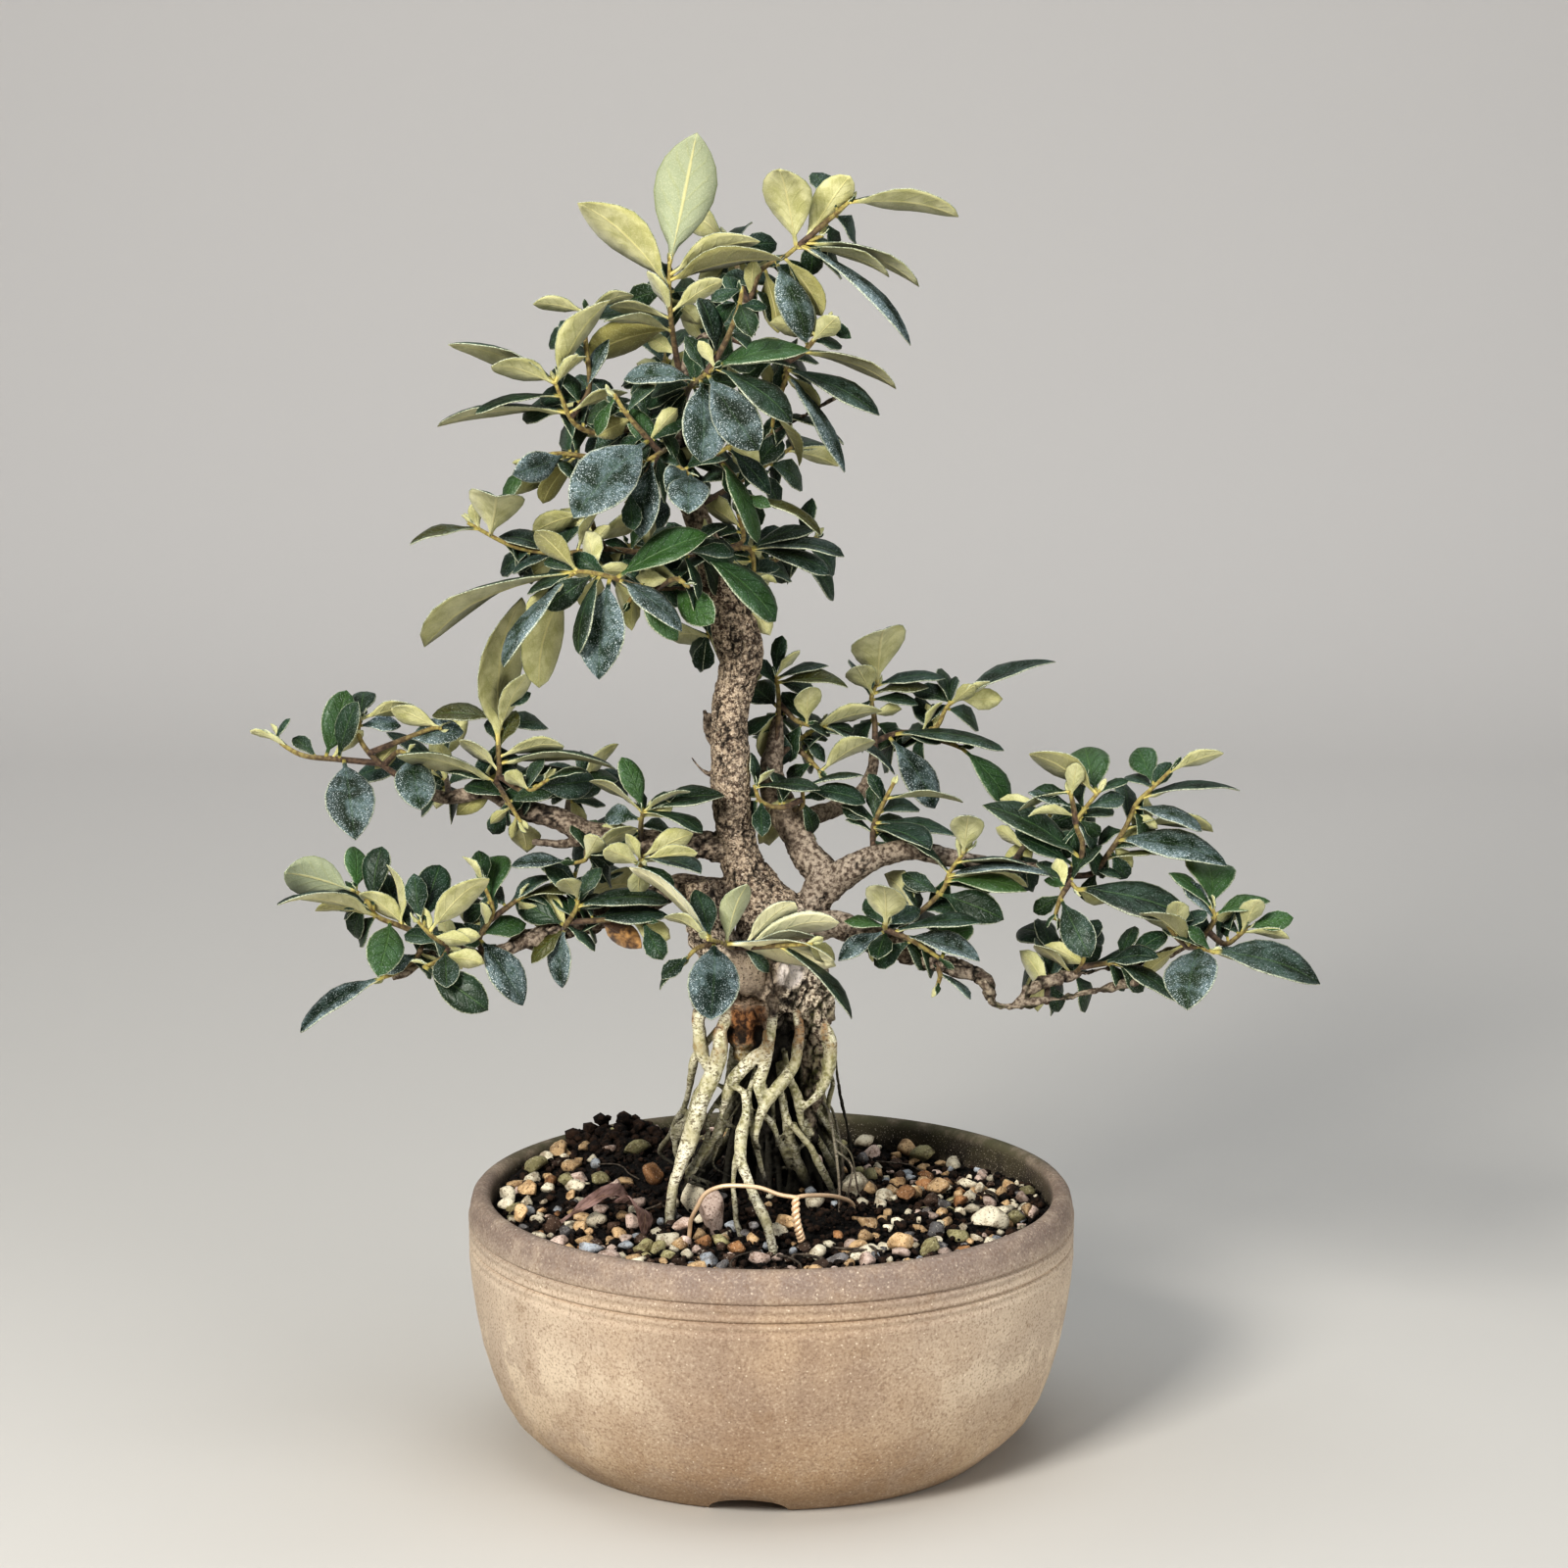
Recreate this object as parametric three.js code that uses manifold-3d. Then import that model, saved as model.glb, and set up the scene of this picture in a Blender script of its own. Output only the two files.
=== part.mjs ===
import * as THREE from "three";
import { mergeVertices } from "three/addons/utils/BufferGeometryUtils.js";
import Module from "manifold-3d";

// Himalayan cotoneaster grown as a small exposed-root bonsai in a round clay pot.
// Millimetres, +Z up, the front of the tree faces -Y. Layout coordinates are measured from
// the pot's axis at table height; the whole group is moved at the end so that its origin is
// the bottom centre of everything.

const wasm = await Module();
wasm.setup();
const { sin, cos, abs, sign, acos, asin, atan2, hypot, exp, floor, max, min, round, PI } = Math;
const DEGREE = PI / 180;

// Clearance kept between pieces that touch.
const CLEARANCE = 0.3;
// Extra room kept between leaves of different shoots.
const LEAF_ROOM = 0.35;
// Share of a leaf's length next to the stem where it may touch leaves of its own shoot.
const OUTER_PART = 0.15;

// Pot.
const POT_HEIGHT = 77.5;
const FLOOR_UNDERSIDE = 4.5;
const FLOOR_TOP = 11;
const DRAIN_HOLE = 14;
const FEET = 3;
const FOOT_NOTCH_WIDTH = 22;
const FOOT_NOTCH_HEIGHT = 4;
const FIRST_NOTCH_CLOCK = -95.6;
const POT_SEGMENTS = 30;
// Radius and height from the middle of the underside, out, up the wall and over the lip.
const POT_OUTSIDE = [
  [0, FLOOR_UNDERSIDE], [57, FLOOR_UNDERSIDE], [58, 0], [66, 0], [70, 3.5], [78, 11], [84, 24],
  [88.4, 42], [90.2, 60], [89.8, 73], [87.6, POT_HEIGHT], [84.4, POT_HEIGHT],
];
const POT_INSIDE = [
  [83.2, 74], [80.6, 40], [74, 19], [64, FLOOR_TOP], [0, FLOOR_TOP],
];

// Drain screen over the hole, under the soil.
const SCREEN_SIDE = 30;
const SCREEN_THICK = 1.2;
const SCREEN_OPENING = 6;
const SCREEN_BAR = 2.4;
const SCREEN_OPENINGS = 3;

// Soil: its level, and the humps and hollows as [x, y, height, spread].
const SOIL_LEVEL = 72;
const SOIL_SHAPES = [
  [-2, -2, 2, 26],
  [-46, 46, 4.5, 22],
  [45, 50, -5, 30],
];
const SOIL_RINGS = [68, 46, 24];
const SOIL_SEGMENTS = 26;
const SOIL_GRAIN = 0.5;
const ROOM_IN_POT = 82.4;
const SMALL_STONES = 10;

// Roots and wire go this deep into their holes in the soil.
const ROOT_DEPTH = 7;
const WIRE_DEPTH = 3;

// Where the front of the tree is seen from: leaf readings are directions across this view.
const EYE = new THREE.Vector3(4, -1131, 398);

// Leaves.
const LEAF_KEEL = 1.1;
const LEAF_PROPORTION = 2.1;
const LEAF_SLENDER = 0.44;
const LEAF_BROAD = 0.62;
const LEAF_ARCH = 0.07;
const MOST_LEAN = 64;
const STRAY_LEAN = 20;
const MOST_BEND = 70;
// Share of the leaf's length, and the half-width there as a share of its width.
const LEAF_ROWS = [[0, 0], [0.42, 0.5], [0.74, 0.38], [1, 0]];
// Turns tried, in this order, to bend a leaf clear of its neighbours, in degrees.
const BENDS = [0, 7, -7, 14, -14, 22, -22, 30, -30, 38, -38];
const STEM_RADIUS = [1.4, 0.9];
const STEM_SIDES = 3;

// Wood: points on each centre line with the radius there, [x, y, z, radius].
const WOOD = {
  core: [[-1, -3, 134, 14], [-1, -2, 118, 11], [0, 0, 104, 8], [1, 2, 90, 4]],
  trunk: [
    [-1, -3, 130, 15.3], [2, -2, 141, 15.3], [1, 0, 155, 13], [-5, 0, 167, 7.9], [-10, 0, 180, 5.8],
    [-12, 0, 199, 6], [-12, 0, 219, 5.6], [-9, 0, 234, 6], [-10, 0, 242, 7.1], [-13, 0, 253, 6],
    [-20, 0, 272, 4], [-25, 0, 288, 3.1], [-27, 0, 302, 2.5], [-26, 0, 316, 2], [-21, 0, 328, 1.4],
    [-12, 0, 332, 1.1], [-7, 2, 340, 0.7],
  ],
  stub: [
    [-5, -4, 141, 5.8], [-14, -8, 150, 6.9], [-19, -10, 161, 6.6], [-21, -10, 172, 4.9],
  ],
  upper_left: [
    [-8, 0, 178, 4.3], [-18, 0, 180, 4.3], [-28, 0, 181, 4.2], [-42, 1, 182, 4], [-54, 2, 184, 3.7],
    [-63, 3, 188, 3.3], [-74, 4, 191, 2.9], [-83, 5, 196, 2.5], [-92, 7, 194, 2.2], [-99, 8, 194, 2],
    [-111, 11, 200, 1.3],
  ],
  lower_fork: [
    [-52, 2, 182, 1.7], [-61, 0, 181, 1.2], [-70, -2, 182, 0.9],
  ],
  lower_left: [
    [-6, 0, 165, 4.6], [-18, -1, 167, 4.3], [-28, -2, 168, 4], [-39, -3, 163, 3.7],
    [-54, -4, 159, 3.5], [-65, -6, 156, 3.2], [-77, -9, 152, 2.6], [-85, -12, 150, 2.3],
    [-95, -16, 154, 1.7], [-102, -18, 149, 1.3], [-110, -20, 145, 1],
  ],
  right_back: [
    [4, 0, 152, 6.4], [12, 0, 162, 5.5], [15, 2, 171, 5.2], [10, 5, 177, 4.9], [5, 9, 186, 4.8],
    [2, 12, 192, 4.4], [0, 15, 199, 3.8], [1, 18, 208, 2.8], [2, 20, 216, 1.7],
  ],
  right_back_fork: [
    [6, 8, 183, 3.2], [12, 12, 187, 2.9], [18, 18, 188, 2.6], [26, 25, 191, 2.3], [30, 30, 197, 1.9],
    [31, 33, 204, 1.5],
  ],
  right_middle: [
    [11, 0, 162, 4.9], [18, -1, 170, 4.6], [24, -2, 174, 4.3], [32, -3, 178, 3.7], [41, -4, 180, 3.2],
    [51, -5, 178, 2.9], [61, -5, 176, 2.6], [74, -5, 175, 1.9], [86, -5, 173, 1.3],
  ],
  right_low: [
    [8, -2, 155, 4.6], [18, -6, 158, 4.2], [27, -10, 156, 3.7], [35, -14, 155, 3.6],
    [46, -17, 150, 3.4], [58, -18, 147, 3.1], [63, -19, 143, 2.7], [66, -20, 137, 1.9],
    [78, -20, 138, 1.4], [92, -20, 141, 1.3], [106, -20, 144, 1],
  ],
  right_low_twig: [
    [71, -20, 137, 1.3], [76, -18, 142, 1.1], [87, -16, 145, 1], [101, -15, 148, 1],
    [115, -14, 151, 0.9], [125, -14, 155, 0.7],
  ],
};
const TRUNK_SIDES = 8;
const TRUNK_RIDGES = 0.06;
const RIDGE_TWIST = 17;
const BRANCH_SIDES = 5;
const THICK_ROOT = 1.6;
const BURR = [-9, -14, 128, 5.6];

// Exposed roots, from the base of the trunk to where each one enters the soil.
const ROOTS = [
  [
    [-22, -6, 132, 2.3], [-22, -1, 122, 2.3], [-20, 7, 111, 1.8], [-24, 16, 101, 1.5],
    [-28, 28, 87, 1.2], [-30, 39, 75, 1.2],
  ],
  [
    [-13, -12, 131, 2.3], [-16, -13, 121, 2.3], [-18, -13, 114, 2.6], [-21, -14, 104, 2.9],
    [-24, -15, 94, 2.9], [-27, -16, 83, 2.3], [-30, -17, 73, 1.4],
  ],
  [
    [-1, -16, 129, 2.6], [-6, -12, 120, 2.3], [-11, -9, 114, 2.3], [-13, -2, 102, 2.3],
    [-15, 7, 89, 1.8], [-18, 17, 74, 1.2],
  ],
  [
    [2, -22, 136, 2], [-1, -15, 124, 2], [-3, -9, 115, 2], [-3, 2, 102, 2], [-2, 16, 86, 1.8],
    [1, 29, 72, 1.5],
  ],
  [
    [8, -18, 131, 2.6], [7, -11, 120, 2.6], [4, -4, 113, 2.6], [0, 5, 104, 2.3], [-3, 18, 92, 2.4],
    [-5, 40, 72, 1.5],
  ],
  [
    [-9, -18, 123, 2], [-9, -22, 112, 1.7], [-8, -26, 105, 2], [-9, -31, 97, 2.3], [-7, -35, 90, 2],
    [-3, -42, 82, 1.7], [0, -50, 72, 1.1],
  ],
  [
    [-3, -24, 116, 1.7], [-6, -20, 105, 1.4], [-3, -12, 88, 1.2], [-2, -4, 74, 1.2],
  ],
  [
    [4, -18, 121, 2], [3, -14, 109, 1.7], [5, -9, 99, 1.7], [6, -4, 90, 1.5], [8, 0, 83, 1.5],
    [10, 7, 73, 1.5],
  ],
  [
    [7, -14, 120, 2], [6, -12, 110, 1.7], [9, -8, 99, 1.4], [14, -2, 85, 1.2], [18, 4, 72, 1.2],
  ],
  [
    [13, -8, 127, 2.3], [10, 0, 107, 2], [11, 7, 95, 1.8], [17, 14, 82, 1.5], [22, 21, 71, 1.2],
  ],
  [
    [15, 2, 122, 2.6], [14, 10, 108, 2.3], [18, 24, 90, 1.8], [22, 37, 76, 1.5], [24, 44, 68, 1.2],
  ],
  [
    [17, -6, 131, 2.6], [17, -2, 121, 2.3], [15, 4, 111, 2], [11, 10, 102, 1.8], [8, 21, 87, 1.5],
    [7, 32, 71, 1.2],
  ],
  [
    [18, 4, 124, 0.9], [20, 18, 107, 0.6], [21, 34, 92, 0.6], [25, 62, 68, 0.6],
  ],
  [
    [-12, -20, 115, 2], [-14, -13, 102, 1.4], [-14, -3, 87, 1.2], [-15, 7, 74, 0.9],
  ],
  [
    [-6, -14, 108, 1.4], [-10, -17, 97, 1.1], [-12, -20, 87, 0.9], [-10, -26, 73, 0.9],
  ],
  [
    [-20, 0, 113, 1.5], [-26, 7, 101, 1.2], [-31, 17, 88, 0.9], [-38, 28, 75, 0.9],
  ],
];
const BACK_ROOTS = 5;

// Stones that stand out on the soil, [x, y, width, height]; those over BIG_STONE are rounder.
const BIG_STONE = 7.4;
const STONES = [
  [-24, 0, 8.2, 11.1], [-18, -17, 5.8, 14.4], [25, 20, 8.9, 7.4], [-36, 22, 8.3, 6.6],
  [-42, 45, 9.1, 6.1], [-73, 35, 9, 6], [-66, 46, 6.7, 6.1], [-59, 19, 7.1, 4.2], [-73, 10, 5.9, 5.3],
  [-79, 18, 6.5, 3], [-79, -4, 4.7, 4.1], [-74, -15, 4, 6.4], [51, 19, 6.5, 5.9], [41, 9, 5.9, 5.3],
  [47, 35, 5.4, 4.8], [63, 22, 4.2, 3.9], [64, -21, 9.2, 6.3], [72, -16, 5.8, 5.2],
  [76, -11, 5.2, 4.6], [13, -53, 5.6, 5], [37, -45, 7.3, 6.2], [46, -47, 6.7, 5.6],
  [29, -52, 7.3, 3.9], [25, -46, 6.2, 5.1], [19, -39, 4, 3.7], [-27, -43, 5.1, 4.5],
  [-36, -47, 5.1, 4.5], [-54, -39, 5.1, 4.2], [32, 86, 6.3, 5], [43, 73, 6.8, 5.6], [50, 71, 8.1, 6.2],
  [4, -26, 7.4, 4.6],
];

// Copper-toned training wire: the loop over the front roots and its twisted end.
const WIRE_RADIUS = 0.65;
const WIRE_SIDES = 4;
const WIRE_LOOP = [
  [-23.5, -38, 75], [-23.1, -40, 78.3], [-21.3, -43, 82.9], [-18.8, -45, 87.6],
  [-14.5, -47, 90.2], [-9.7, -48, 90.8], [-3.3, -48, 90.2], [2.3, -46, 87.6], [7.1, -44, 86.2],
];
const WIRE_ARM = [[7.1, -44, 86.2], [10.8, -40, 85.6], [18, -28, 82], [23.5, -12, 75.5]];
const WIRE_TWIST = [[7.1, -44, 86.2], [7.1, -46, 81.5], [7.9, -46, 77.1], [8.8, -44.5, 73.5]];

// Fallen dry leaves on the soil: [x, y, turn, length, width].
const DRY_LEAVES = {
  dry_leaf_long: [-50, -22, 28, 24, 8],
  dry_leaf_short: [-40, -32, 40, 15, 6],
};

// Shoots seen from the front. Each stem is a list of points, the first one inside the wood.
// A leaf is [percent along the stem, clock, reach, width]: clock is its direction across the
// view in degrees from +X towards +Z, reach its length across the view, and width its width as
// seen, negative where the pale underside shows.
const SHOOTS = {
  crown_top_left: [
    {
      stem: [
        [-26, 0, 317], [-28, -3, 329], [-29, -4, 340], [-29, -3, 352],
      ],
      leaves: [
        [95, 78, 38, -18], [78, 136, 35, -12], [86, 23, 28, -7], [82, 11, 33, -6], [56, 32, 18, -6],
        [50, 168, 18, -4], [42, 197, 26, -10], [39, 169, 23, -3],
      ],
    },
  ],
  crown_upper_left: [
    {
      stem: [
        [-26, 0, 302], [-36, -4, 304], [-48, -8, 302], [-56, -10, 305], [-60, -10, 313],
        [-62, -10, 318],
      ],
      leaves: [
        [100, 159, 32, -5], [94, 162, 21, -7], [100, 57, 29, -8], [68, 185, 39, -3], [80, 189, 25, 2],
        [68, 22, 18, -4],
      ],
    },
    {
      stem: [
        [-57, -10, 307], [-52, -8, 315], [-53, -6, 329], [-53, -6, 338],
      ],
      leaves: [
        [30, 68, 16, 4], [100, 169, 15, -5], [100, 22, 15, -4],
      ],
    },
  ],
  crown_left: [
    {
      stem: [
        [-25, 0, 294], [-38, -8, 293], [-52, -14, 296], [-62, -15, 297], [-70, -15, 294],
      ],
      leaves: [
        [67, 201, 15, 9], [63, 211, 21, -6], [59, 233, 17, -6],
      ],
    },
  ],
  crown_front_top: [
    {
      stem: [
        [-25, 0, 311], [-23, -16, 316], [-19, -28, 320], [-15, -32, 323],
      ],
      leaves: [
        [60, 271, 22, 13], [76, 304, 25, 13], [54, 178, 21, 6], [100, 11, 27, 7], [100, 2, 24, 3],
        [100, 327, 26, 7],
      ],
    },
    {
      stem: [
        [-18, -30, 321], [-13, -30, 329], [-9, -29, 339], [-8, -28, 345],
      ],
      leaves: [
        [19, 105, 17, 6],
      ],
    },
  ],
  crown_top_right: [
    {
      stem: [
        [-11, 0, 332], [-6, 3, 340], [-3, 4, 348], [4, 5, 352], [8, 5, 355], [15, 5, 358],
      ],
      leaves: [
        [76, 101, 24, -14], [83, 56, 24, -10], [86, 342, 35, -4], [77, 345, 28, -3], [81, 321, 42, 3],
        [52, 293, 25, 10], [59, 305, 20, -8], [43, 283, 19, -7],
      ],
    },
    {
      stem: [
        [8, 5, 355], [16, 5, 362], [23, 5, 368],
      ],
      leaves: [
        [100, 354, 32, -7],
      ],
    },
  ],
  crown_right: [
    {
      stem: [
        [-15, 0, 330], [-6, -4, 327], [4, -6, 322], [3, -6, 314], [1, -5, 308], [0, -5, 302],
      ],
      leaves: [
        [44, 335, 30, 6], [47, 303, 33, 3], [47, 317, 15, -3], [80, 297, 17, -3], [83, 340, 25, 2],
      ],
    },
    {
      stem: [
        [4, -6, 322], [10, -5, 326], [17, -5, 335],
      ],
      leaves: [
        [42, 341, 29, -4],
      ],
    },
  ],
  crown_front_left: [
    {
      stem: [
        [-26, 0, 299], [-29, -16, 299], [-32, -29, 298], [-36, -30, 296],
      ],
      leaves: [
        [73, 259, 23, 9], [59, 125, 15, 7],
      ],
    },
    {
      stem: [
        [-31, -26, 298], [-36, -28, 304], [-41, -28, 310], [-44, -28, 315],
      ],
      leaves: [
        [22, 225, 28, 17],
      ],
    },
    {
      stem: [
        [-29, -16, 299], [-27, -24, 295], [-22, -30, 292],
      ],
      leaves: [
        [80, 226, 7, 9], [100, 266, 15, 12],
      ],
    },
    {
      stem: [
        [-32, -29, 298], [-36, -30, 291], [-40, -30, 287],
      ],
      leaves: [],
    },
  ],
  crown_front_right: [
    {
      stem: [
        [-25, 0, 291], [-21, -12, 295], [-16, -18, 297], [-11, -18, 300],
      ],
      leaves: [
        [90, 313, 18, 6], [100, 329, 10, -8],
      ],
    },
    {
      stem: [
        [-16, -18, 297], [-10, -18, 290], [-6, -17, 284],
      ],
      leaves: [
        [12, 295, 25, 6], [100, 335, 23, 3],
      ],
    },
  ],
  crown_low_right: [
    {
      stem: [
        [-18, 0, 267], [-13, -1, 268], [-6, -2, 268], [-5, -4, 260], [-5, -6, 252],
      ],
      leaves: [
        [50, 20, 20, 5], [50, 359, 27, 3], [50, 346, 24, 5],
      ],
    },
    {
      stem: [
        [-13, -1, 268], [-8, -1, 271], [-10, -1, 280],
      ],
      leaves: [],
    },
  ],
  crown_low_front: [
    {
      stem: [
        [-17, 0, 262], [-20, -14, 267], [-23, -26, 272], [-25, -28, 269],
      ],
      leaves: [
        [55, 320, 31, 8],
      ],
    },
  ],
  crown_low_left: [
    {
      stem: [
        [-16, 0, 256], [-26, -14, 258], [-37, -24, 260], [-47, -30, 264], [-55, -30, 265],
        [-58, -30, 262],
      ],
      leaves: [
        [54, 26, 28, 9], [57, 263, 28, 14], [53, 322, 23, 7], [67, 214, 17, 8], [23, 319, 14, 10],
        [63, 253, 23, 5], [80, 203, 50, -3], [98, 231, 32, 4], [100, 252, 32, -11], [100, 227, 17, -6],
        [79, 134, 17, -7],
      ],
    },
    {
      stem: [
        [-33, -22, 259], [-27, -30, 263], [-23, -33, 261],
      ],
      leaves: [],
    },
    {
      stem: [
        [-37, -24, 260], [-39, -28, 258], [-41, -30, 255],
      ],
      leaves: [
        [37, 312, 18, 7],
      ],
    },
  ],
  crown_far_left: [
    {
      stem: [
        [-20, 0, 268], [-34, -2, 267], [-48, -8, 269], [-60, -12, 268], [-69, -12, 269],
        [-76, -12, 271], [-87, -12, 277],
      ],
      leaves: [
        [100, 190, 20, 3], [90, 81, 13, -16], [50, 163, 19, 6], [44, 61, 16, -3], [50, 200, 15, 2],
      ],
    },
    {
      stem: [
        [-48, -8, 269], [-51, -8, 275], [-53, -8, 280],
      ],
      leaves: [
        [95, 199, 17, -7],
      ],
    },
  ],
  upper_left_middle: [
    {
      stem: [
        [-83, 4, 196], [-80, 2, 201], [-80, 2, 209], [-80, 2, 217], [-78, 2, 222],
      ],
      leaves: [
        [54, 83, 46, -14], [64, 64, 22, -6], [79, 175, 20, 6], [42, 13, 20, -5], [36, 0, 34, -3],
        [12, 163, 15, 3], [15, 164, 31, -5], [29, 139, 15, -4], [12, 220, 15, -7],
      ],
    },
    {
      stem: [
        [-80, 2, 201], [-72, -2, 197], [-65, -4, 201],
      ],
      leaves: [
        [12, 4, 21, 3], [65, 7, 13, 10],
      ],
    },
    {
      stem: [
        [-81, 3, 199], [-77, -6, 195], [-73, -8, 189],
      ],
      leaves: [
        [100, 284, 10, -9],
      ],
    },
  ],
  upper_left_end: [
    {
      stem: [
        [-110, 11, 199], [-117, 12, 204], [-121, 12, 209], [-122, 12, 213], [-121, 12, 217],
      ],
      leaves: [
        [100, 13, 18, -5], [100, 82, 8, 8],
      ],
    },
    {
      stem: [
        [-116, 12, 203], [-128, 13, 204], [-138, 13, 205], [-144, 13, 208], [-147, 13, 211],
      ],
      leaves: [
        [35, 72, 20, 10], [25, 72, 19, 7], [22, 277, 21, 15],
      ],
    },
    {
      stem: [
        [-119, 12, 206], [-110, 9, 210], [-100, 8, 214], [-97, 8, 214],
      ],
      leaves: [
        [38, 8, 18, 8], [100, 155, 16, -6],
      ],
    },
    {
      stem: [
        [-115, 12, 202], [-110, 9, 207], [-106, 6, 206],
      ],
      leaves: [
        [100, 281, 14, 12],
      ],
    },
  ],
  branch_top: [
    {
      stem: [
        [-38, 0, 181], [-38, -10, 188], [-37, -16, 194],
      ],
      leaves: [
        [99, 110, 17, 7], [100, 12, 24, 6], [100, 343, 18, 3], [93, 147, 18, -2], [100, 27, 17, -2],
      ],
    },
  ],
  branch_under: [
    {
      stem: [
        [-53, 4, 181], [-54, -6, 180], [-54, -14, 179], [-58, -15, 178],
      ],
      leaves: [
        [50, 30, 17, -4], [100, 182, 18, 4],
      ],
    },
  ],
  branch_front: [
    {
      stem: [
        [-39, 0, 180], [-38, -10, 179], [-38, -18, 178],
      ],
      leaves: [
        [55, 26, 17, -7], [73, 9, 17, -6], [74, 349, 24, 3], [100, 167, 15, 2],
      ],
    },
  ],
  lower_left_end: [
    {
      stem: [
        [-95, -16, 154], [-101, -20, 158], [-107, -22, 161], [-114, -22, 164], [-117, -22, 169],
        [-121, -22, 172],
      ],
      leaves: [
        [95, 164, 21, -12], [100, 90, 12, 8], [67, 82, 18, 8], [40, 113, 19, 8], [40, 99, 19, -3],
        [33, 141, 18, -6], [60, 170, 34, -3], [65, 151, 17, 3], [60, 173, 18, -4], [49, 257, 14, 11],
      ],
    },
    {
      stem: [
        [-101, -20, 158], [-102, -24, 153], [-108, -24, 148], [-113, -24, 146],
      ],
      leaves: [
        [97, 213, 28, 6],
      ],
    },
  ],
  lower_left_front: [
    {
      stem: [
        [-91, -14, 152], [-93, -26, 156], [-97, -32, 160], [-101, -34, 165],
      ],
      leaves: [
        [89, 74, 17, 10], [75, 45, 24, -8],
      ],
    },
    {
      stem: [
        [-93, -26, 156], [-95, -30, 153], [-100, -32, 151],
      ],
      leaves: [
        [22, 272, 9, 8], [100, 325, 20, 11],
      ],
    },
  ],
  lower_left_middle: [
    {
      stem: [
        [-84, -11, 150], [-85, -16, 156], [-82, -15, 161], [-81, -15, 165], [-84, -15, 173],
      ],
      leaves: [
        [76, 83, 14, 10], [25, 303, 23, 10],
      ],
    },
    {
      stem: [
        [-82, -14, 161], [-75, -12, 166], [-72, -12, 168],
      ],
      leaves: [
        [38, 36, 15, 4], [79, 5, 17, 3],
      ],
    },
  ],
  lower_left_inner: [
    {
      stem: [
        [-61, -3, 156], [-60, -12, 159], [-57, -14, 164], [-56, -14, 168],
      ],
      leaves: [
        [75, 5, 27, 5], [22, 266, 18, 7], [33, 150, 17, 9],
      ],
    },
    {
      stem: [
        [-60, -12, 160], [-50, -14, 161], [-40, -15, 162], [-36, -15, 160],
      ],
      leaves: [
        [23, 5, 23, 5],
      ],
    },
  ],
  front_rosette: [
    {
      stem: [
        [-8, -4, 150], [-11, -20, 154], [-15, -34, 159], [-18, -40, 161],
      ],
      leaves: [
        [100, 135, 31, -3], [100, 149, 15, -3], [92, 106, 17, 7], [50, 72, 20, -8], [54, 350, 33, -6],
      ],
    },
    {
      stem: [
        [-15, -34, 159], [-21, -38, 158], [-24, -38, 155],
      ],
      leaves: [
        [12, 268, 19, 15],
      ],
    },
    {
      stem: [
        [-11, -20, 154], [1, -26, 156], [12, -28, 157],
      ],
      leaves: [
        [12, 44, 21, -7], [12, 18, 29, -7], [12, 9, 22, -3], [56, 317, 29, 3],
      ],
    },
  ],
  right_back_inner: [
    {
      stem: [
        [1, 16, 206], [2, 18, 215], [2, 20, 223], [1, 20, 229],
      ],
      leaves: [
        [88, 18, 16, 3], [82, 359, 21, 4], [48, 145, 11, 10], [46, 255, 16, -6],
      ],
    },
    {
      stem: [
        [2, 20, 220], [7, 18, 215], [11, 20, 213],
      ],
      leaves: [
        [100, 87, 15, -8],
      ],
    },
  ],
  right_back_low: [
    {
      stem: [
        [5, 11, 188], [9, 2, 192], [9, 1, 198],
      ],
      leaves: [
        [90, 350, 19, 6], [100, 13, 18, 2],
      ],
    },
    {
      stem: [
        [9, 1, 194], [3, -1, 192], [-3, -2, 194], [-5, -2, 199],
      ],
      leaves: [
        [99, 359, 19, 4],
      ],
    },
  ],
  right_back_middle: [
    {
      stem: [
        [2, 16, 204], [6, 22, 207], [10, 26, 209], [16, 27, 213],
      ],
      leaves: [
        [72, 18, 23, -5], [92, 329, 26, 2],
      ],
    },
    {
      stem: [
        [6, 22, 207], [11, 20, 203], [15, 18, 199],
      ],
      leaves: [
        [100, 32, 21, -6],
      ],
    },
  ],
  right_back_top: [
    {
      stem: [
        [31, 32, 204], [31, 34, 212], [30, 35, 219], [32, 35, 224],
      ],
      leaves: [
        [100, 84, 18, -16], [74, 120, 13, -9], [91, 9, 21, 4], [75, 9, 17, 4],
      ],
    },
  ],
  right_back_far: [
    {
      stem: [
        [31, 33, 206], [38, 37, 208], [45, 38, 208], [50, 38, 210], [53, 38, 216], [58, 38, 219],
      ],
      leaves: [
        [100, 22, 31, 4], [17, 352, 33, 4], [12, 304, 25, 10],
      ],
    },
    {
      stem: [
        [42, 38, 208], [53, 38, 205], [58, 37, 203],
      ],
      leaves: [
        [100, 310, 23, 8],
      ],
    },
  ],
  right_upright: [
    {
      stem: [
        [30, -3, 178], [30, 1, 186], [33, 2, 193], [36, 2, 199],
      ],
      leaves: [
        [73, 358, 23, -2], [38, 352, 24, 4], [32, 340, 25, 6],
      ],
    },
  ],
  right_middle_upright: [
    {
      stem: [
        [36, -14, 155], [39, -14, 160], [45, -14, 165], [50, -13, 170], [52, -12, 175], [57, -12, 182],
      ],
      leaves: [
        [100, 83, 13, -10], [88, 358, 21, -2], [69, 354, 23, 5], [75, 1, 30, 3], [71, 358, 24, -2],
        [78, 142, 15, 2], [55, 339, 19, 10],
      ],
    },
  ],
  right_front: [
    {
      stem: [
        [34, -14, 155], [33, -22, 160], [33, -24, 162],
      ],
      leaves: [
        [89, 93, 13, -12], [43, 211, 16, 6],
      ],
    },
    {
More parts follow.
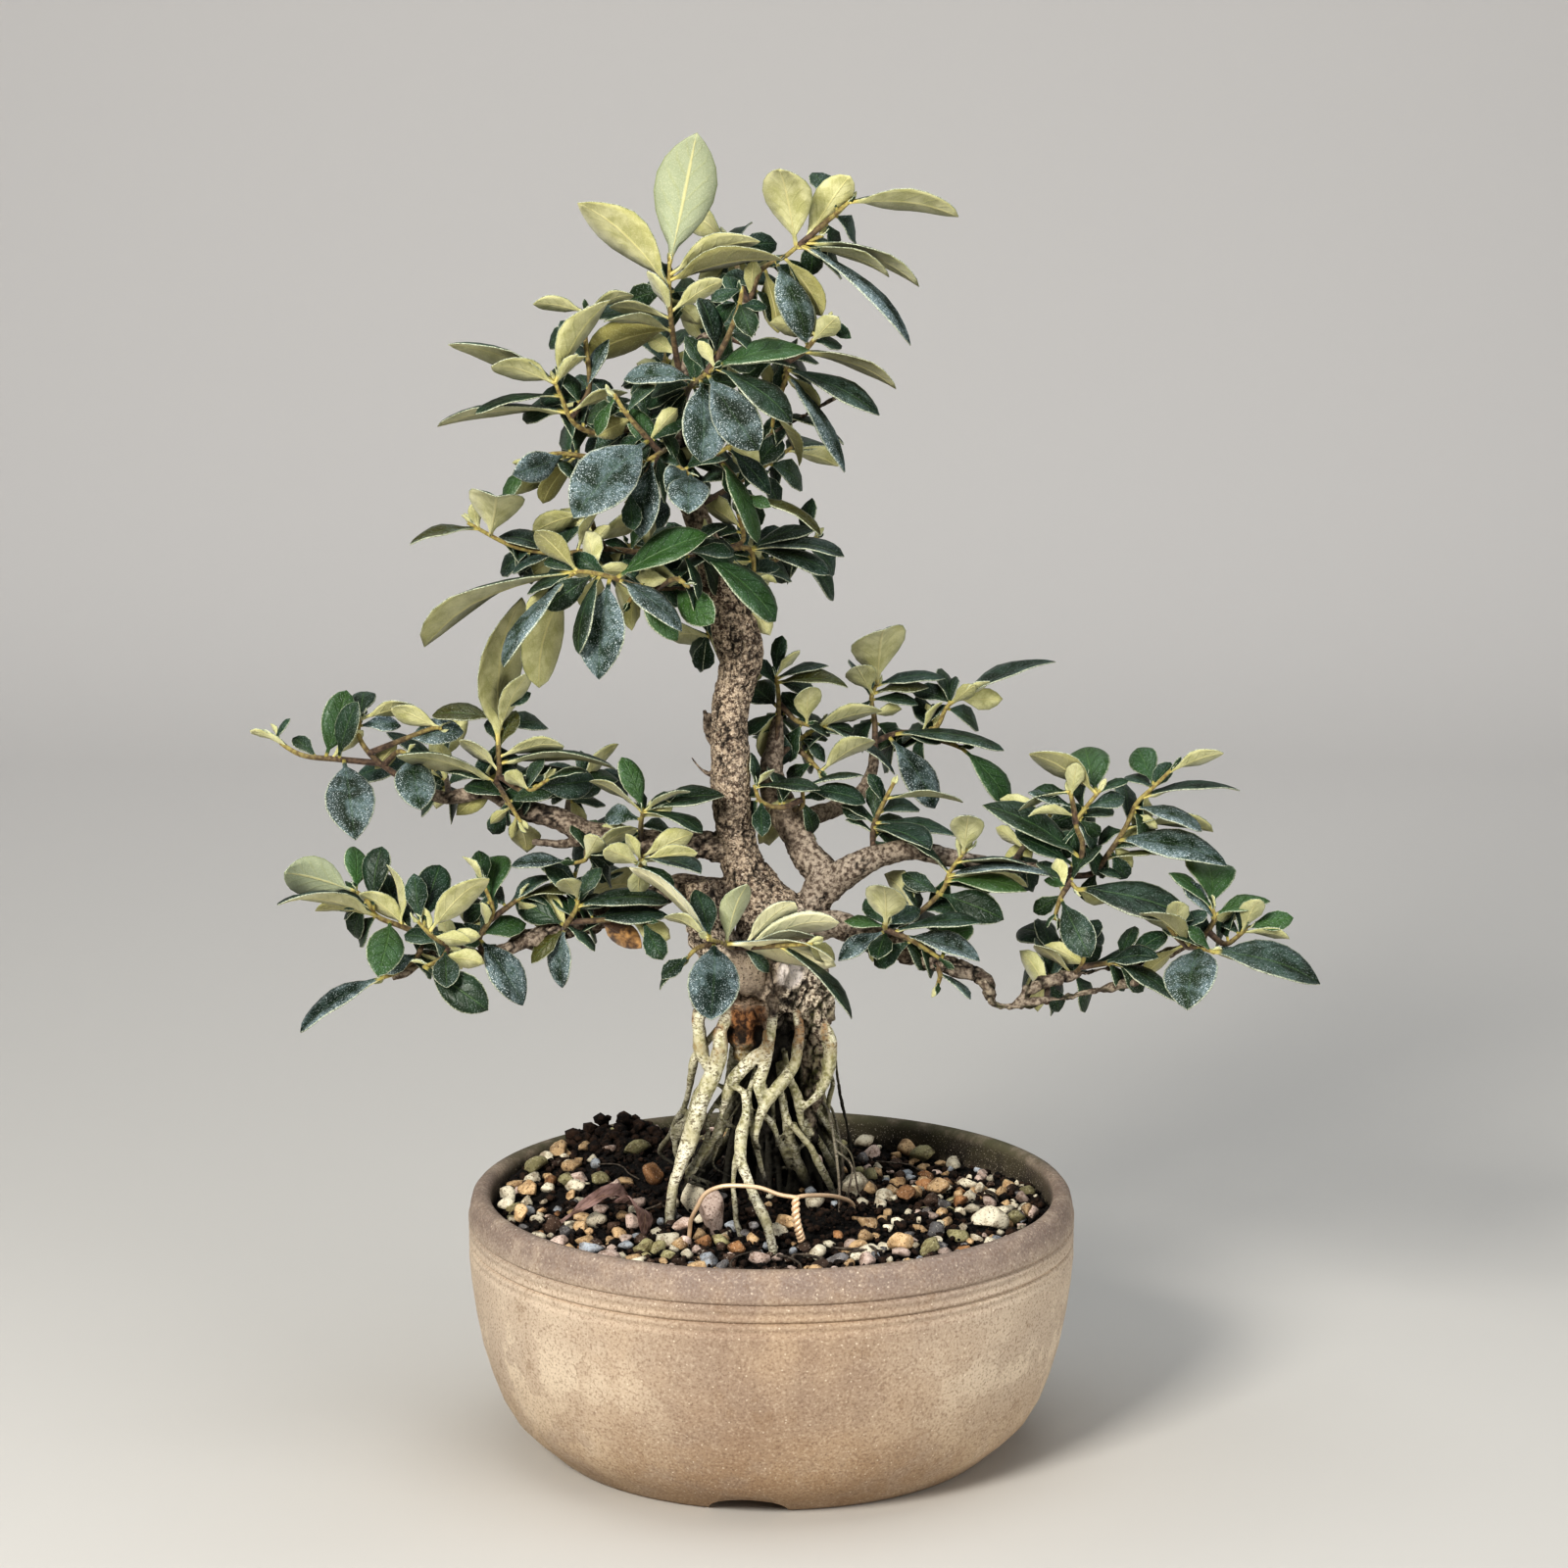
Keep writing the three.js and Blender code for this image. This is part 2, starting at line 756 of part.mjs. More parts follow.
      stem: [
        [33, -22, 160], [41, -24, 157], [50, -24, 151],
      ],
      leaves: [
        [14, 8, 26, 4], [31, 343, 23, 6], [100, 63, 13, 10],
      ],
    },
  ],
  right_stub: [
    {
      stem: [
        [48, -18, 149], [49, -20, 146], [48, -20, 142],
      ],
      leaves: [],
    },
  ],
  right_top_end: [
    {
      stem: [
        [86, -4, 173], [90, -5, 176], [91, -5, 182], [89, -5, 188], [92, -5, 193], [96, -5, 198],
      ],
      leaves: [
        [97, 148, 24, -7], [100, 105, 14, 13], [26, 151, 32, 9], [14, 152, 19, 6],
      ],
    },
    {
      stem: [
        [89, -5, 188], [88, -5, 194], [87, -5, 198],
      ],
      leaves: [
        [100, 200, 16, -2],
      ],
    },
  ],
  right_top_far: [
    {
      stem: [
        [85, -2, 172], [94, 0, 172], [99, 0, 178], [104, 0, 186], [107, 0, 193], [112, 0, 198],
        [118, 0, 204],
      ],
      leaves: [
        [96, 21, 17, -4], [84, 115, 12, 9], [73, 5, 29, 2], [64, 343, 20, 5], [49, 1, 28, -3],
        [42, 349, 32, 9], [40, 358, 32, -2], [28, 7, 19, 1],
      ],
    },
  ],
  right_end_middle: [
    {
      stem: [
        [85, -6, 173], [87, -12, 172], [89, -14, 170],
      ],
      leaves: [
        [100, 346, 34, 10],
      ],
    },
    {
      stem: [
        [87, -12, 172], [84, -16, 168], [82, -18, 162],
      ],
      leaves: [
        [50, 297, 17, 10], [100, 310, 23, 6],
      ],
    },
  ],
  right_low_twig: [
    {
      stem: [
        [87, -14, 144], [90, -18, 148], [91, -20, 153],
      ],
      leaves: [
        [12, 139, 15, -3],
      ],
    },
    {
      stem: [
        [90, -18, 148], [97, -22, 150], [103, -24, 151],
      ],
      leaves: [
        [23, 16, 19, 3], [46, 9, 17, 5], [66, 331, 21, 5], [100, 36, 15, 6],
      ],
    },
  ],
  right_end_top: [
    {
      stem: [
        [124, -14, 154], [127, -15, 158], [129, -15, 162], [128, -15, 165],
      ],
      leaves: [
        [100, 99, 14, 14], [95, 138, 16, 4], [74, 16, 17, 5],
      ],
    },
    {
      stem: [
        [127, -15, 158], [132, -14, 154], [136, -13, 156], [139, -13, 159],
      ],
      leaves: [],
    },
  ],
  right_end_front: [
    {
      stem: [
        [121, -18, 154], [124, -24, 155], [128, -26, 154],
      ],
      leaves: [
        [48, 259, 16, 15], [89, 345, 33, 10], [99, 351, 31, -4], [12, 142, 24, -6],
      ],
    },
    {
      stem: [
        [121, -18, 154], [117, -22, 158], [114, -22, 162],
      ],
      leaves: [
        [60, 128, 17, 6], [12, 219, 16, -4],
      ],
    },
  ],
};

// Shoots on the hidden back, [stem, leaves]; their leaves follow a seeded rule.
const BACK_SHOOTS = {
  crown_back_tip: [[[-7, 1, 339], [-10, 14, 349], [-14, 26, 358]], 4],
  crown_back_top: [[[-20, 0, 328], [-18, 18, 324], [-8, 36, 320]], 4],
  crown_back_left: [[[-26, 0, 306], [-44, 14, 300], [-58, 28, 304]], 4],
  crown_back_middle: [[[-26, 0, 304], [-32, 18, 316], [-30, 34, 326]], 4],
  crown_back_right: [[[-22, 0, 280], [-6, 16, 288], [8, 32, 296]], 4],
  crown_back_low_left: [[[-17, 0, 266], [-30, 16, 264], [-44, 30, 266]], 4],
  crown_back_low_right: [[[-14, 0, 258], [0, 18, 262], [14, 34, 268]], 4],
  trunk_back: [[[-12, 0, 230], [-16, 16, 236], [-20, 30, 242]], 4],
  left_back_inner: [[[-60, 3, 187], [-60, 18, 192], [-54, 32, 198]], 4],
  left_back_outer: [[[-95, 7, 194], [-98, 22, 198], [-106, 34, 200]], 4],
  low_left_back: [[[-54, -4, 159], [-54, 12, 162], [-60, 26, 166]], 4],
  right_back_lower: [[[70, -5, 175], [76, 10, 180], [84, 24, 186]], 4],
  right_back_under: [[[80, -20, 138], [82, -6, 144], [88, 10, 150]], 4],
};

// Colours of the materials.
const CLAY = { color: 0xbca088, roughness: 0.75, metalness: 0 };
const SOIL = { color: 0x2f2419, roughness: 1, metalness: 0 };
const BARK = { color: 0x8d7b66, roughness: 0.9, metalness: 0 };
const LEAF = { color: 0x4a6b50, roughness: 0.7, metalness: 0 };
const DRY = { color: 0x7a5c50, roughness: 0.9, metalness: 0 };
const WIRE = { color: 0xd8b394, roughness: 0.35, metalness: 1 };
const SCREEN = { color: 0x22262a, roughness: 0.6, metalness: 0 };

// A repeatable draw from 0 to 1 for each number.
function draw(seed) {
  const wave = sin(seed * 12.9898) * 43758.5453;
  return wave - floor(wave);
}

// A three.js geometry as a solid; triangles that have collapsed to a line are left out.
function solidOf(geometry) {
  const bare = geometry.clone();
  bare.deleteAttribute("normal");
  bare.deleteAttribute("uv");
  const merged = mergeVertices(bare, 1e-4);
  const corners = merged.index.array;
  const kept = [];
  for (let i = 0; i < corners.length; i += 3) {
    const [a, b, c] = corners.slice(i, i + 3);
    if (a !== b && b !== c && c !== a) kept.push(a, b, c);
  }
  return new wasm.Manifold(new wasm.Mesh({
    numProp: 3,
    vertProperties: merged.attributes.position.array,
    triVerts: new Uint32Array(kept),
  }));
}

function geometryOf(solid) {
  const mesh = solid.getMesh();
  const positions = new THREE.BufferAttribute(new Float32Array(mesh.vertProperties), 3);
  const geometry = new THREE.BufferGeometry().setAttribute("position", positions);
  geometry.setIndex(new THREE.BufferAttribute(new Uint32Array(mesh.triVerts), 1));
  geometry.computeVertexNormals();
  return geometry;
}

function union(solids) {
  return wasm.Manifold.union(solids);
}

// The biggest body of a solid, so that a cut leaves no scraps.
function biggestBody(solid) {
  return solid.decompose().reduce((best, body) => (body.volume() > best.volume() ? body : best));
}

// A closed tube through points [x, y, z, radius], its rings carried along without twist.
function tube(points, sides, grow = 0, ridges = 0) {
  const curve = new THREE.CatmullRomCurve3(points.map(([x, y, z]) => new THREE.Vector3(x, y, z)));
  const spans = points.length - 1;
  const rings = points.map((_, i) => ({
    centre: curve.getPoint(i / spans),
    along: curve.getTangent(i / spans),
    radius: points[i][3] + grow,
  }));
  let across = abs(rings[0].along.x) > 0.9
    ? new THREE.Vector3(0, 1, 0)
    : new THREE.Vector3(1, 0, 0);
  for (const ring of rings) {
    across = across.clone().addScaledVector(ring.along, -across.dot(ring.along)).normalize();
    ring.across = across;
    ring.third = ring.along.clone().cross(across);
  }
  const geometry = new THREE.CylinderGeometry(1, 1, 1, sides, spans);
  const position = geometry.attributes.position;
  for (let i = 0; i < position.count; i++) {
    const ring = rings[round((0.5 - position.getY(i)) * spans)];
    const [u, v] = [position.getX(i), position.getZ(i)];
    const ridge = 1 + ridges * cos(3 * atan2(v, u) + ring.centre.z / RIDGE_TWIST);
    const spot = ring.centre.clone()
      .addScaledVector(ring.across, u * ring.radius * ridge)
      .addScaledVector(ring.third, v * ring.radius * ridge);
    position.setXYZ(i, spot.x, spot.y, spot.z);
  }
  return solidOf(geometry);
}

// A point part of the way along a stem's polyline; leaves at the very end grow from just
// inside it.
function alongStem(stem, percent) {
  const place = (min(percent, 95) / 100) * (stem.length - 1);
  const start = min(floor(place), stem.length - 2);
  return new THREE.Vector3(...stem[start])
    .lerp(new THREE.Vector3(...stem[start + 1]), place - start);
}

// How far a leaf leans towards the viewer by itself, in degrees. One that looks short for its
// width is foreshortened: towards the viewer if its top hangs down or its underside points up.
function ownLean([percent, clock, reach, width, lean]) {
  if (lean !== undefined) return lean;
  const length = max(reach, LEAF_PROPORTION * abs(width));
  const towards = (width < 0) === (sin(clock * DEGREE) > 0) ? 1 : -1;
  const tilt = acos(reach / length) / DEGREE;
  return towards * min(MOST_LEAN, max(tilt, STRAY_LEAN * draw(percent + clock + reach)));
}

// The leaf's base, its length and true width, and its directions: along, out of the top
// face, and across. A bend swings it about its base without changing its length.
function leafFrame(stem, leaf, bend) {
  const [percent, clock, reach, width] = leaf;
  const base = alongStem(stem, percent);
  const view = EYE.clone().sub(base).normalize();
  const lean = ownLean(leaf) * DEGREE;
  const swung = max(-MOST_BEND * DEGREE, min(MOST_BEND * DEGREE, lean + bend * DEGREE));
  const length = reach / cos(lean);
  const along = new THREE.Vector3(cos(clock * DEGREE), 0, sin(clock * DEGREE))
    .multiplyScalar(cos(swung))
    .addScaledVector(view, sin(swung))
    .normalize();
  const slender = LEAF_SLENDER + 0.08 * draw(percent - clock);
  const trueWidth = min(max(abs(width), slender * length), LEAF_BROAD * length);
  const facing = view.addScaledVector(along, -view.dot(along)).normalize();
  const upward = along.clone().cross(facing);
  if (upward.z < -1e-6) upward.negate();
  const turn = asin(min(1, abs(width) / trueWidth)) * sign(width);
  const top = facing.multiplyScalar(sin(turn)).addScaledVector(upward, cos(turn));
  return { base, length, width: trueWidth, along, top, across: along.clone().cross(top) };
}

// One leaf as a thin arched blade with a keel under its midrib, pointed at its base and tip;
// room makes it bigger all round, and from starts it part of the way along.
function blade({ base, length, width, along, top, across }, room = 0, from = 0) {
  const last = LEAF_ROWS.length - 1;
  const geometry = new THREE.CylinderGeometry(1, 1, 1, 3, last).rotateY(PI);
  const position = geometry.attributes.position;
  for (let i = 0; i < position.count; i++) {
    const [share, half] = LEAF_ROWS[round((position.getY(i) + 0.5) * last)];
    const t = max(share, from);
    const onMargin = position.getZ(i) > 0;
    const spread = half > 0 && onMargin ? half * width + room : 0;
    const depth = half > 0 && !onMargin ? LEAF_KEEL + room : 0;
    const lift = LEAF_ARCH * 4 * t * (1 - t) * length + (half > 0 && onMargin ? room : 0);
    const spot = base.clone()
      .addScaledVector(along, t * length)
      .addScaledVector(across, sign(position.getX(i)) * spread)
      .addScaledVector(top, lift - depth);
    position.setXYZ(i, spot.x, spot.y, spot.z);
  }
  return solidOf(geometry);
}

function soilHeight(x, y) {
  const shapes = SOIL_SHAPES.map(([cx, cy, height, spread]) =>
    height * exp(-(hypot(x - cx, y - cy) ** 2) / (2 * spread ** 2)));
  const grain = SOIL_GRAIN * (sin(0.31 * x + 1.7) * cos(0.27 * y) + sin(0.23 * (x - y)));
  return shapes.reduce((sum, height) => sum + height, SOIL_LEVEL) + grain;
}

// A body turned round the pot's axis from [radius, height] points.
function turned(profile, segments) {
  const points = profile.map(([radius, height]) => new THREE.Vector2(radius, height));
  return new THREE.LatheGeometry(points, segments).rotateX(PI / 2);
}

function makePot() {
  const body = solidOf(turned([...POT_OUTSIDE, ...POT_INSIDE], POT_SEGMENTS));
  const hole = new THREE.CylinderGeometry(DRAIN_HOLE / 2, DRAIN_HOLE / 2, 30, 20);
  let pot = body.subtract(solidOf(hole.rotateX(PI / 2)));
  // Each notch in the foot is a shallow arch cut right through the ring.
  const arch = new THREE.Shape();
  arch.moveTo(-FOOT_NOTCH_WIDTH / 2, -1);
  arch.lineTo(FOOT_NOTCH_WIDTH / 2, -1);
  arch.lineTo(FOOT_NOTCH_WIDTH / 2, 0.6);
  arch.quadraticCurveTo(0, 2 * FOOT_NOTCH_HEIGHT - 0.6, -FOOT_NOTCH_WIDTH / 2, 0.6);
  for (let foot = 0; foot < FEET; foot++) {
    const clock = (FIRST_NOTCH_CLOCK + (360 / FEET) * foot) * DEGREE;
    const notch = new THREE.ExtrudeGeometry(arch, { depth: 30, bevelEnabled: false, curveSegments: 6 })
      .rotateX(PI / 2)
      .translate(0, 80, 0)
      .rotateZ(clock - PI / 2);
    pot = pot.subtract(solidOf(notch));
  }
  return biggestBody(pot);
}

function makeScreen() {
  const plate = new THREE.BoxGeometry(SCREEN_SIDE, SCREEN_SIDE, SCREEN_THICK);
  const pitch = SCREEN_OPENING + SCREEN_BAR;
  const first = (-pitch * (SCREEN_OPENINGS - 1)) / 2;
  const openings = [];
  for (let i = 0; i < SCREEN_OPENINGS; i++)
    for (let j = 0; j < SCREEN_OPENINGS; j++)
      openings.push(solidOf(new THREE.BoxGeometry(SCREEN_OPENING, SCREEN_OPENING, 5)
        .translate(first + i * pitch, first + j * pitch, 0)));
  return solidOf(plate).subtract(union(openings))
    .translate(0, 0, FLOOR_TOP + CLEARANCE + SCREEN_THICK / 2);
}

// One stone as a rounded lump half sunk in the soil.
function stone(x, y, width, height, seed) {
  const depth = (width + height) / 2;
  const big = depth > BIG_STONE;
  const lump = (big ? new THREE.IcosahedronGeometry(0.5) : new THREE.OctahedronGeometry(0.56))
    .rotateX(6 * draw(seed))
    .rotateY(6 * draw(seed + 1))
    .scale(width, depth, height)
    .rotateZ(0.6 * (draw(seed + 2) - 0.5))
    .translate(x, y, soilHeight(x, y) + height * 0.22);
  return solidOf(lump);
}

// Smaller stones of the top dressing, scattered over the whole soil.
function smallStones() {
  const stones = [];
  for (let k = 0; k < SMALL_STONES; k++) {
    const radius = 30 + 48 * draw(k * 3.1);
    const clock = k * 2.39996;
    const size = 4 + 3 * draw(k * 3.1 + 2);
    stones.push(stone(radius * cos(clock), radius * sin(clock), size, size * 0.8, k + 50));
  }
  return stones;
}

function makeSoil(roots, wire, screen) {
  const wall = POT_INSIDE.slice(0, -1).map(([radius, height]) => [radius - 1.1, height + 0.4]);
  const [rim, ...lower] = wall;
  const profile = [
    [0, FLOOR_TOP + CLEARANCE],
    ...lower.reverse(),
    [rim[0], SOIL_LEVEL],
    ...SOIL_RINGS.map((radius) => [radius, SOIL_LEVEL]),
    [0, SOIL_LEVEL],
  ];
  const geometry = turned(profile, SOIL_SEGMENTS);
  const position = geometry.attributes.position;
  for (let i = 0; i < position.count; i++)
    if (position.getZ(i) > SOIL_LEVEL - 1)
      position.setZ(i, soilHeight(position.getX(i), position.getY(i)));
  const stones = [
    ...STONES.map(([x, y, width, height], k) => stone(x, y, width, height, k)),
    ...smallStones(),
  ];
  // Stones against the wall are trimmed to the room inside the pot.
  const room = solidOf(turned([[0, 0], [ROOM_IN_POT, 0], [ROOM_IN_POT, 100], [0, 100]], POT_SEGMENTS));
  return biggestBody(union([solidOf(geometry), ...stones])
    .intersect(room)
    .subtract(roots)
    .subtract(wire)
    .subtract(screen));
}

// Points of a root with its start inside the base of the trunk and its buried end.
function rootPoints(points) {
  const [startX, startY, startZ, startRadius] = points[0];
  const [x, y, z, radius] = points.at(-1);
  return [
    [startX / 2, startY / 2, startZ + 8, startRadius],
    ...points,
    [x * 1.03, y * 1.03, z - ROOT_DEPTH, radius * 0.8],
  ];
}

// Roots round the hidden back of the base.
function backRoots() {
  const roots = [];
  for (let k = 0; k < BACK_ROOTS; k++) {
    const clock = (10 + (160 * k) / (BACK_ROOTS - 1)) * DEGREE;
    const spread = 30 + 14 * draw(k + 7);
    const sway = 0.35 * (draw(k + 11) - 0.5);
    const place = (radius, turn, height, thick) =>
      [1 + radius * cos(clock + turn), radius * sin(clock + turn), height, thick];
    const [x, y] = place(spread, sway, 0, 0);
    roots.push([
      place(9, 0, 132, 2.8),
      place(15, sway / 2, 112, 2.5),
      place(21, -sway, 94, 2.1),
      [x, y, soilHeight(x, y), 1.5],
    ]);
  }
  return roots;
}

// All the wood in one piece, bigger all round by grow.
function makeWood(grow = 0) {
  const { trunk, ...branches } = WOOD;
  const pieces = [tube(trunk, TRUNK_SIDES, grow, TRUNK_RIDGES)];
  for (const branch of Object.values(branches)) pieces.push(tube(branch, BRANCH_SIDES, grow));
  const [x, y, z, radius] = BURR;
  pieces.push(solidOf(new THREE.IcosahedronGeometry(radius + grow, 1).translate(x, y, z)));
  for (const root of [...ROOTS, ...backRoots()])
    pieces.push(tube(rootPoints(root), root[0][3] > THICK_ROOT ? 4 : 3, grow));
  return union(pieces);
}

// The wire loop, its arm and its twisted end, joined in one piece.
function makeWire(grow = 0) {
  const radius = WIRE_RADIUS + grow;
  const route = (points) => points.map((point) => [...point, radius]);
  const [x, y, z] = WIRE_LOOP[0];
  const [armX, armY, armZ] = WIRE_ARM.at(-1);
  const twist = WIRE_TWIST.map((point) => [...point, radius * 1.8]);
  return union([
    tube(route([[x, y, z - WIRE_DEPTH - 1], ...WIRE_LOOP]), WIRE_SIDES),
    tube(route([...WIRE_ARM, [armX + 1, armY + 2, armZ - WIRE_DEPTH - 1]]), WIRE_SIDES),
    tube(twist, WIRE_SIDES),
  ]);
}

// A fallen leaf laid on the soil, trimmed where the ground rises under it.
function makeDryLeaf([x, y, turn, length, width], soil) {
  const clock = turn * DEGREE;
  const along = new THREE.Vector3(cos(clock), sin(clock), 0);
  const top = new THREE.Vector3(0, 0, 1);
  const base = new THREE.Vector3(x, y, soilHeight(x, y) + LEAF_KEEL)
    .addScaledVector(along, -length / 2);
  const frame = { base, length, width, along, top, across: along.clone().cross(top) };
  return biggestBody(blade(frame).subtract(soil.translate(0, 0, CLEARANCE)));
}

// The seeded leaves of a back shoot, in turn round the stem and leaning away from the front.
function backLeaves(count, seed) {
  const leaves = [];
  for (let k = 0; k < count; k++) {
    const mark = seed * 20 + k;
    const percent = 50 + (50 * (k + 1)) / count;
    const clock = round((mark * 137.5) % 360);
    const reach = round(13 + 9 * draw(mark + 0.1));
    const width = round(4 + 6 * draw(mark + 0.2)) * (draw(mark + 0.3) < 0.4 ? -1 : 1);
    leaves.push([percent, clock, reach, width, round(-10 - 45 * draw(mark + 0.4))]);
  }
  return leaves;
}

function boxesMeet(one, other) {
  return [0, 1, 2].every((i) => one.min[i] < other.max[i] && other.min[i] < one.max[i]);
}

// Everything that a new leaf has to miss, with the shoot it belongs to. Leaves of one shoot
// may meet near the stem, so among themselves only their outer parts count.
const obstacles = [];

function addObstacle(owner, solid, roomy, outer) {
  obstacles.push({ owner, solid, roomy, outer, box: roomy.boundingBox() });
}

function misses(solid, owner, ownToo) {
  const box = solid.boundingBox();
  return obstacles.every((other) => {
    const body = other.owner === owner ? ownToo && other.outer : other.solid;
    return !body || !boxesMeet(box, other.box) || solid.intersect(body).isEmpty();
  });
}

// A leaf turned, if need be, until it misses the leaves and stems of the other shoots, and
// better still those of its own; one that misses them nowhere is left out.
function placeLeaf(stem, leaf, owner) {
  for (const ownToo of [true, false])
    for (const bend of BENDS) {
      const frame = leafFrame(stem, leaf, bend);
      if (!misses(blade(frame, LEAF_ROOM, OUTER_PART), owner, ownToo)) continue;
      const solid = blade(frame);
      addObstacle(owner, solid, blade(frame, LEAF_ROOM), blade(frame, 0, OUTER_PART));
      return [solid];
    }
  return [];
}

function stemTube(stem, grow = 0) {
  const [thick, thin] = STEM_RADIUS;
  const last = stem.length - 1;
  return tube(stem.map((point, i) => [...point, thick + ((thin - thick) * i) / last]), STEM_SIDES, grow);
}

// Every shoot: its stems and leaves fused, seated against the wood, and trimmed where the foot
// of a leaf would touch a shoot that is already there.
function makeShoots(wood) {
  const shoots = Object.entries(SHOOTS).map(([name, stems]) => ({ name, stems }));
  Object.entries(BACK_SHOOTS).forEach(([name, [stem, count]], k) =>
    shoots.push({ name, stems: [{ stem, leaves: backLeaves(count, k + 1) }] }));
  addObstacle("wood", wood, wood);
  for (const { name, stems } of shoots)
    for (const { stem } of stems) {
      const roomy = stemTube(stem, LEAF_ROOM);
      addObstacle(name, roomy, roomy);
    }
  const finished = new Set(["wood"]);
  return shoots.map(({ name, stems }) => {
    const pieces = stems.flatMap(({ stem, leaves }) =>
      [stemTube(stem), ...leaves.flatMap((leaf) => placeLeaf(stem, leaf, name))]);
    const shoot = union(pieces);
    const box = shoot.boundingBox();
    const touched = obstacles.filter((other) => finished.has(other.owner)
      && boxesMeet(box, other.box) && !shoot.intersect(other.roomy).isEmpty());
    finished.add(name);
    return { name, solid: biggestBody(shoot.subtract(union(touched.map((other) => other.roomy)))) };
  });
}

function asMesh(name, solid, look) {
  const mesh = new THREE.Mesh(geometryOf(solid), new THREE.MeshStandardMaterial(look));
  mesh.name = name;
  return mesh;
}

const pot = makePot();
const screen = makeScreen();
const wood = makeWood();
const roomyWood = makeWood(CLEARANCE);
const wire = makeWire().subtract(roomyWood);
const screenRoom = solidOf(new THREE.BoxGeometry(SCREEN_SIDE + 2, SCREEN_SIDE + 2, 4)
  .translate(0, 0, FLOOR_TOP));
const soil = makeSoil(roomyWood, makeWire(CLEARANCE), screenRoom);
const shoots = makeShoots(roomyWood);

const tree = new THREE.Group();
tree.add(
  asMesh("pot", pot, CLAY),
  asMesh("drain_screen", screen, SCREEN),
  asMesh("soil_and_gravel", soil, SOIL),
  asMesh("trunk_and_roots", wood, BARK),
  asMesh("training_wire", biggestBody(wire), WIRE),
);
for (const [name, leaf] of Object.entries(DRY_LEAVES))
  tree.add(asMesh(name, makeDryLeaf(leaf, soil), DRY));
for (const { name, solid } of shoots) tree.add(asMesh(name, solid, LEAF));

const bounds = new THREE.Box3().setFromObject(tree);
const middle = bounds.getCenter(new THREE.Vector3());
const bonsai = new THREE.Group();
tree.position.set(-middle.x, -middle.y, -bounds.min.z);
bonsai.add(tree);

export default bonsai;
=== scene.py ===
import math

import bpy
import numpy as np
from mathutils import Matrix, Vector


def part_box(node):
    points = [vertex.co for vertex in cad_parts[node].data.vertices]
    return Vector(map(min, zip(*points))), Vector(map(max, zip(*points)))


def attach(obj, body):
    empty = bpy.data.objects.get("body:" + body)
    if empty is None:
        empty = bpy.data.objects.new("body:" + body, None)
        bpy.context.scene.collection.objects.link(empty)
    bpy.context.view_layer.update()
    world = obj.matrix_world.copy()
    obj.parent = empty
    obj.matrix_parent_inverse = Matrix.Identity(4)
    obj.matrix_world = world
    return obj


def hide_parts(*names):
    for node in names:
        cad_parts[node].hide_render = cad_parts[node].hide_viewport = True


# Himalayan cotoneaster grown as a small exposed-root bonsai in a round clay pot.
# Layout numbers are millimetres from the pot's axis at table height, the front facing -Y;
# every mesh is written in metres in the row's own frame.

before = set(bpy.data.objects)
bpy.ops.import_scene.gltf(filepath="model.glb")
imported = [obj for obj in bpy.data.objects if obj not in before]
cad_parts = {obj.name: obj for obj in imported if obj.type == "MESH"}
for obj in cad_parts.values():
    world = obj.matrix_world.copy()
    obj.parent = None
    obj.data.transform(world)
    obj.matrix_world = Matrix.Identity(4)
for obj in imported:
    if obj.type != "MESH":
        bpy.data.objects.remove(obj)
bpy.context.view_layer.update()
bpy.ops.object.select_all(action="DESELECT")
scene = bpy.context.scene

MM = 0.001
FULL_TURN = 2 * math.pi
pot_low, pot_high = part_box("pot")
POT_AXIS = np.array([(pot_low.x + pot_high.x) / 2, (pot_low.y + pot_high.y) / 2, 0.0])

# Camera, in millimetres from the pot's axis, and the eye that leaves and stones are laid out from.
CAMERA_PLACE = (3.7, -1131.1, 397.7)
EYE = np.array([4.0, -1131.0, 398.0])
CAMERA_PITCH = 9.97
LENS = 90
SENSOR = 36

# Backdrop, in metres: the floor's (y, z) up to its bend, the bend's radius and the wall's top.
SWEEP_FLOOR = [(-9.0, 0.0), (-1.5, 0.0), (1.2, 0.0)]
SWEEP_CURVE = 1.0
SWEEP_STEPS = 12
WALL_TOP = 3.0
SWEEP_HALF_WIDTH = 8

# Soft lights, in metres and watts: place, size, power and tint, each aimed at the target.
LIGHT_TARGET = (0, 0, 0.2)
LIGHTS = {
    "key": ((-0.75, -1.3, 0.98), 0.45, 26, (1.0, 0.97, 0.925)),
    "overhead": ((0.1, 0.05, 1.5), 1.2, 8, (0.92, 0.96, 1.0)),
    "fill": ((1.15, -1.1, 0.34), 1.1, 12, (1.0, 0.985, 0.965)),
}
SKY_TINT = (0.82, 0.88, 1.0, 1)
SKY_STRENGTH = 0.2

# Pot: radius and height from the drain hole out, up the wall, over the lip and down inside.
POT_OUTSIDE = [
    (7, 4.5), (54, 4.5), (57, 4.4), (58, 3), (58.3, 0.6), (59, 0), (65, 0), (66.4, 0.4), (68, 1.6),
    (70, 3.5), (74.2, 7.1), (78, 11), (81.3, 16.8), (84, 24), (86.5, 32.5), (88.3, 42), (89.5, 51),
    (90.1, 58),
]
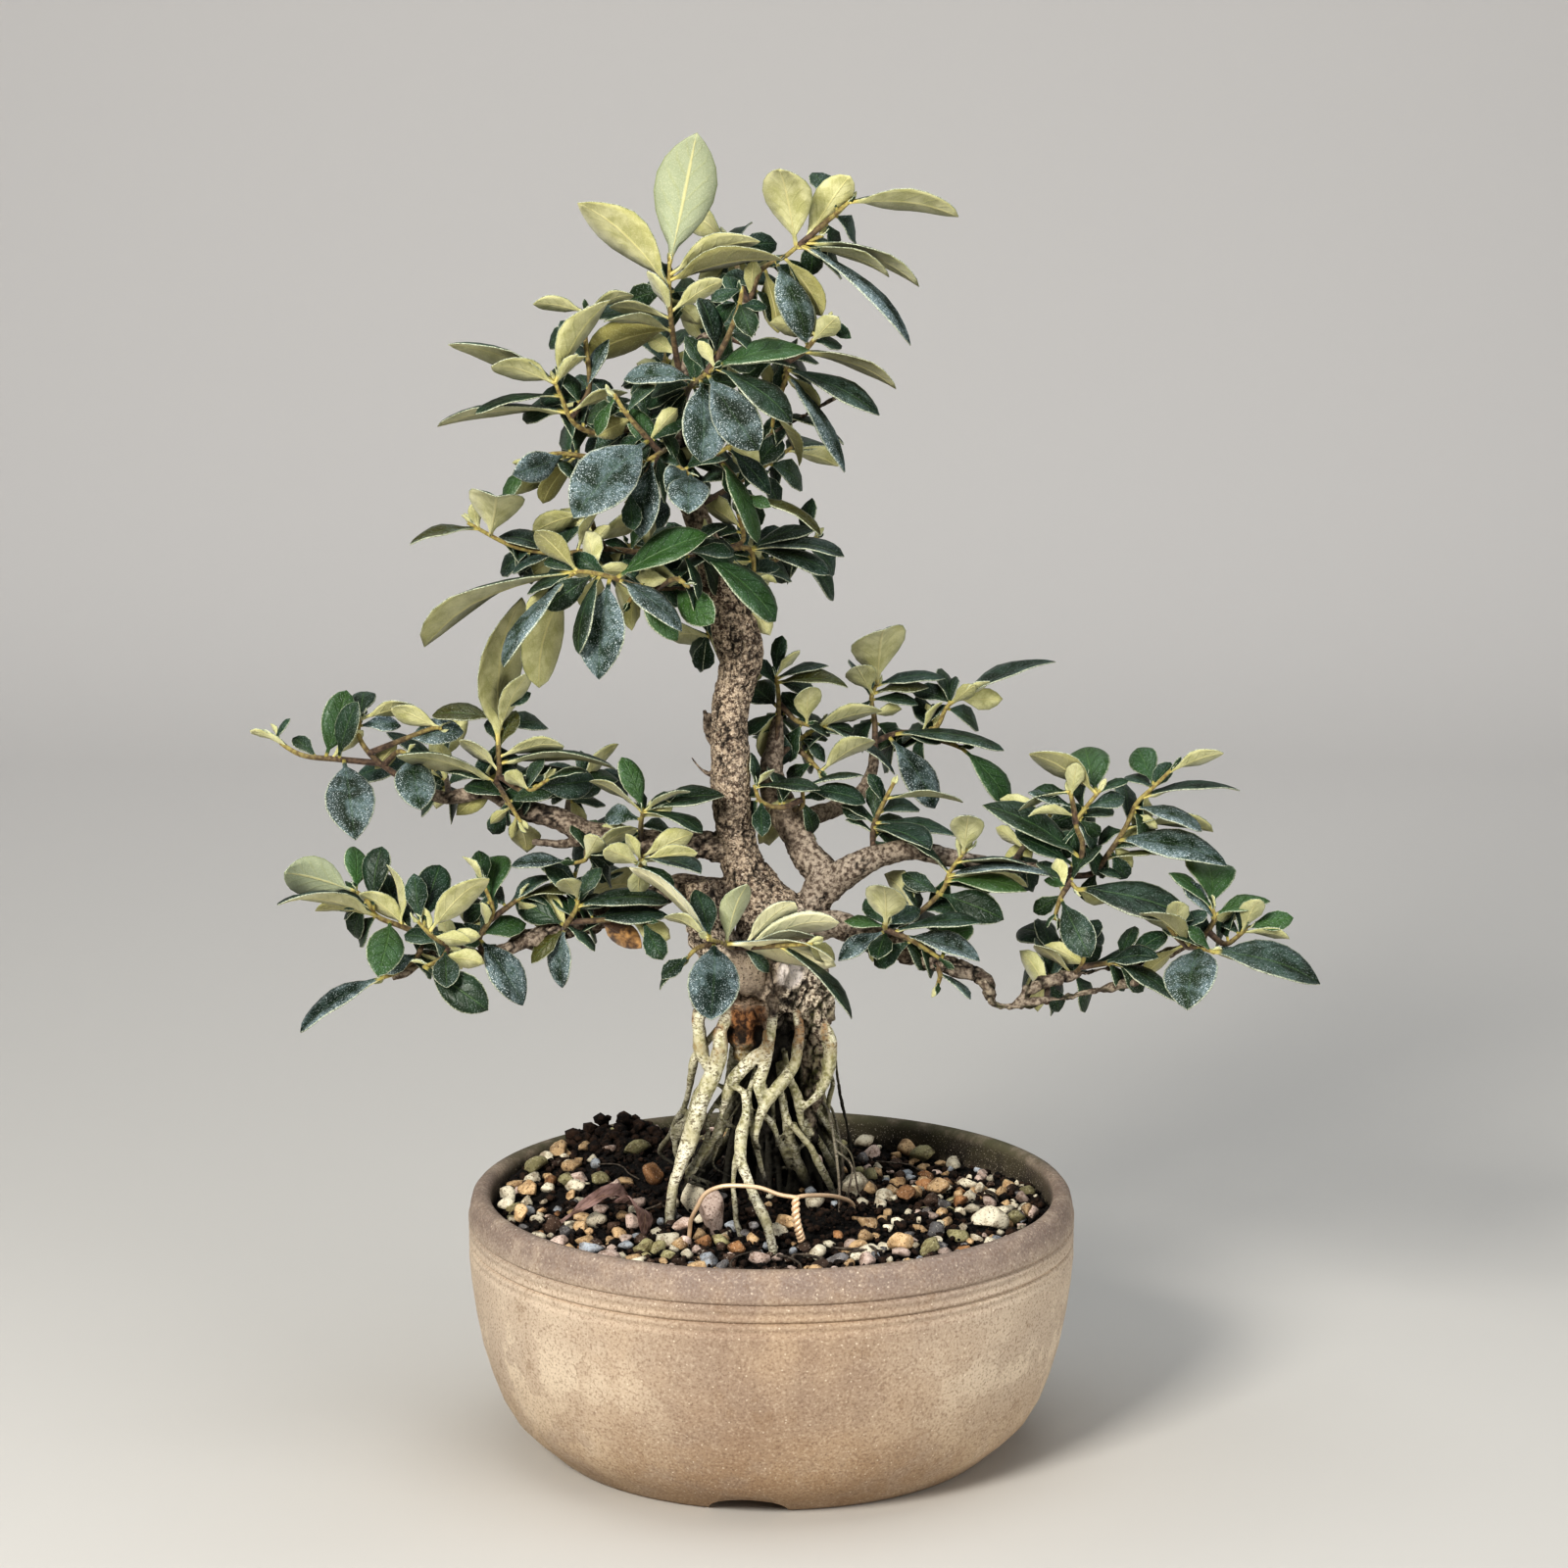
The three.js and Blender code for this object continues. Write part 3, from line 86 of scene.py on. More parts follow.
# Under the lip, as heights: two sharp cuts, and a soft dip below each.
WALL_RADIUS = 90.15
GROOVES = [62.8, 67.9]
GROOVE_DEPTH = 1.0
GROOVE_WIDTH = 0.45
DIPS = [60.3, 65.3]
DIP_DEPTH = 0.35
DIP_WIDTH = 0.8
POT_LIP = [
    (89.9, 71), (89.5, 73.6), (88.9, 75.8), (87.8, 77.1), (86.4, 77.5), (85, 77.3), (83.9, 76.4),
    (83.3, 74.6),
]
POT_INSIDE = [(82.9, 70), (81.9, 55), (80.6, 40), (77.8, 29), (74, 19), (69.5, 13.6), (64, 11), (7, 11)]
POT_STEPS = 200
NOTCHES = 3
FIRST_NOTCH_CLOCK = -95.6
NOTCH_CENTRE = 72
NOTCH_LENGTH = 44
NOTCH_HALF_WIDTH = 11.5
NOTCH_HEIGHT = 5.4

# Soil: its level, and its humps and hollows as (x, y, height, spread).
SOIL_LEVEL = 72
SOIL_SHAPES = [(-2, -2, 2, 26), (-46, 46, 4.5, 22), (45, 50, -5, 30)]
SOIL_UNDERSIDE = [(0, 11.4), (63, 11.4), (68, 13.8), (72.8, 19.2), (79.2, 40), (81.4, 62)]
SOIL_RADIUS = 82.7
SOIL_STEPS = 260
SOIL_RINGS = 92
# Patch of lumpy peat at the back left, as (x, y, spread).
PEAT_PATCH = (-44, 46, 20)

# Leaves.
LEAF_PROPORTION = 2.1
LEAF_SLENDER = 0.44
LEAF_BROAD = 0.62
LEAF_ARCH = 0.07
MOST_LEAN = 64
STRAY_LEAN = 20
MOST_BEND = 70
SMALL_LEAF = 15
INNER_SPACING = 4.2
OPEN_SHOOTS = ["front_rosette", "right_stub", "branch_front", "upper_left_end"]
BENDS = [0, 7, -7, 14, -14, 22, -22, 30, -30, 38, -38]
SEAT = 0.03
LEAF_ROWS = [(0.42, 0.5), (0.74, 0.38)]
STEM_RADIUS = (1.0, 0.55)
LARGE_BLADE = (10, 4)
SMALL_BLADE = (6, 2)
# Bloom, fresh green and olive of the leaf kinds that don't vary.
# On an underside, the high bloom of "y" gives a paler cream: painted light.
FIXED_TONES = {"d": (0, 1, 1), "y": (0.9, 0, 0), "w": (0, 0.95, 0)}

# Wood: points on each centre line with the radius there, (x, y, z, radius).
WOOD = {
    "core": [(-1, -3, 137, 12.5), (-1, -2, 120, 8), (0, 0, 104, 6), (1, 2, 90, 3)],
    "left_shoulder": [(-10, -4, 145, 5), (-17, -8, 138, 5), (-20, -11, 134, 3)],
    "right_shoulder": [(8, -4, 146, 6), (15, -5, 136, 5), (16, -8, 129, 3)],
    "bark_slab_left": [(-12, -10, 154, 4), (-13, -14, 147, 4.2), (-12.5, -15.5, 140, 3.2)],
    "bark_slab_middle": [(-5, -11, 154, 4), (-6, -15.5, 147, 4.4), (-5.5, -17, 140.5, 3.4)],
    "bark_slab_right": [(3, -11, 154, 4), (2.5, -15.5, 148, 4), (2, -17, 142, 3)],
    "right_lobe": [
        (12, -9, 138, 5), (13, -9, 126, 4), (13, -8.5, 116, 3.8), (12.5, -7, 107.5, 3.4),
        (12, -5, 99.5, 2.4), (12.5, -3, 92, 1.5),
    ],
    "cut_twig": [(-13, 2, 205, 1), (-18.5, 1, 212.5, 0.8), (-19.5, 0, 221, 0.7)],
    "dry_twig": [(-14, 0, 199, 0.8), (-20, -1, 203, 0.6), (-23.5, -1, 207, 0.45)],
    "crown_twig": [(-20, 2, 292, 0.9), (-3.5, 2, 299.5, 0.7), (19, 0, 312, 0.5)],
    "trunk": [
        (-1, -3, 135, 15.3), (2, -2, 141, 15.3), (1, 0, 155, 13), (-5, 0, 167, 7.9), (-10, 0, 180, 5.8),
        (-12, 0, 199, 6), (-12, 0, 219, 5.6), (-9, 0, 234, 6), (-10, 0, 242, 7.1), (-13, 0, 253, 6),
        (-20, 0, 272, 4), (-25, 0, 288, 3.1), (-27, 0, 302, 2.5), (-26, 0, 316, 2), (-21, 0, 328, 1.4),
        (-12, 0, 332, 1.1), (-7, 2, 340, 0.7),
    ],
    "stub": [(-5, -4, 141, 5.8), (-14, -8, 150, 6.9), (-19, -10, 161, 6.6), (-21, -10, 172, 4.9)],
    "upper_left": [
        (-8, 0, 178, 4.3), (-18, 0, 180, 4.3), (-28, 0, 181, 4.2), (-42, 1, 182, 4), (-54, 2, 184, 3.7),
        (-63, 3, 188, 3.3), (-74, 4, 191, 2.9), (-83, 5, 196, 2.5), (-92, 7, 194, 2.2), (-99, 8, 194, 2),
        (-111, 11, 200, 1.3),
    ],
    "lower_fork": [(-52, 2, 182, 1.7), (-61, 0, 181, 1.2), (-70, -2, 182, 0.9)],
    "lower_left": [
        (-6, 0, 165, 4.6), (-18, -1, 167, 4.3), (-28, -2, 168, 4), (-39, -3, 163, 3.7), (-54, -4, 159, 3.5),
        (-65, -6, 156, 3.2), (-77, -9, 152, 2.6), (-85, -12, 150, 2.3), (-95, -16, 154, 1.7),
        (-102, -18, 149, 1.3), (-110, -20, 145, 1),
    ],
    "right_back": [
        (4, 0, 152, 6.4), (12, 0, 162, 5.5), (15, 2, 171, 5.2), (10, 5, 177, 4.9), (5, 9, 186, 4.8),
        (2, 12, 192, 4.4), (0, 15, 199, 3.8), (1, 18, 208, 2.8), (2, 20, 216, 1.7),
    ],
    "right_back_fork": [
        (6, 8, 183, 3.2), (12, 12, 187, 2.9), (18, 18, 188, 2.6), (26, 25, 191, 2.3), (30, 30, 197, 1.9),
        (31, 33, 204, 1.5),
    ],
    "right_middle": [
        (11, 0, 162, 4.9), (18, -1, 170, 4.6), (24, -2, 174, 4.3), (32, -3, 178, 3.7), (41, -4, 180, 3.2),
        (51, -5, 178, 2.9), (61, -5, 176, 2.6), (74, -5, 175, 1.9), (86, -5, 173, 1.3),
    ],
    "right_low": [
        (8, -2, 155, 4.6), (18, -6, 158, 4.2), (27, -10, 156, 3.7), (35, -14, 155, 3.6), (46, -17, 150, 3),
        (58, -18, 147, 2.5), (63, -19, 143, 2.1), (66, -20, 137, 1.6), (78, -20, 138, 1.2),
        (92, -20, 141, 1.1), (106, -20, 144, 0.9),
    ],
    "right_low_twig": [
        (71, -20, 137, 1.3), (76, -18, 142, 1.1), (87, -16, 145, 1), (101, -15, 148, 1),
        (115, -14, 151, 0.9), (125, -14, 155, 0.7),
    ],
}
SLEEK = ["right_back", "right_back_fork", "right_middle", "right_low"]
# Marks that tell the kinds of centre line apart.
ROUGH_WOOD = 0.0
SLEEK_BARK = 0.2
INNER_ROOT = 0.8
OUTER_ROOT = 1.0
VOXEL = 0.75
# Burr under the bark's edge, as (x, y, z, radius).
BURR = [(-7.7, -12, 131.5, 5.4), (-8.2, -13, 126, 4.2), (-8.6, -13, 121, 2.8)]

# Exposed roots, each from where it leaves the base or another root.
ROOTS = [
    [(-21, -13, 132.7, 2.1), (-21, -13.7, 127, 2.1), (-20.4, -14.7, 122.2, 2), (-18.9, -15.9, 117.8, 1.3),
     (-17.8, -17, 114, 0.8)],
    [(-21.9, -12, 120.4, 1.1), (-23.4, -8.9, 114, 1.1), (-24.4, -4.6, 107.8, 1), (-26, 1.2, 100.9, 1),
     (-28.6, 7.2, 94.8, 1), (-30.5, 12.7, 89.4, 0.9), (-33.8, 22, 80.8, 0.7)],
    [(-29, 0, 94.6, 0.7), (-28.7, 0.7, 90.2, 0.8), (-27.6, 2, 85.1, 0.7)],
    [(-21.7, -11, 109.5, 0.6), (-23.5, -8.8, 104.5, 0.7), (-25, -5.4, 99.1, 0.7), (-26.6, -1.4, 93.8, 0.7),
     (-27.9, 3, 88.4, 0.6)],
    [(-14.9, -18, 128.9, 1.8), (-14.9, -18.2, 123.7, 2.1), (-16.6, -18.6, 117.3, 2.4),
     (-18.9, -19, 111.5, 2.5), (-21.2, -19.5, 105.8, 2.4), (-23.2, -20.1, 100, 2.4),
     (-24.7, -20.7, 94.3, 2.4), (-26.7, -21.4, 88.5, 1.9), (-28.7, -22.1, 82.8, 1.5),
     (-29.6, -22.8, 77.1, 1.4), (-29.8, -23.3, 72.5, 1.2)],
    [(-18.4, -15, 102.8, 0.6), (-18.7, -14.8, 96.8, 0.7), (-20.2, -14.6, 92.6, 0.8),
     (-22.5, -14.3, 88.1, 1), (-24.6, -14, 84.7, 0.7)],
    [(-1.7, -19, 125.1, 1.3), (-5.2, -18.5, 120.8, 1.8), (-8.6, -17.7, 117.1, 1.9),
     (-11.2, -16.8, 113.6, 1.9), (-12.7, -15.9, 109.6, 1.7), (-13.8, -14.9, 105.2, 1.1),
     (-14.4, -14, 101.4, 0.7)],
    [(0.6, -20, 135.3, 1.4), (-0.3, -20, 127.7, 1.5), (-0.9, -20, 122.7, 1.5), (-2.3, -20, 117.7, 1.5),
     (-3.7, -20, 113.6, 1.8), (-3.2, -20, 108.9, 1.1)],
    [(8.3, -18, 130.1, 1.4), (7.7, -18.2, 123.7, 1.7), (6.9, -18.4, 119.3, 1.8), (4.6, -18.6, 115.8, 1.9),
     (1.7, -18.8, 112.1, 1.9), (-0.9, -19.1, 108.6, 1.7), (-2.9, -19.4, 104.9, 1.4),
     (-4, -19.7, 101.1, 1.1), (-4.6, -20, 96.5, 0.7)],
    [(-10.6, -18, 113.1, 0.7), (-8.3, -18.7, 110.9, 1), (-7.4, -20.1, 107.1, 1.1), (-7.7, -22, 103.5, 1.4),
     (-8.8, -24.1, 99.9, 1.8), (-9.1, -26.8, 95.9, 1.9), (-8.5, -29.8, 92.1, 1.5), (-6.8, -33, 88.6, 1.2),
     (-5.3, -36.3, 85.1, 1.4), (-3.3, -40, 81.8, 1.4), (-1.4, -43.6, 78.7, 1.5), (-0.2, -47.4, 75.5, 1.4),
     (0.6, -51, 72.5, 1.2)],
    [(-10, -24, 92.8, 1), (-10.9, -25.5, 88.2, 0.8), (-11.1, -27.5, 84.4, 0.8), (-10.5, -30.3, 80.4, 0.8),
     (-10.2, -33.7, 76.1, 0.8), (-8.8, -37.3, 72.5, 1)],
    [(-6.6, -18, 109.5, 0.8), (-6, -17.1, 104.2, 0.8), (-5.8, -15.7, 99.4, 0.8), (-4.9, -14, 94.5, 0.8),
     (-3.8, -12.1, 89.6, 0.8), (-2.7, -10, 84.5, 0.6), (-1.5, -8, 80, 0.4)],
    [(2.8, -16, 110.8, 0.8), (3.4, -14.2, 105, 1.1), (4.6, -11.8, 99.9, 1.3), (5.4, -8.9, 94.6, 1.4),
     (6.9, -5.4, 89.2, 1.4), (8.4, -1.6, 83.7, 1.4), (10.2, 2.5, 77.9, 1.3), (11.9, 6.8, 72.5, 1)],
    [(4.9, -14, 101.1, 0.8), (7.2, -13.1, 98.1, 1.1), (9.5, -11.5, 94.7, 1.1), (11.8, -9.4, 91.2, 1.1),
     (13.6, -6.8, 86.6, 1.1), (15.7, -3.8, 81.9, 1.1), (17.7, -0.4, 76.7, 1), (19.2, 2.5, 72.5, 0.9)],
    [(10.7, -6, 98, 1), (13.6, -2.7, 92.4, 1), (16, 1.5, 87.3, 1), (18.4, 7.2, 81.2, 1),
     (20.6, 12.5, 76, 1), (22.1, 16.4, 72.5, 0.9)],
    [(15.7, 0, 97, 0.8), (18.4, 6.1, 91.2, 1.1), (20.6, 14.2, 85.4, 1.1), (22.2, 23.3, 79.2, 1.2),
     (24.2, 34, 72.5, 1)],
    [(0.8, -12, 98.5, 0.6), (2.8, -7.4, 91.2, 0.8), (4.6, -1.8, 85.2, 1), (6.3, 4, 79.6, 1),
     (8.4, 12.1, 72.5, 0.9)],
    [(5.4, -15, 114.1, 1), (7.5, -13.4, 108.3, 1.3), (8.3, -11.4, 103.7, 1.3), (8.9, -8.8, 98.2, 1),
     (10.7, -6, 93.3, 0.7)],
    [(16.9, -12, 125.7, 2), (17.2, -12.3, 119.3, 2), (16.1, -12.9, 113.5, 1.7), (13.8, -13.4, 108.9, 1.3),
     (10.3, -14, 105.5, 0.8)],
    [(18.3, 4, 117.6, 0.4), (19.5, 5.6, 110.3, 0.4), (20.4, 7.9, 103.7, 0.4), (21.7, 10.7, 96.9, 0.4),
     (22.9, 13.4, 91.1, 0.4), (23.9, 17.1, 83.3, 0.4), (24.9, 22, 74, 0.4)],
    [(18, 0, 110.2, 0.6), (17.1, 2.1, 103.1, 0.7), (16, 6, 94.8, 0.6)],
    [(-10.1, -12, 104.4, 0.4), (-13, -11.7, 99.9, 0.4), (-14.8, -11.3, 95.9, 0.6),
     (-16.5, -10.7, 90.9, 0.7), (-17.1, -10, 86, 0.4)],
    [(-2.6, -14, 103.7, 0.8), (-0, -13.3, 100, 1.1), (1.7, -12, 95.5, 0.6)],
    [(-20.5, -16, 90.6, 0.8), (-22.5, -16.4, 86.6, 0.8), (-25.1, -17, 83.8, 0.6)],
]
ROOT_DEPTH = 7
ROOT_BARK = 0.1
SOIL_REACH = 78
BACK_ROOTS = 7
INNER_ROOTS = 22
HANGING_ROOTLETS = 16
LYING_ROOTLETS = 16

# Stones that stand out on the soil: (x, y, width, height, colour).
STONES = [
    (-24, 0, 8.2, 11.1, "w"), (-18, -17, 5.8, 14.4, "p"), (25, 20, 8.9, 7.4, "w"),
    (-36, 22, 8.3, 6.6, "o"), (-42, 45, 9.1, 6.1, "g"), (-73, 35, 9, 6, "g"), (-66, 46, 6.7, 6.1, "t"),
    (-59, 19, 7.1, 4.2, "p"), (-73, 10, 5.9, 5.3, "t"), (-79, 18, 6.5, 3, "t"),
    (-79, -4, 4.7, 4.1, "w"), (-74, -15, 4, 6.4, "t"), (51, 19, 6.5, 5.9, "t"), (41, 9, 5.9, 5.3, "o"),
    (47, 35, 5.4, 4.8, "t"), (63, 22, 4.2, 3.9, "w"), (64, -21, 9.2, 6.3, "w"),
    (72, -16, 5.8, 5.2, "g"), (76, -11, 5.2, 4.6, "t"), (13, -53, 5.6, 5, "w"),
    (37, -45, 7.3, 6.2, "t"), (46, -47, 6.7, 5.6, "g"), (29, -52, 7.3, 3.9, "w"),
    (25, -46, 6.2, 5.1, "t"), (19, -39, 4, 3.7, "o"), (-27, -43, 5.1, 4.5, "t"),
    (-36, -47, 5.1, 4.5, "g"), (-54, -39, 5.1, 4.2, "t"), (32, 86, 6.3, 5, "w"),
    (43, 73, 6.8, 5.6, "t"), (50, 71, 8.1, 6.2, "g"), (4, -26, 7.4, 4.6, "t"),
]
STONE_COLOURS = {
    "w": (220, 212, 190),
    "p": (206, 186, 174),
    "g": (166, 160, 122),
    "t": (200, 172, 134),
    "o": (158, 120, 84),
    "s": (124, 122, 122),
    "b": (170, 176, 182),
    "d": (82, 64, 52),
}

# Loose gravel: how many stones are tried, their reach, the mix of colours, how close they may
# lie, and where they are thin as (x, y, spread, share).
GRAVEL_TRIES = 2200
WALL_REACH = 82.2
GRAVEL_MIX = "wwwwttttoggsbppdd"
GRAVEL_SPACING = 0.42
GRAVEL_GAPS = [(-32, 44, 22, 1.1), (14, -34, 11, 0.6)]

# Soil crumbs, and a heap of peaty ones at the back left: x, y, spread and height.
CRUMBS = 4200
HEAP_CRUMBS = 260
PEAT_HEAP = (-49, 54, 17, 8)

# Training wire: the loop over the front roots, its arm and its twisted end.
WIRE_RADIUS = 0.65
WIRE_LOOP = [
    (-23.8, -37.5, 71.5), (-23.5, -38, 75), (-23.1, -40, 78.3), (-21.3, -43, 82.9), (-18.8, -45, 87.6),
    (-14.5, -47, 90.2), (-9.7, -48, 90.8), (-3.3, -48, 90.2), (2.3, -46, 87.6), (7.1, -44, 86.2),
]
WIRE_ARM = [(7.1, -44, 86.2), (10.8, -40, 85.6), (18, -28, 82), (23.5, -12, 75.5), (24.5, -10, 71.5)]
WIRE_TWIST = [(7.1, -44, 86.2), (7.1, -46, 81.5), (7.9, -46, 77.1), (8.8, -44.5, 73.5)]
WIRE_TWIST_TURNS = 4.5

# Fallen dry leaves: where the stalk starts, where the tip ends, width, roll and curl in degrees.
DRY_LEAVES = {
    "dry_leaf_long": ((-61, -33, 76), (-41, -18, 79.5), 11, 40, 150),
    "dry_leaf_short": ((-48, -26, 80), (-36, -38, 74), 12, -38, 50),
}
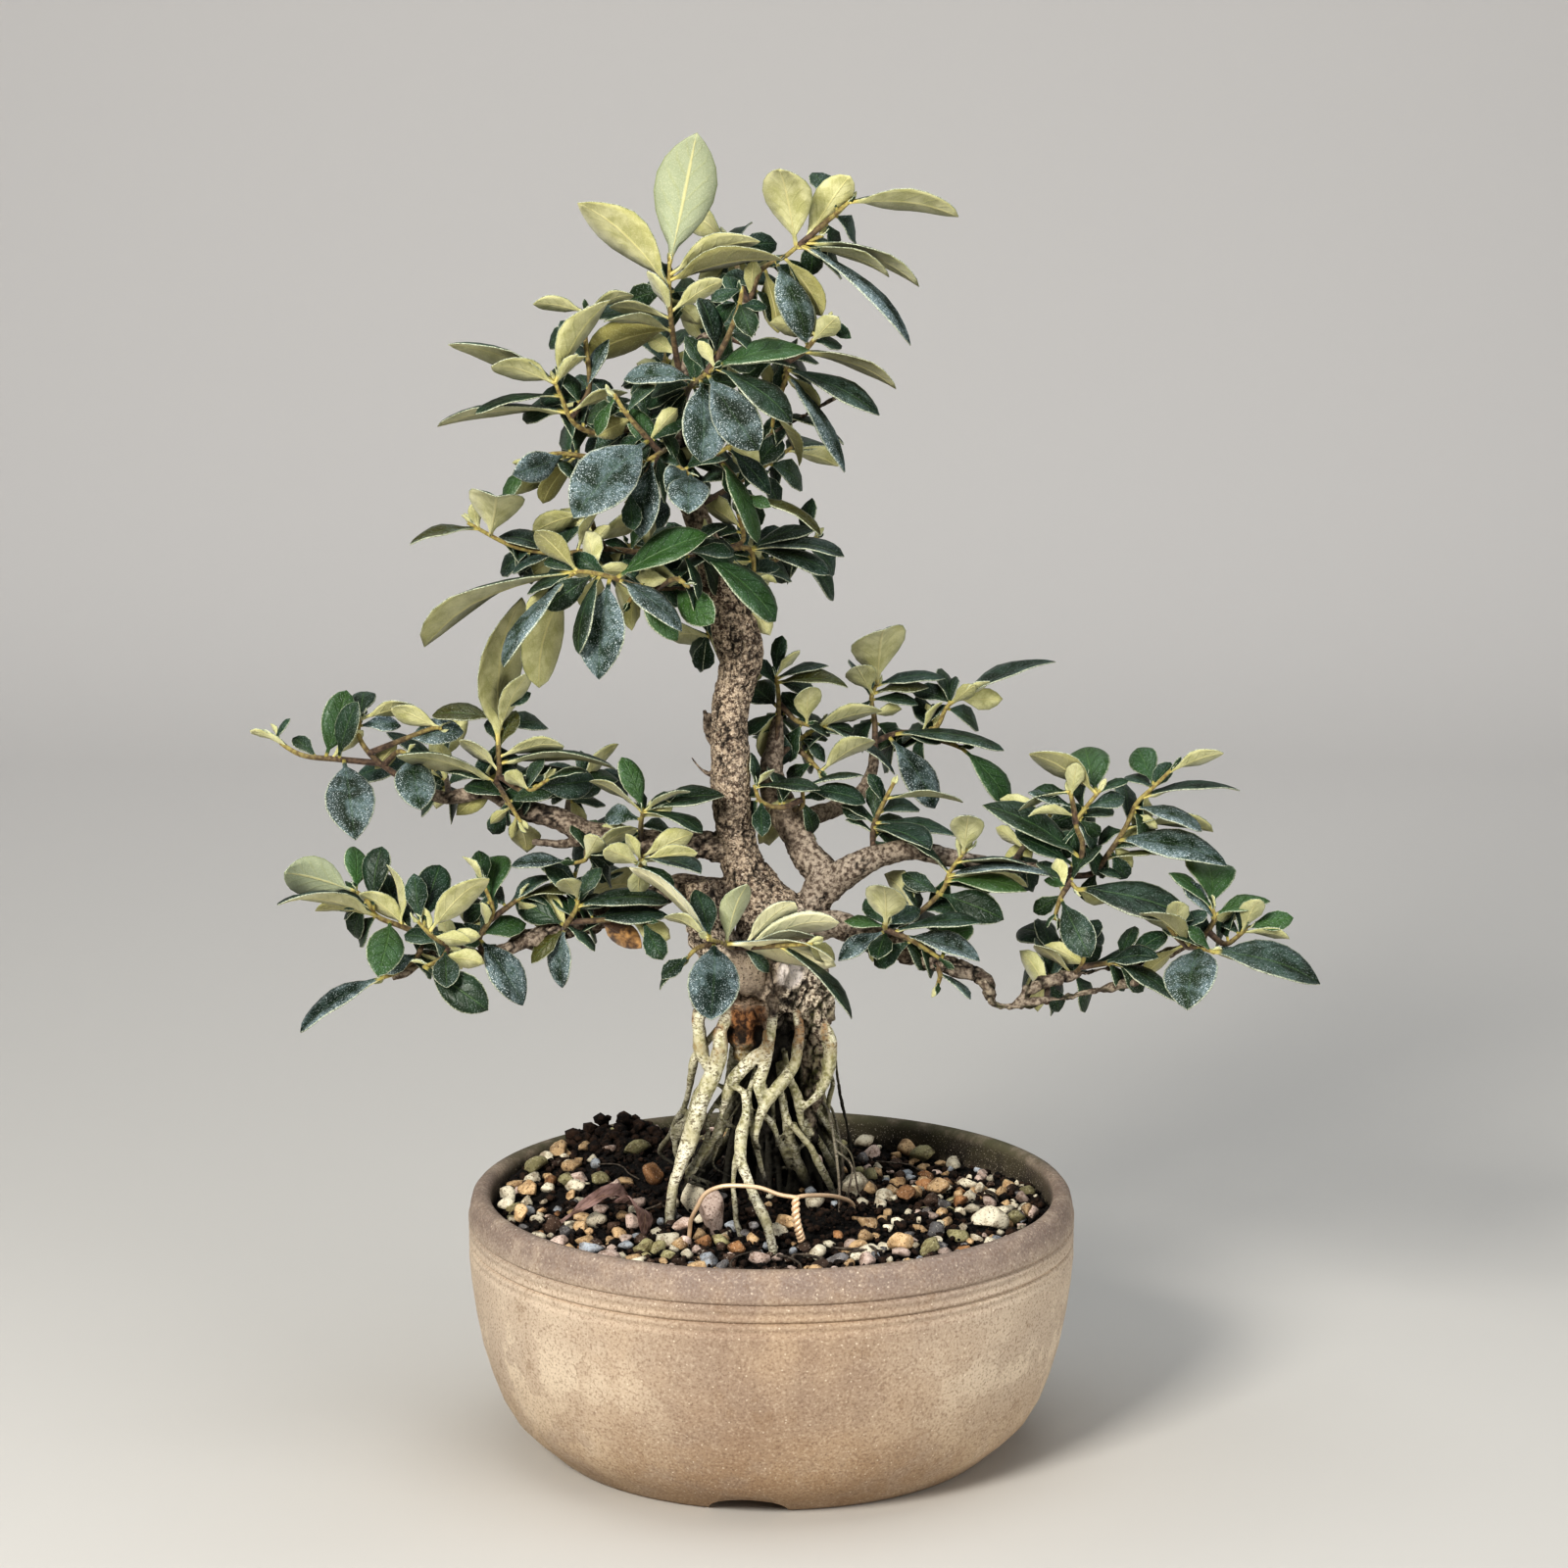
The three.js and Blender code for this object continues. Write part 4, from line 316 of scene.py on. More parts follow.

# Shoots seen from the front: (stem points, leaves) for each stem. A leaf is (percent along
# the stem, clock from +X towards +Z, reach, width as seen, kind): a negative width shows the
# pale underside; kind is "b" with a blue bloom, "g" fresh green, "o" olive, "d" dead; on an
# underside "o" is a darker olive that is partly painted shade, "y" a paler cream felt that is
# painted light on the lit rosette, and "w" a greenish white one.
SHOOTS = {
    "crown_top_left": [
        ([(-26, 0, 317), (-28, -3, 329), (-29, -4, 340), (-29, -3, 352)], [
            (95, 78, 38, -18, "w"), (78, 136, 35, -12), (86, 23, 28, -7), (82, 11, 33, -6, "o"),
            (56, 32, 18, -6), (50, 168, 18, -4), (42, 197, 26, -10, "o"), (39, 169, 23, -3),
            (55, 117, 14, -4), (70, 107, 11, 2),
        ]),
    ],
    "crown_upper_left": [
        ([(-26, 0, 302), (-36, -4, 304), (-48, -8, 302), (-56, -10, 305), (-60, -10, 313),
          (-62, -10, 318)], [
            (100, 159, 32, -5), (94, 162, 21, -7), (100, 57, 29, -8), (68, 185, 39, -3), (80, 189, 25, 2),
            (68, 22, 18, -4), (95, 42, 12, -3, "o"), (94, 55, 11, -4),
        ]),
        ([(-57, -10, 307), (-52, -8, 315), (-53, -6, 329), (-53, -6, 338)], [
            (30, 68, 16, 4, "b"), (100, 169, 15, -5), (100, 22, 15, -4),
        ]),
    ],
    "crown_left": [
        ([(-25, 0, 294), (-38, -8, 293), (-52, -14, 296), (-62, -15, 297), (-70, -15, 294)], [
            (67, 201, 15, 9, "b"), (63, 211, 21, -6), (59, 233, 17, -6, "o"), (100, 235, 14, 4, "g"),
            (78, 319, 11, 3),
        ]),
    ],
    "crown_front_top": [
        ([(-25, 0, 311), (-23, -16, 316), (-19, -28, 320), (-15, -32, 323)], [
            (60, 271, 22, 13, "b"), (76, 304, 25, 13, "b"), (54, 178, 21, 6, "b"), (100, 11, 27, 7, "g"),
            (100, 2, 24, 3), (100, 327, 26, 7), (100, 120, 9, -4), (75, 119, 12, 5),
        ]),
        ([(-18, -30, 321), (-13, -30, 329), (-9, -29, 339), (-8, -28, 345)], [
            (19, 105, 17, 6), (73, 292, 9, 7), (100, 200, 9, 4),
        ]),
    ],
    "crown_top_right": [
        ([(-11, 0, 332), (-6, 3, 340), (-3, 4, 348), (4, 5, 352), (8, 5, 355), (15, 5, 358)], [
            (76, 101, 24, -14), (83, 56, 24, -10), (86, 342, 35, -4), (77, 345, 28, -3),
            (81, 321, 42, 3, "b"), (52, 293, 25, 10, "b"), (59, 305, 20, -8, "o"), (43, 283, 19, -7, "o"),
            (64, 208, 7, 3), (21, 86, 11, -5, "o"),
        ]),
        ([(8, 5, 355), (16, 5, 362), (23, 5, 368)], [
            (100, 354, 32, -7),
        ]),
    ],
    "crown_right": [
        ([(-15, 0, 330), (-6, -4, 327), (4, -6, 322), (3, -6, 314), (1, -5, 308), (0, -5, 302)], [
            (44, 335, 30, 6), (47, 303, 33, 3, "b"), (47, 317, 15, -3), (80, 297, 17, -3, "o"),
            (83, 340, 25, 2), (100, 31, 3, 2),
        ]),
        ([(4, -6, 322), (10, -5, 326), (17, -5, 335)], [
            (42, 341, 29, -4, "o"), (62, 44, 11, -7), (100, 323, 8, 4),
        ]),
    ],
    "crown_front_left": [
        ([(-26, 0, 299), (-29, -16, 299), (-32, -29, 298), (-36, -30, 296)], [
            (73, 259, 23, 9, "b"), (59, 125, 15, 7, "g"),
        ]),
        ([(-31, -26, 298), (-36, -28, 304), (-41, -28, 310), (-44, -28, 315)], [
            (22, 225, 28, 17, "b"), (56, 205, 11, -7, "o"), (64, 47, 11, 4), (100, 242, 12, 4, "g"),
        ]),
        ([(-29, -16, 299), (-27, -24, 295), (-22, -30, 292)], [
            (80, 226, 7, 9, "b"), (100, 266, 15, 12, "b"),
        ]),
        ([(-32, -29, 298), (-36, -30, 291), (-40, -30, 287)], [
            (100, 275, 10, 6),
        ]),
    ],
    "crown_front_right": [
        ([(-25, 0, 291), (-21, -12, 295), (-16, -18, 297), (-11, -18, 300)], [
            (90, 313, 18, 6), (100, 329, 10, -8),
        ]),
        ([(-16, -18, 297), (-10, -18, 290), (-6, -17, 284)], [
            (12, 295, 25, 6, "g"), (100, 335, 23, 3, "o"), (91, 336, 7, 4, "g"),
        ]),
    ],
    "crown_low_right": [
        ([(-18, 0, 267), (-13, -1, 268), (-6, -2, 268), (-5, -4, 260), (-5, -6, 252)], [
            (50, 20, 20, 5), (50, 359, 27, 3), (50, 346, 24, 5), (36, 119, 5, 5), (73, 346, 7, -2),
            (100, 295, 11, -7),
        ]),
        ([(-13, -1, 268), (-8, -1, 271), (-10, -1, 280)], [
            
        ]),
    ],
    "crown_low_front": [
        ([(-17, 0, 262), (-20, -14, 267), (-23, -26, 272), (-25, -28, 269)], [
            (55, 320, 31, 8, "g"), (67, 31, 12, 3), (100, 290, 13, 3),
        ]),
    ],
    "crown_low_left": [
        ([(-16, 0, 256), (-26, -14, 258), (-37, -24, 260), (-47, -30, 264), (-55, -30, 265),
          (-58, -30, 262)], [
            (54, 26, 28, 9, "g"), (57, 263, 28, 14, "b"), (53, 322, 23, 7, "b"), (67, 214, 17, 8),
            (23, 319, 14, 10, "g"), (63, 253, 23, 5), (80, 203, 50, -3), (98, 231, 32, 4, "b"),
            (100, 252, 32, -11), (100, 227, 17, -6), (79, 134, 17, -7, "o"), (58, 147, 12, 6),
            (41, 20, 13, 7), (86, 200, 14, 3),
        ]),
        ([(-33, -22, 259), (-27, -30, 263), (-23, -33, 261)], [
            
        ]),
        ([(-37, -24, 260), (-39, -28, 258), (-41, -30, 255)], [
            (37, 312, 18, 7, "g"), (50, 265, 10, -4),
        ]),
    ],
    "crown_far_left": [
        ([(-20, 0, 268), (-34, -2, 267), (-48, -8, 269), (-60, -12, 268), (-69, -12, 269), (-76, -12, 271),
          (-87, -12, 277)], [
            (100, 190, 20, 3, "o"), (90, 81, 13, -16), (50, 163, 19, 6), (44, 61, 16, -3), (50, 200, 15, 2),
            (100, 103, 8, -4), (40, 50, 10, -4),
        ]),
        ([(-48, -8, 269), (-51, -8, 275), (-53, -8, 280)], [
            (95, 199, 17, -7),
        ]),
    ],
    "upper_left_middle": [
        ([(-83, 4, 196), (-80, 2, 201), (-80, 2, 209), (-80, 2, 217), (-78, 2, 222)], [
            (54, 83, 46, -14), (64, 64, 22, -6), (79, 175, 20, 6, "o"), (42, 13, 20, -5), (36, 0, 34, -3),
            (12, 163, 15, 3), (15, 164, 31, -5), (29, 139, 15, -4), (12, 220, 15, -7, "o"),
            (50, 65, 12, 6, "o"), (53, 107, 8, 5), (98, 30, 9, 4),
        ]),
        ([(-80, 2, 201), (-72, -2, 197), (-65, -4, 201)], [
            (12, 4, 21, 3), (65, 7, 13, 10), (57, 141, 9, -5), (100, 14, 12, 2),
        ]),
        ([(-81, 3, 199), (-77, -6, 195), (-73, -8, 189)], [
            (100, 284, 10, -9, "o"), (65, 218, 8, -3, "o"), (86, 255, 7, -3, "o"),
        ]),
    ],
    "upper_left_end": [
        ([(-110, 11, 199), (-117, 12, 204), (-121, 12, 209), (-122, 12, 213), (-121, 12, 217)], [
            (100, 13, 18, -5), (100, 82, 8, 8), (82, 2, 12, 5, "b"),
        ]),
        ([(-116, 12, 203), (-128, 13, 204), (-138, 13, 205), (-144, 13, 208), (-147, 13, 211)], [
            (35, 72, 20, 10, "g"), (25, 72, 19, 7), (22, 277, 21, 15, "b"), (30, 44, 13, -5),
            (42, 139, 9, 5), (70, 155, 12, -2), (88, 158, 9, -2), (100, 57, 7, 2),
        ]),
        ([(-119, 12, 206), (-110, 9, 210), (-100, 8, 214), (-97, 8, 214)], [
            (38, 8, 18, 8, "b"), (100, 155, 16, -6), (33, 230, 11, -6, "o"),
        ]),
        ([(-115, 12, 202), (-110, 9, 207), (-106, 6, 206)], [
            (100, 281, 14, 12, "b"),
        ]),
    ],
    "branch_top": [
        ([(-38, 0, 181), (-38, -10, 188), (-37, -16, 194)], [
            (99, 110, 17, 7, "g"), (100, 12, 24, 6), (100, 343, 18, 3), (93, 147, 18, -2, "o"),
            (100, 27, 17, -2), (100, 29, 11, 4), (71, 171, 11, 7, "b"), (81, 23, 10, -5),
        ]),
    ],
    "branch_under": [
        ([(-53, 4, 181), (-54, -6, 180), (-54, -14, 179), (-58, -15, 178)], [
            (50, 30, 17, -4), (100, 182, 18, 4, "b"), (30, 74, 9, 7, "g"), (67, 62, 9, -7),
        ]),
    ],
    "branch_front": [
        ([(-39, 0, 180), (-38, -10, 179), (-38, -18, 178)], [
            (55, 26, 17, -7), (73, 9, 17, -6), (74, 349, 24, 3), (100, 167, 15, 2), (90, 157, 12, -7),
            (68, 116, 9, -4), (100, 324, 12, 5), (100, 265, 10, -7),
        ]),
    ],
    "lower_left_end": [
        ([(-95, -16, 154), (-101, -20, 158), (-107, -22, 161), (-114, -22, 164), (-117, -22, 169),
          (-121, -22, 172)], [
            (95, 164, 21, -12, "w"), (100, 90, 12, 8, "g"), (67, 82, 18, 8), (40, 113, 19, 8),
            (40, 99, 19, -3), (33, 141, 18, -6), (60, 170, 34, -3), (65, 151, 17, 3),
            (60, 173, 18, -4, "o"), (49, 257, 14, 11, "g"),
        ]),
        ([(-101, -20, 158), (-102, -24, 153), (-108, -24, 148), (-113, -24, 146)], [
            (97, 213, 28, 6, "b"), (33, 203, 12, 6, "b"),
        ]),
    ],
    "lower_left_front": [
        ([(-91, -14, 152), (-93, -26, 156), (-97, -32, 160), (-101, -34, 165)], [
            (89, 74, 17, 10), (75, 45, 24, -8), (100, 96, 14, 7), (67, 112, 10, -4),
        ]),
        ([(-93, -26, 156), (-95, -30, 153), (-100, -32, 151)], [
            (22, 272, 9, 8), (100, 325, 20, 11),
        ]),
    ],
    "lower_left_middle": [
        ([(-84, -11, 150), (-85, -16, 156), (-82, -15, 161), (-81, -15, 165), (-84, -15, 173)], [
            (76, 83, 14, 10, "g"), (25, 303, 23, 10, "b"), (100, 97, 10, 6), (99, 123, 11, -2),
            (31, 15, 13, 7, "g"), (25, 165, 11, 6), (42, 97, 8, -3),
        ]),
        ([(-82, -14, 161), (-75, -12, 166), (-72, -12, 168)], [
            (38, 36, 15, 4), (79, 5, 17, 3, "o"),
        ]),
    ],
    "lower_left_inner": [
        ([(-61, -3, 156), (-60, -12, 159), (-57, -14, 164), (-56, -14, 168)], [
            (75, 5, 27, 5), (22, 266, 18, 7, "b"), (33, 150, 17, 9), (98, 126, 8, -7), (86, 130, 14, 5),
            (100, 55, 11, 5), (34, 319, 11, 3), (19, 227, 14, 5, "o"),
        ]),
        ([(-60, -12, 160), (-50, -14, 161), (-40, -15, 162), (-36, -15, 160)], [
            (23, 5, 23, 5), (33, 327, 15, -7, "d"), (90, 297, 11, 7),
        ]),
    ],
    "front_rosette": [
        ([(-8, -4, 150), (-11, -20, 154), (-15, -34, 159), (-18, -40, 161)], [
            (100, 135, 31, -3, "y"), (100, 149, 15, -3), (92, 106, 17, 7), (50, 72, 20, -8, "g"),
            (54, 350, 33, -6, "y"),
        ]),
        ([(-15, -34, 159), (-21, -38, 158), (-24, -38, 155)], [
            (12, 268, 19, 15, "b"), (100, 220, 9, 5), (99, 227, 12, 2),
        ]),
        ([(-11, -20, 154), (1, -26, 156), (12, -28, 157)], [
            (12, 44, 21, -7, "y"), (12, 18, 29, -7, "y"), (12, 9, 22, -3, "y"), (56, 317, 29, 3),
            (12, 316, 10, 4), (100, 328, 9, -6, "o"),
        ]),
    ],
    "right_back_inner": [
        ([(1, 16, 206), (2, 18, 215), (2, 20, 223), (1, 20, 229)], [
            (88, 18, 16, 3), (82, 359, 21, 4, "o"), (48, 145, 11, 10), (46, 255, 16, -6), (100, 81, 12, 5),
            (92, 51, 11, -3), (41, 211, 12, 4),
        ]),
        ([(2, 20, 220), (7, 18, 215), (11, 20, 213)], [
            (100, 87, 15, -8), (100, 127, 12, 6),
        ]),
    ],
    "right_back_low": [
        ([(5, 11, 188), (9, 2, 192), (9, 1, 198)], [
            (90, 350, 19, 6), (100, 13, 18, 2), (12, 224, 14, -5), (21, 288, 14, -5),
        ]),
        ([(9, 1, 194), (3, -1, 192), (-3, -2, 194), (-5, -2, 199)], [
            (99, 359, 19, 4), (66, 271, 9, 6), (100, 46, 8, -2), (99, 96, 10, 3),
        ]),
    ],
    "right_back_middle": [
        ([(2, 16, 204), (6, 22, 207), (10, 26, 209), (16, 27, 213)], [
            (72, 18, 23, -5), (92, 329, 26, 2), (77, 4, 13, 4), (57, 316, 10, 4),
        ]),
        ([(6, 22, 207), (11, 20, 203), (15, 18, 199)], [
            (100, 32, 21, -6),
        ]),
    ],
    "right_back_top": [
        ([(31, 32, 204), (31, 34, 212), (30, 35, 219), (32, 35, 224)], [
            (100, 84, 18, -16), (74, 120, 13, -9), (91, 9, 21, 4), (75, 9, 17, 4, "o"), (64, 355, 14, 4),
            (67, 103, 7, 5), (64, 223, 9, 4),
        ]),
    ],
    "right_back_far": [
        ([(31, 33, 206), (38, 37, 208), (45, 38, 208), (50, 38, 210), (53, 38, 216), (58, 38, 219)], [
            (100, 22, 31, 4), (17, 352, 33, 4), (12, 304, 25, 10, "b"), (100, 0, 13, -7),
            (83, 39, 10, -5, "o"), (94, 33, 11, -3), (24, 347, 12, 4), (42, 60, 11, -2),
        ]),
        ([(42, 38, 208), (53, 38, 205), (58, 37, 203)], [
            (100, 310, 23, 8, "g"),
        ]),
    ],
    "right_upright": [
        ([(30, -3, 178), (30, 1, 186), (33, 2, 193), (36, 2, 199)], [
            (73, 358, 23, -2), (38, 352, 24, 4), (32, 340, 25, 6), (37, 149, 11, 3), (26, 152, 9, 2),
            (30, 344, 14, 2), (17, 328, 6, 3),
        ]),
    ],
    "right_middle_upright": [
        ([(36, -14, 155), (39, -14, 160), (45, -14, 165), (50, -13, 170), (52, -12, 175), (57, -12, 182)], [
            (100, 83, 13, -10), (88, 358, 21, -2), (69, 354, 23, 5, "g"), (75, 1, 30, 3, "b"),
            (71, 358, 24, -2), (78, 142, 15, 2), (55, 339, 19, 10), (91, 83, 9, -2), (56, 153, 12, 6),
            (81, 33, 6, 5),
        ]),
    ],
    "right_front": [
        ([(34, -14, 155), (33, -22, 160), (33, -24, 162)], [
            (89, 93, 13, -12), (43, 211, 16, 6, "b"), (92, 128, 9, 6), (88, 26, 11, 6), (36, 251, 7, 7),
            (71, 169, 12, 4, "g"),
        ]),
        ([(33, -22, 160), (41, -24, 157), (50, -24, 151)], [
            (14, 8, 26, 4), (31, 343, 23, 6, "b"), (100, 63, 13, 10, "g"),
        ]),
    ],
    "right_stub": [
        ([(48, -18, 149), (49, -20, 146), (48, -20, 142)], [
            (29, 129, 9, 4), (46, 323, 11, 2, "b"),
        ]),
    ],
    "right_top_end": [
        ([(86, -4, 173), (90, -5, 176), (91, -5, 182), (89, -5, 188), (92, -5, 193), (96, -5, 198)], [
            (97, 148, 24, -7, "o"), (100, 105, 14, 13, "g"), (26, 151, 32, 9), (14, 152, 19, 6),
            (98, 27, 10, 3), (78, 16, 12, 5),
        ]),
        ([(89, -5, 188), (88, -5, 194), (87, -5, 198)], [
            (100, 200, 16, -2), (78, 81, 11, -6), (38, 159, 14, 4, "b"), (20, 178, 14, -3),
        ]),
    ],
    "right_top_far": [
        ([(85, -2, 172), (94, 0, 172), (99, 0, 178), (104, 0, 186), (107, 0, 193), (112, 0, 198),
          (118, 0, 204)], [
            (96, 21, 17, -4), (84, 115, 12, 9, "g"), (73, 5, 29, 2), (64, 343, 20, 5, "b"), (49, 1, 28, -3),
            (42, 349, 32, 9, "b"), (40, 358, 32, -2), (28, 7, 19, 1, "o"), (59, 333, 9, -4),
            (36, 17, 10, 3), (20, 345, 8, 3),
        ]),
    ],
    "right_end_middle": [
        ([(85, -6, 173), (87, -12, 172), (89, -14, 170)], [
            (100, 346, 34, 10),
        ]),
        ([(87, -12, 172), (84, -16, 168), (82, -18, 162)], [
            (50, 297, 17, 10), (100, 310, 23, 6), (15, 162, 7, 3, "g"),
        ]),
    ],
    "right_low_twig": [
        ([(87, -14, 144), (90, -18, 148), (91, -20, 153)], [
            (12, 139, 15, -3, "o"), (100, 70, 10, 6),
        ]),
        ([(90, -18, 148), (97, -22, 150), (103, -24, 151)], [
            (23, 16, 19, 3), (46, 9, 17, 5), (66, 331, 21, 5), (100, 36, 15, 6),
        ]),
    ],
    "right_end_top": [
        ([(124, -14, 154), (127, -15, 158), (129, -15, 162), (128, -15, 165)], [
            (100, 99, 14, 14, "g"), (95, 138, 16, 4, "g"), (74, 16, 17, 5, "g"), (62, 127, 14, 5, "b"),
        ]),
        ([(127, -15, 158), (132, -14, 154), (136, -13, 156), (139, -13, 159)], [
            (100, 13, 14, 6, "g"), (81, 65, 12, -7), (81, 354, 14, -3),
        ]),
    ],
    "right_end_front": [
        ([(121, -18, 154), (124, -24, 155), (128, -26, 154)], [
            (48, 259, 16, 15, "b"), (89, 345, 33, 10), (99, 351, 31, -4), (12, 142, 24, -6, "o"),
            (84, 132, 10, 4, "g"),
        ]),
        ([(121, -18, 154), (117, -22, 158), (114, -22, 162)], [
            (60, 128, 17, 6), (12, 219, 16, -4, "o"), (50, 86, 12, -7),
        ]),
    ],
}

# Shoots on the hidden back, with the number of leaves that a seeded rule gives them.
BACK_SHOOTS = {
    "crown_back_tip": ([(-7, 1, 339), (-10, 14, 349), (-14, 26, 358)], 4),
    "crown_back_top": ([(-20, 0, 328), (-18, 18, 324), (-8, 36, 320)], 4),
    "crown_back_left": ([(-26, 0, 306), (-44, 14, 300), (-58, 28, 304)], 4),
    "crown_back_middle": ([(-26, 0, 304), (-32, 18, 316), (-30, 34, 326)], 4),
    "crown_back_right": ([(-22, 0, 280), (-6, 16, 288), (8, 32, 296)], 4),
    "crown_back_low_left": ([(-17, 0, 266), (-30, 16, 264), (-44, 30, 266)], 4),
    "crown_back_low_right": ([(-14, 0, 258), (0, 18, 262), (14, 34, 268)], 4),
    "trunk_back": ([(-12, 0, 230), (-16, 16, 236), (-20, 30, 242)], 4),
    "left_back_inner": ([(-60, 3, 187), (-60, 18, 192), (-54, 32, 198)], 4),
    "left_back_outer": ([(-95, 7, 194), (-98, 22, 198), (-106, 34, 200)], 4),
    "low_left_back": ([(-54, -4, 159), (-54, 12, 162), (-60, 26, 166)], 4),
    "right_back_lower": ([(70, -5, 175), (76, 10, 180), (84, 24, 186)], 4),
    "right_back_under": ([(80, -20, 138), (82, -6, 144), (88, 10, 150)], 4),
}


# Small maths.

def draw(seed):
    """A repeatable draw from 0 to 1 for each number."""
    wave = math.sin(seed * 12.9898) * 43758.5453
    return wave - math.floor(wave)


def in_row(points):
    """Millimetre layout points as metres in the row's frame."""
    return np.asarray(points, float) * MM + POT_AXIS


def smooth(value, low, high):
    """0 below low, 1 above high, and an easy slope between."""
    share = np.clip((value - low) / (high - low), 0, 1)
    return share * share * (3 - 2 * share)


def unit(vector):
    return vector / np.linalg.norm(vector)


def lattice(cells, channel=0):
    """A repeatable draw for each lattice cell."""
    wave = np.sin(cells @ np.array([127.1, 311.7, 74.7]) + 19.19 * channel) * 43758.5453
    return wave - np.floor(wave)


def cloud(points, size, channel=0):
    """Soft value noise from 0 to 1 with lumps of about this size."""
    place = points / size
    cell = np.floor(place)
    share = place - cell
    share = share * share * (3 - 2 * share)
    total = 0
    for corner in np.ndindex(2, 2, 2):
        weight = np.prod(np.where(corner, share, 1 - share), axis=1)
        total = total + weight * lattice(cell + corner, channel)
    return total


def plates(points, size):
    """Distance from the edge between scattered plates: 0 on a crack, up to about 1 inside."""
    place = points / size
    cell = np.floor(place)
    nearest = np.full((2, len(place)), 9.0)
    for step in np.ndindex(3, 3, 3):
        other = cell + np.array(step) - 1
        spot = other + np.stack([lattice(other, channel) for channel in (1, 2, 3)], axis=1)
        away = np.linalg.norm(spot - place, axis=1)
        nearest = np.sort(np.vstack([nearest, away]), axis=0)[:2]
    return nearest[1] - nearest[0]


def mound(x, y, centre_x, centre_y, spread):
    """1 at the centre, falling off smoothly over this many millimetres."""
    return np.exp(-((x - centre_x) ** 2 + (y - centre_y) ** 2) / (2 * spread**2))


def soil_height(x, y):
    grain = 0.5 * (np.sin(0.31 * x + 1.7) * np.cos(0.27 * y) + np.sin(0.23 * (x - y)))
    height = SOIL_LEVEL + grain
    for centre_x, centre_y, hump, spread in SOIL_SHAPES:
        height = height + hump * mound(x, y, centre_x, centre_y, spread)
    return height


def smooth_line(points, per_span):
    """Points (x, y, z, radius) on a Catmull-Rom curve through the given ones."""
    points = np.asarray(points, float)
    ends = np.vstack([2 * points[0] - points[1], points, 2 * points[-1] - points[-2]])
    line = []
    for start in range(len(points) - 1):
        before, here, there, after = ends[start : start + 4]
        for step in range(per_span):
            t = step / per_span
            line.append(
                here
                + 0.5 * t * (there - before)
                + t * t * (before - 2.5 * here + 2 * there - 0.5 * after)
                + t**3 * (1.5 * (here - there) + 0.5 * (after - before))
            )
    return np.array([*line, points[-1]])


def carried_frames(line):
    """Unit vectors along, across and third at each point of a line, carried without twist."""
    along = np.gradient(line, axis=0)
    along /= np.linalg.norm(along, axis=1)[:, None]
    across = np.array([0.0, 1.0, 0.0]) if abs(along[0][0]) > 0.9 else np.array([1.0, 0.0, 0.0])
    acrosses = []
    for direction in along:
        across = unit(across - direction * (across @ direction))
        acrosses.append(across)
    acrosses = np.array(acrosses)
    return along, acrosses, np.cross(along, acrosses)


# Mesh tools.

def active(obj):
    bpy.ops.object.select_all(action="DESELECT")
    obj.select_set(True)
    bpy.context.view_layer.objects.active = obj
    return obj


def places_of(obj):
    places = np.empty(len(obj.data.vertices) * 3)
    obj.data.vertices.foreach_get("co", places)
    return places.reshape(-1, 3)


def set_places(obj, places):
    obj.data.vertices.foreach_set("co", np.ascontiguousarray(places, np.float32).ravel())
    obj.data.update()


def normals_of(obj):
    normals = np.empty(len(obj.data.vertices) * 3)
    obj.data.vertices.foreach_get("normal", normals)
    return normals.reshape(-1, 3)


def paint(obj, name, colours):
    """Writes a colour attribute, one colour for each vertex."""
    layer = obj.data.attributes.new(name, "FLOAT_COLOR", "POINT")
    rgba = np.ones((len(colours), 4), np.float32)
    rgba[:, :3] = colours
    layer.data.foreach_set("color", rgba.ravel())


def joined(name, pieces):
    """The pieces as one object of that name."""
    active(pieces[0])
    for piece in pieces[1:]:
        piece.select_set(True)
    if len(pieces) > 1:
        bpy.ops.object.join()
    pieces[0].name = name
    pieces[0].data.name = name
    return pieces[0]


def tube(name, line, resolution):
    """A closed round tube along millimetre points (x, y, z, radius)."""
    line = np.asarray(line, float)
    data = bpy.data.curves.new(name, "CURVE")
    data.dimensions = "3D"
    data.bevel_depth = MM
    data.bevel_resolution = resolution
    data.use_fill_caps = True
    spline = data.splines.new("POLY")
    spline.points.add(len(line) - 1)
    places = np.ones((len(line), 4))
    places[:, :3] = in_row(line[:, :3])
    spline.points.foreach_set("co", places.ravel())
    spline.points.foreach_set("radius", line[:, 3])
    obj = bpy.data.objects.new(name, data)
    scene.collection.objects.link(obj)
    active(obj)
    bpy.ops.object.convert(target="MESH")
    return bpy.context.view_layer.objects.active


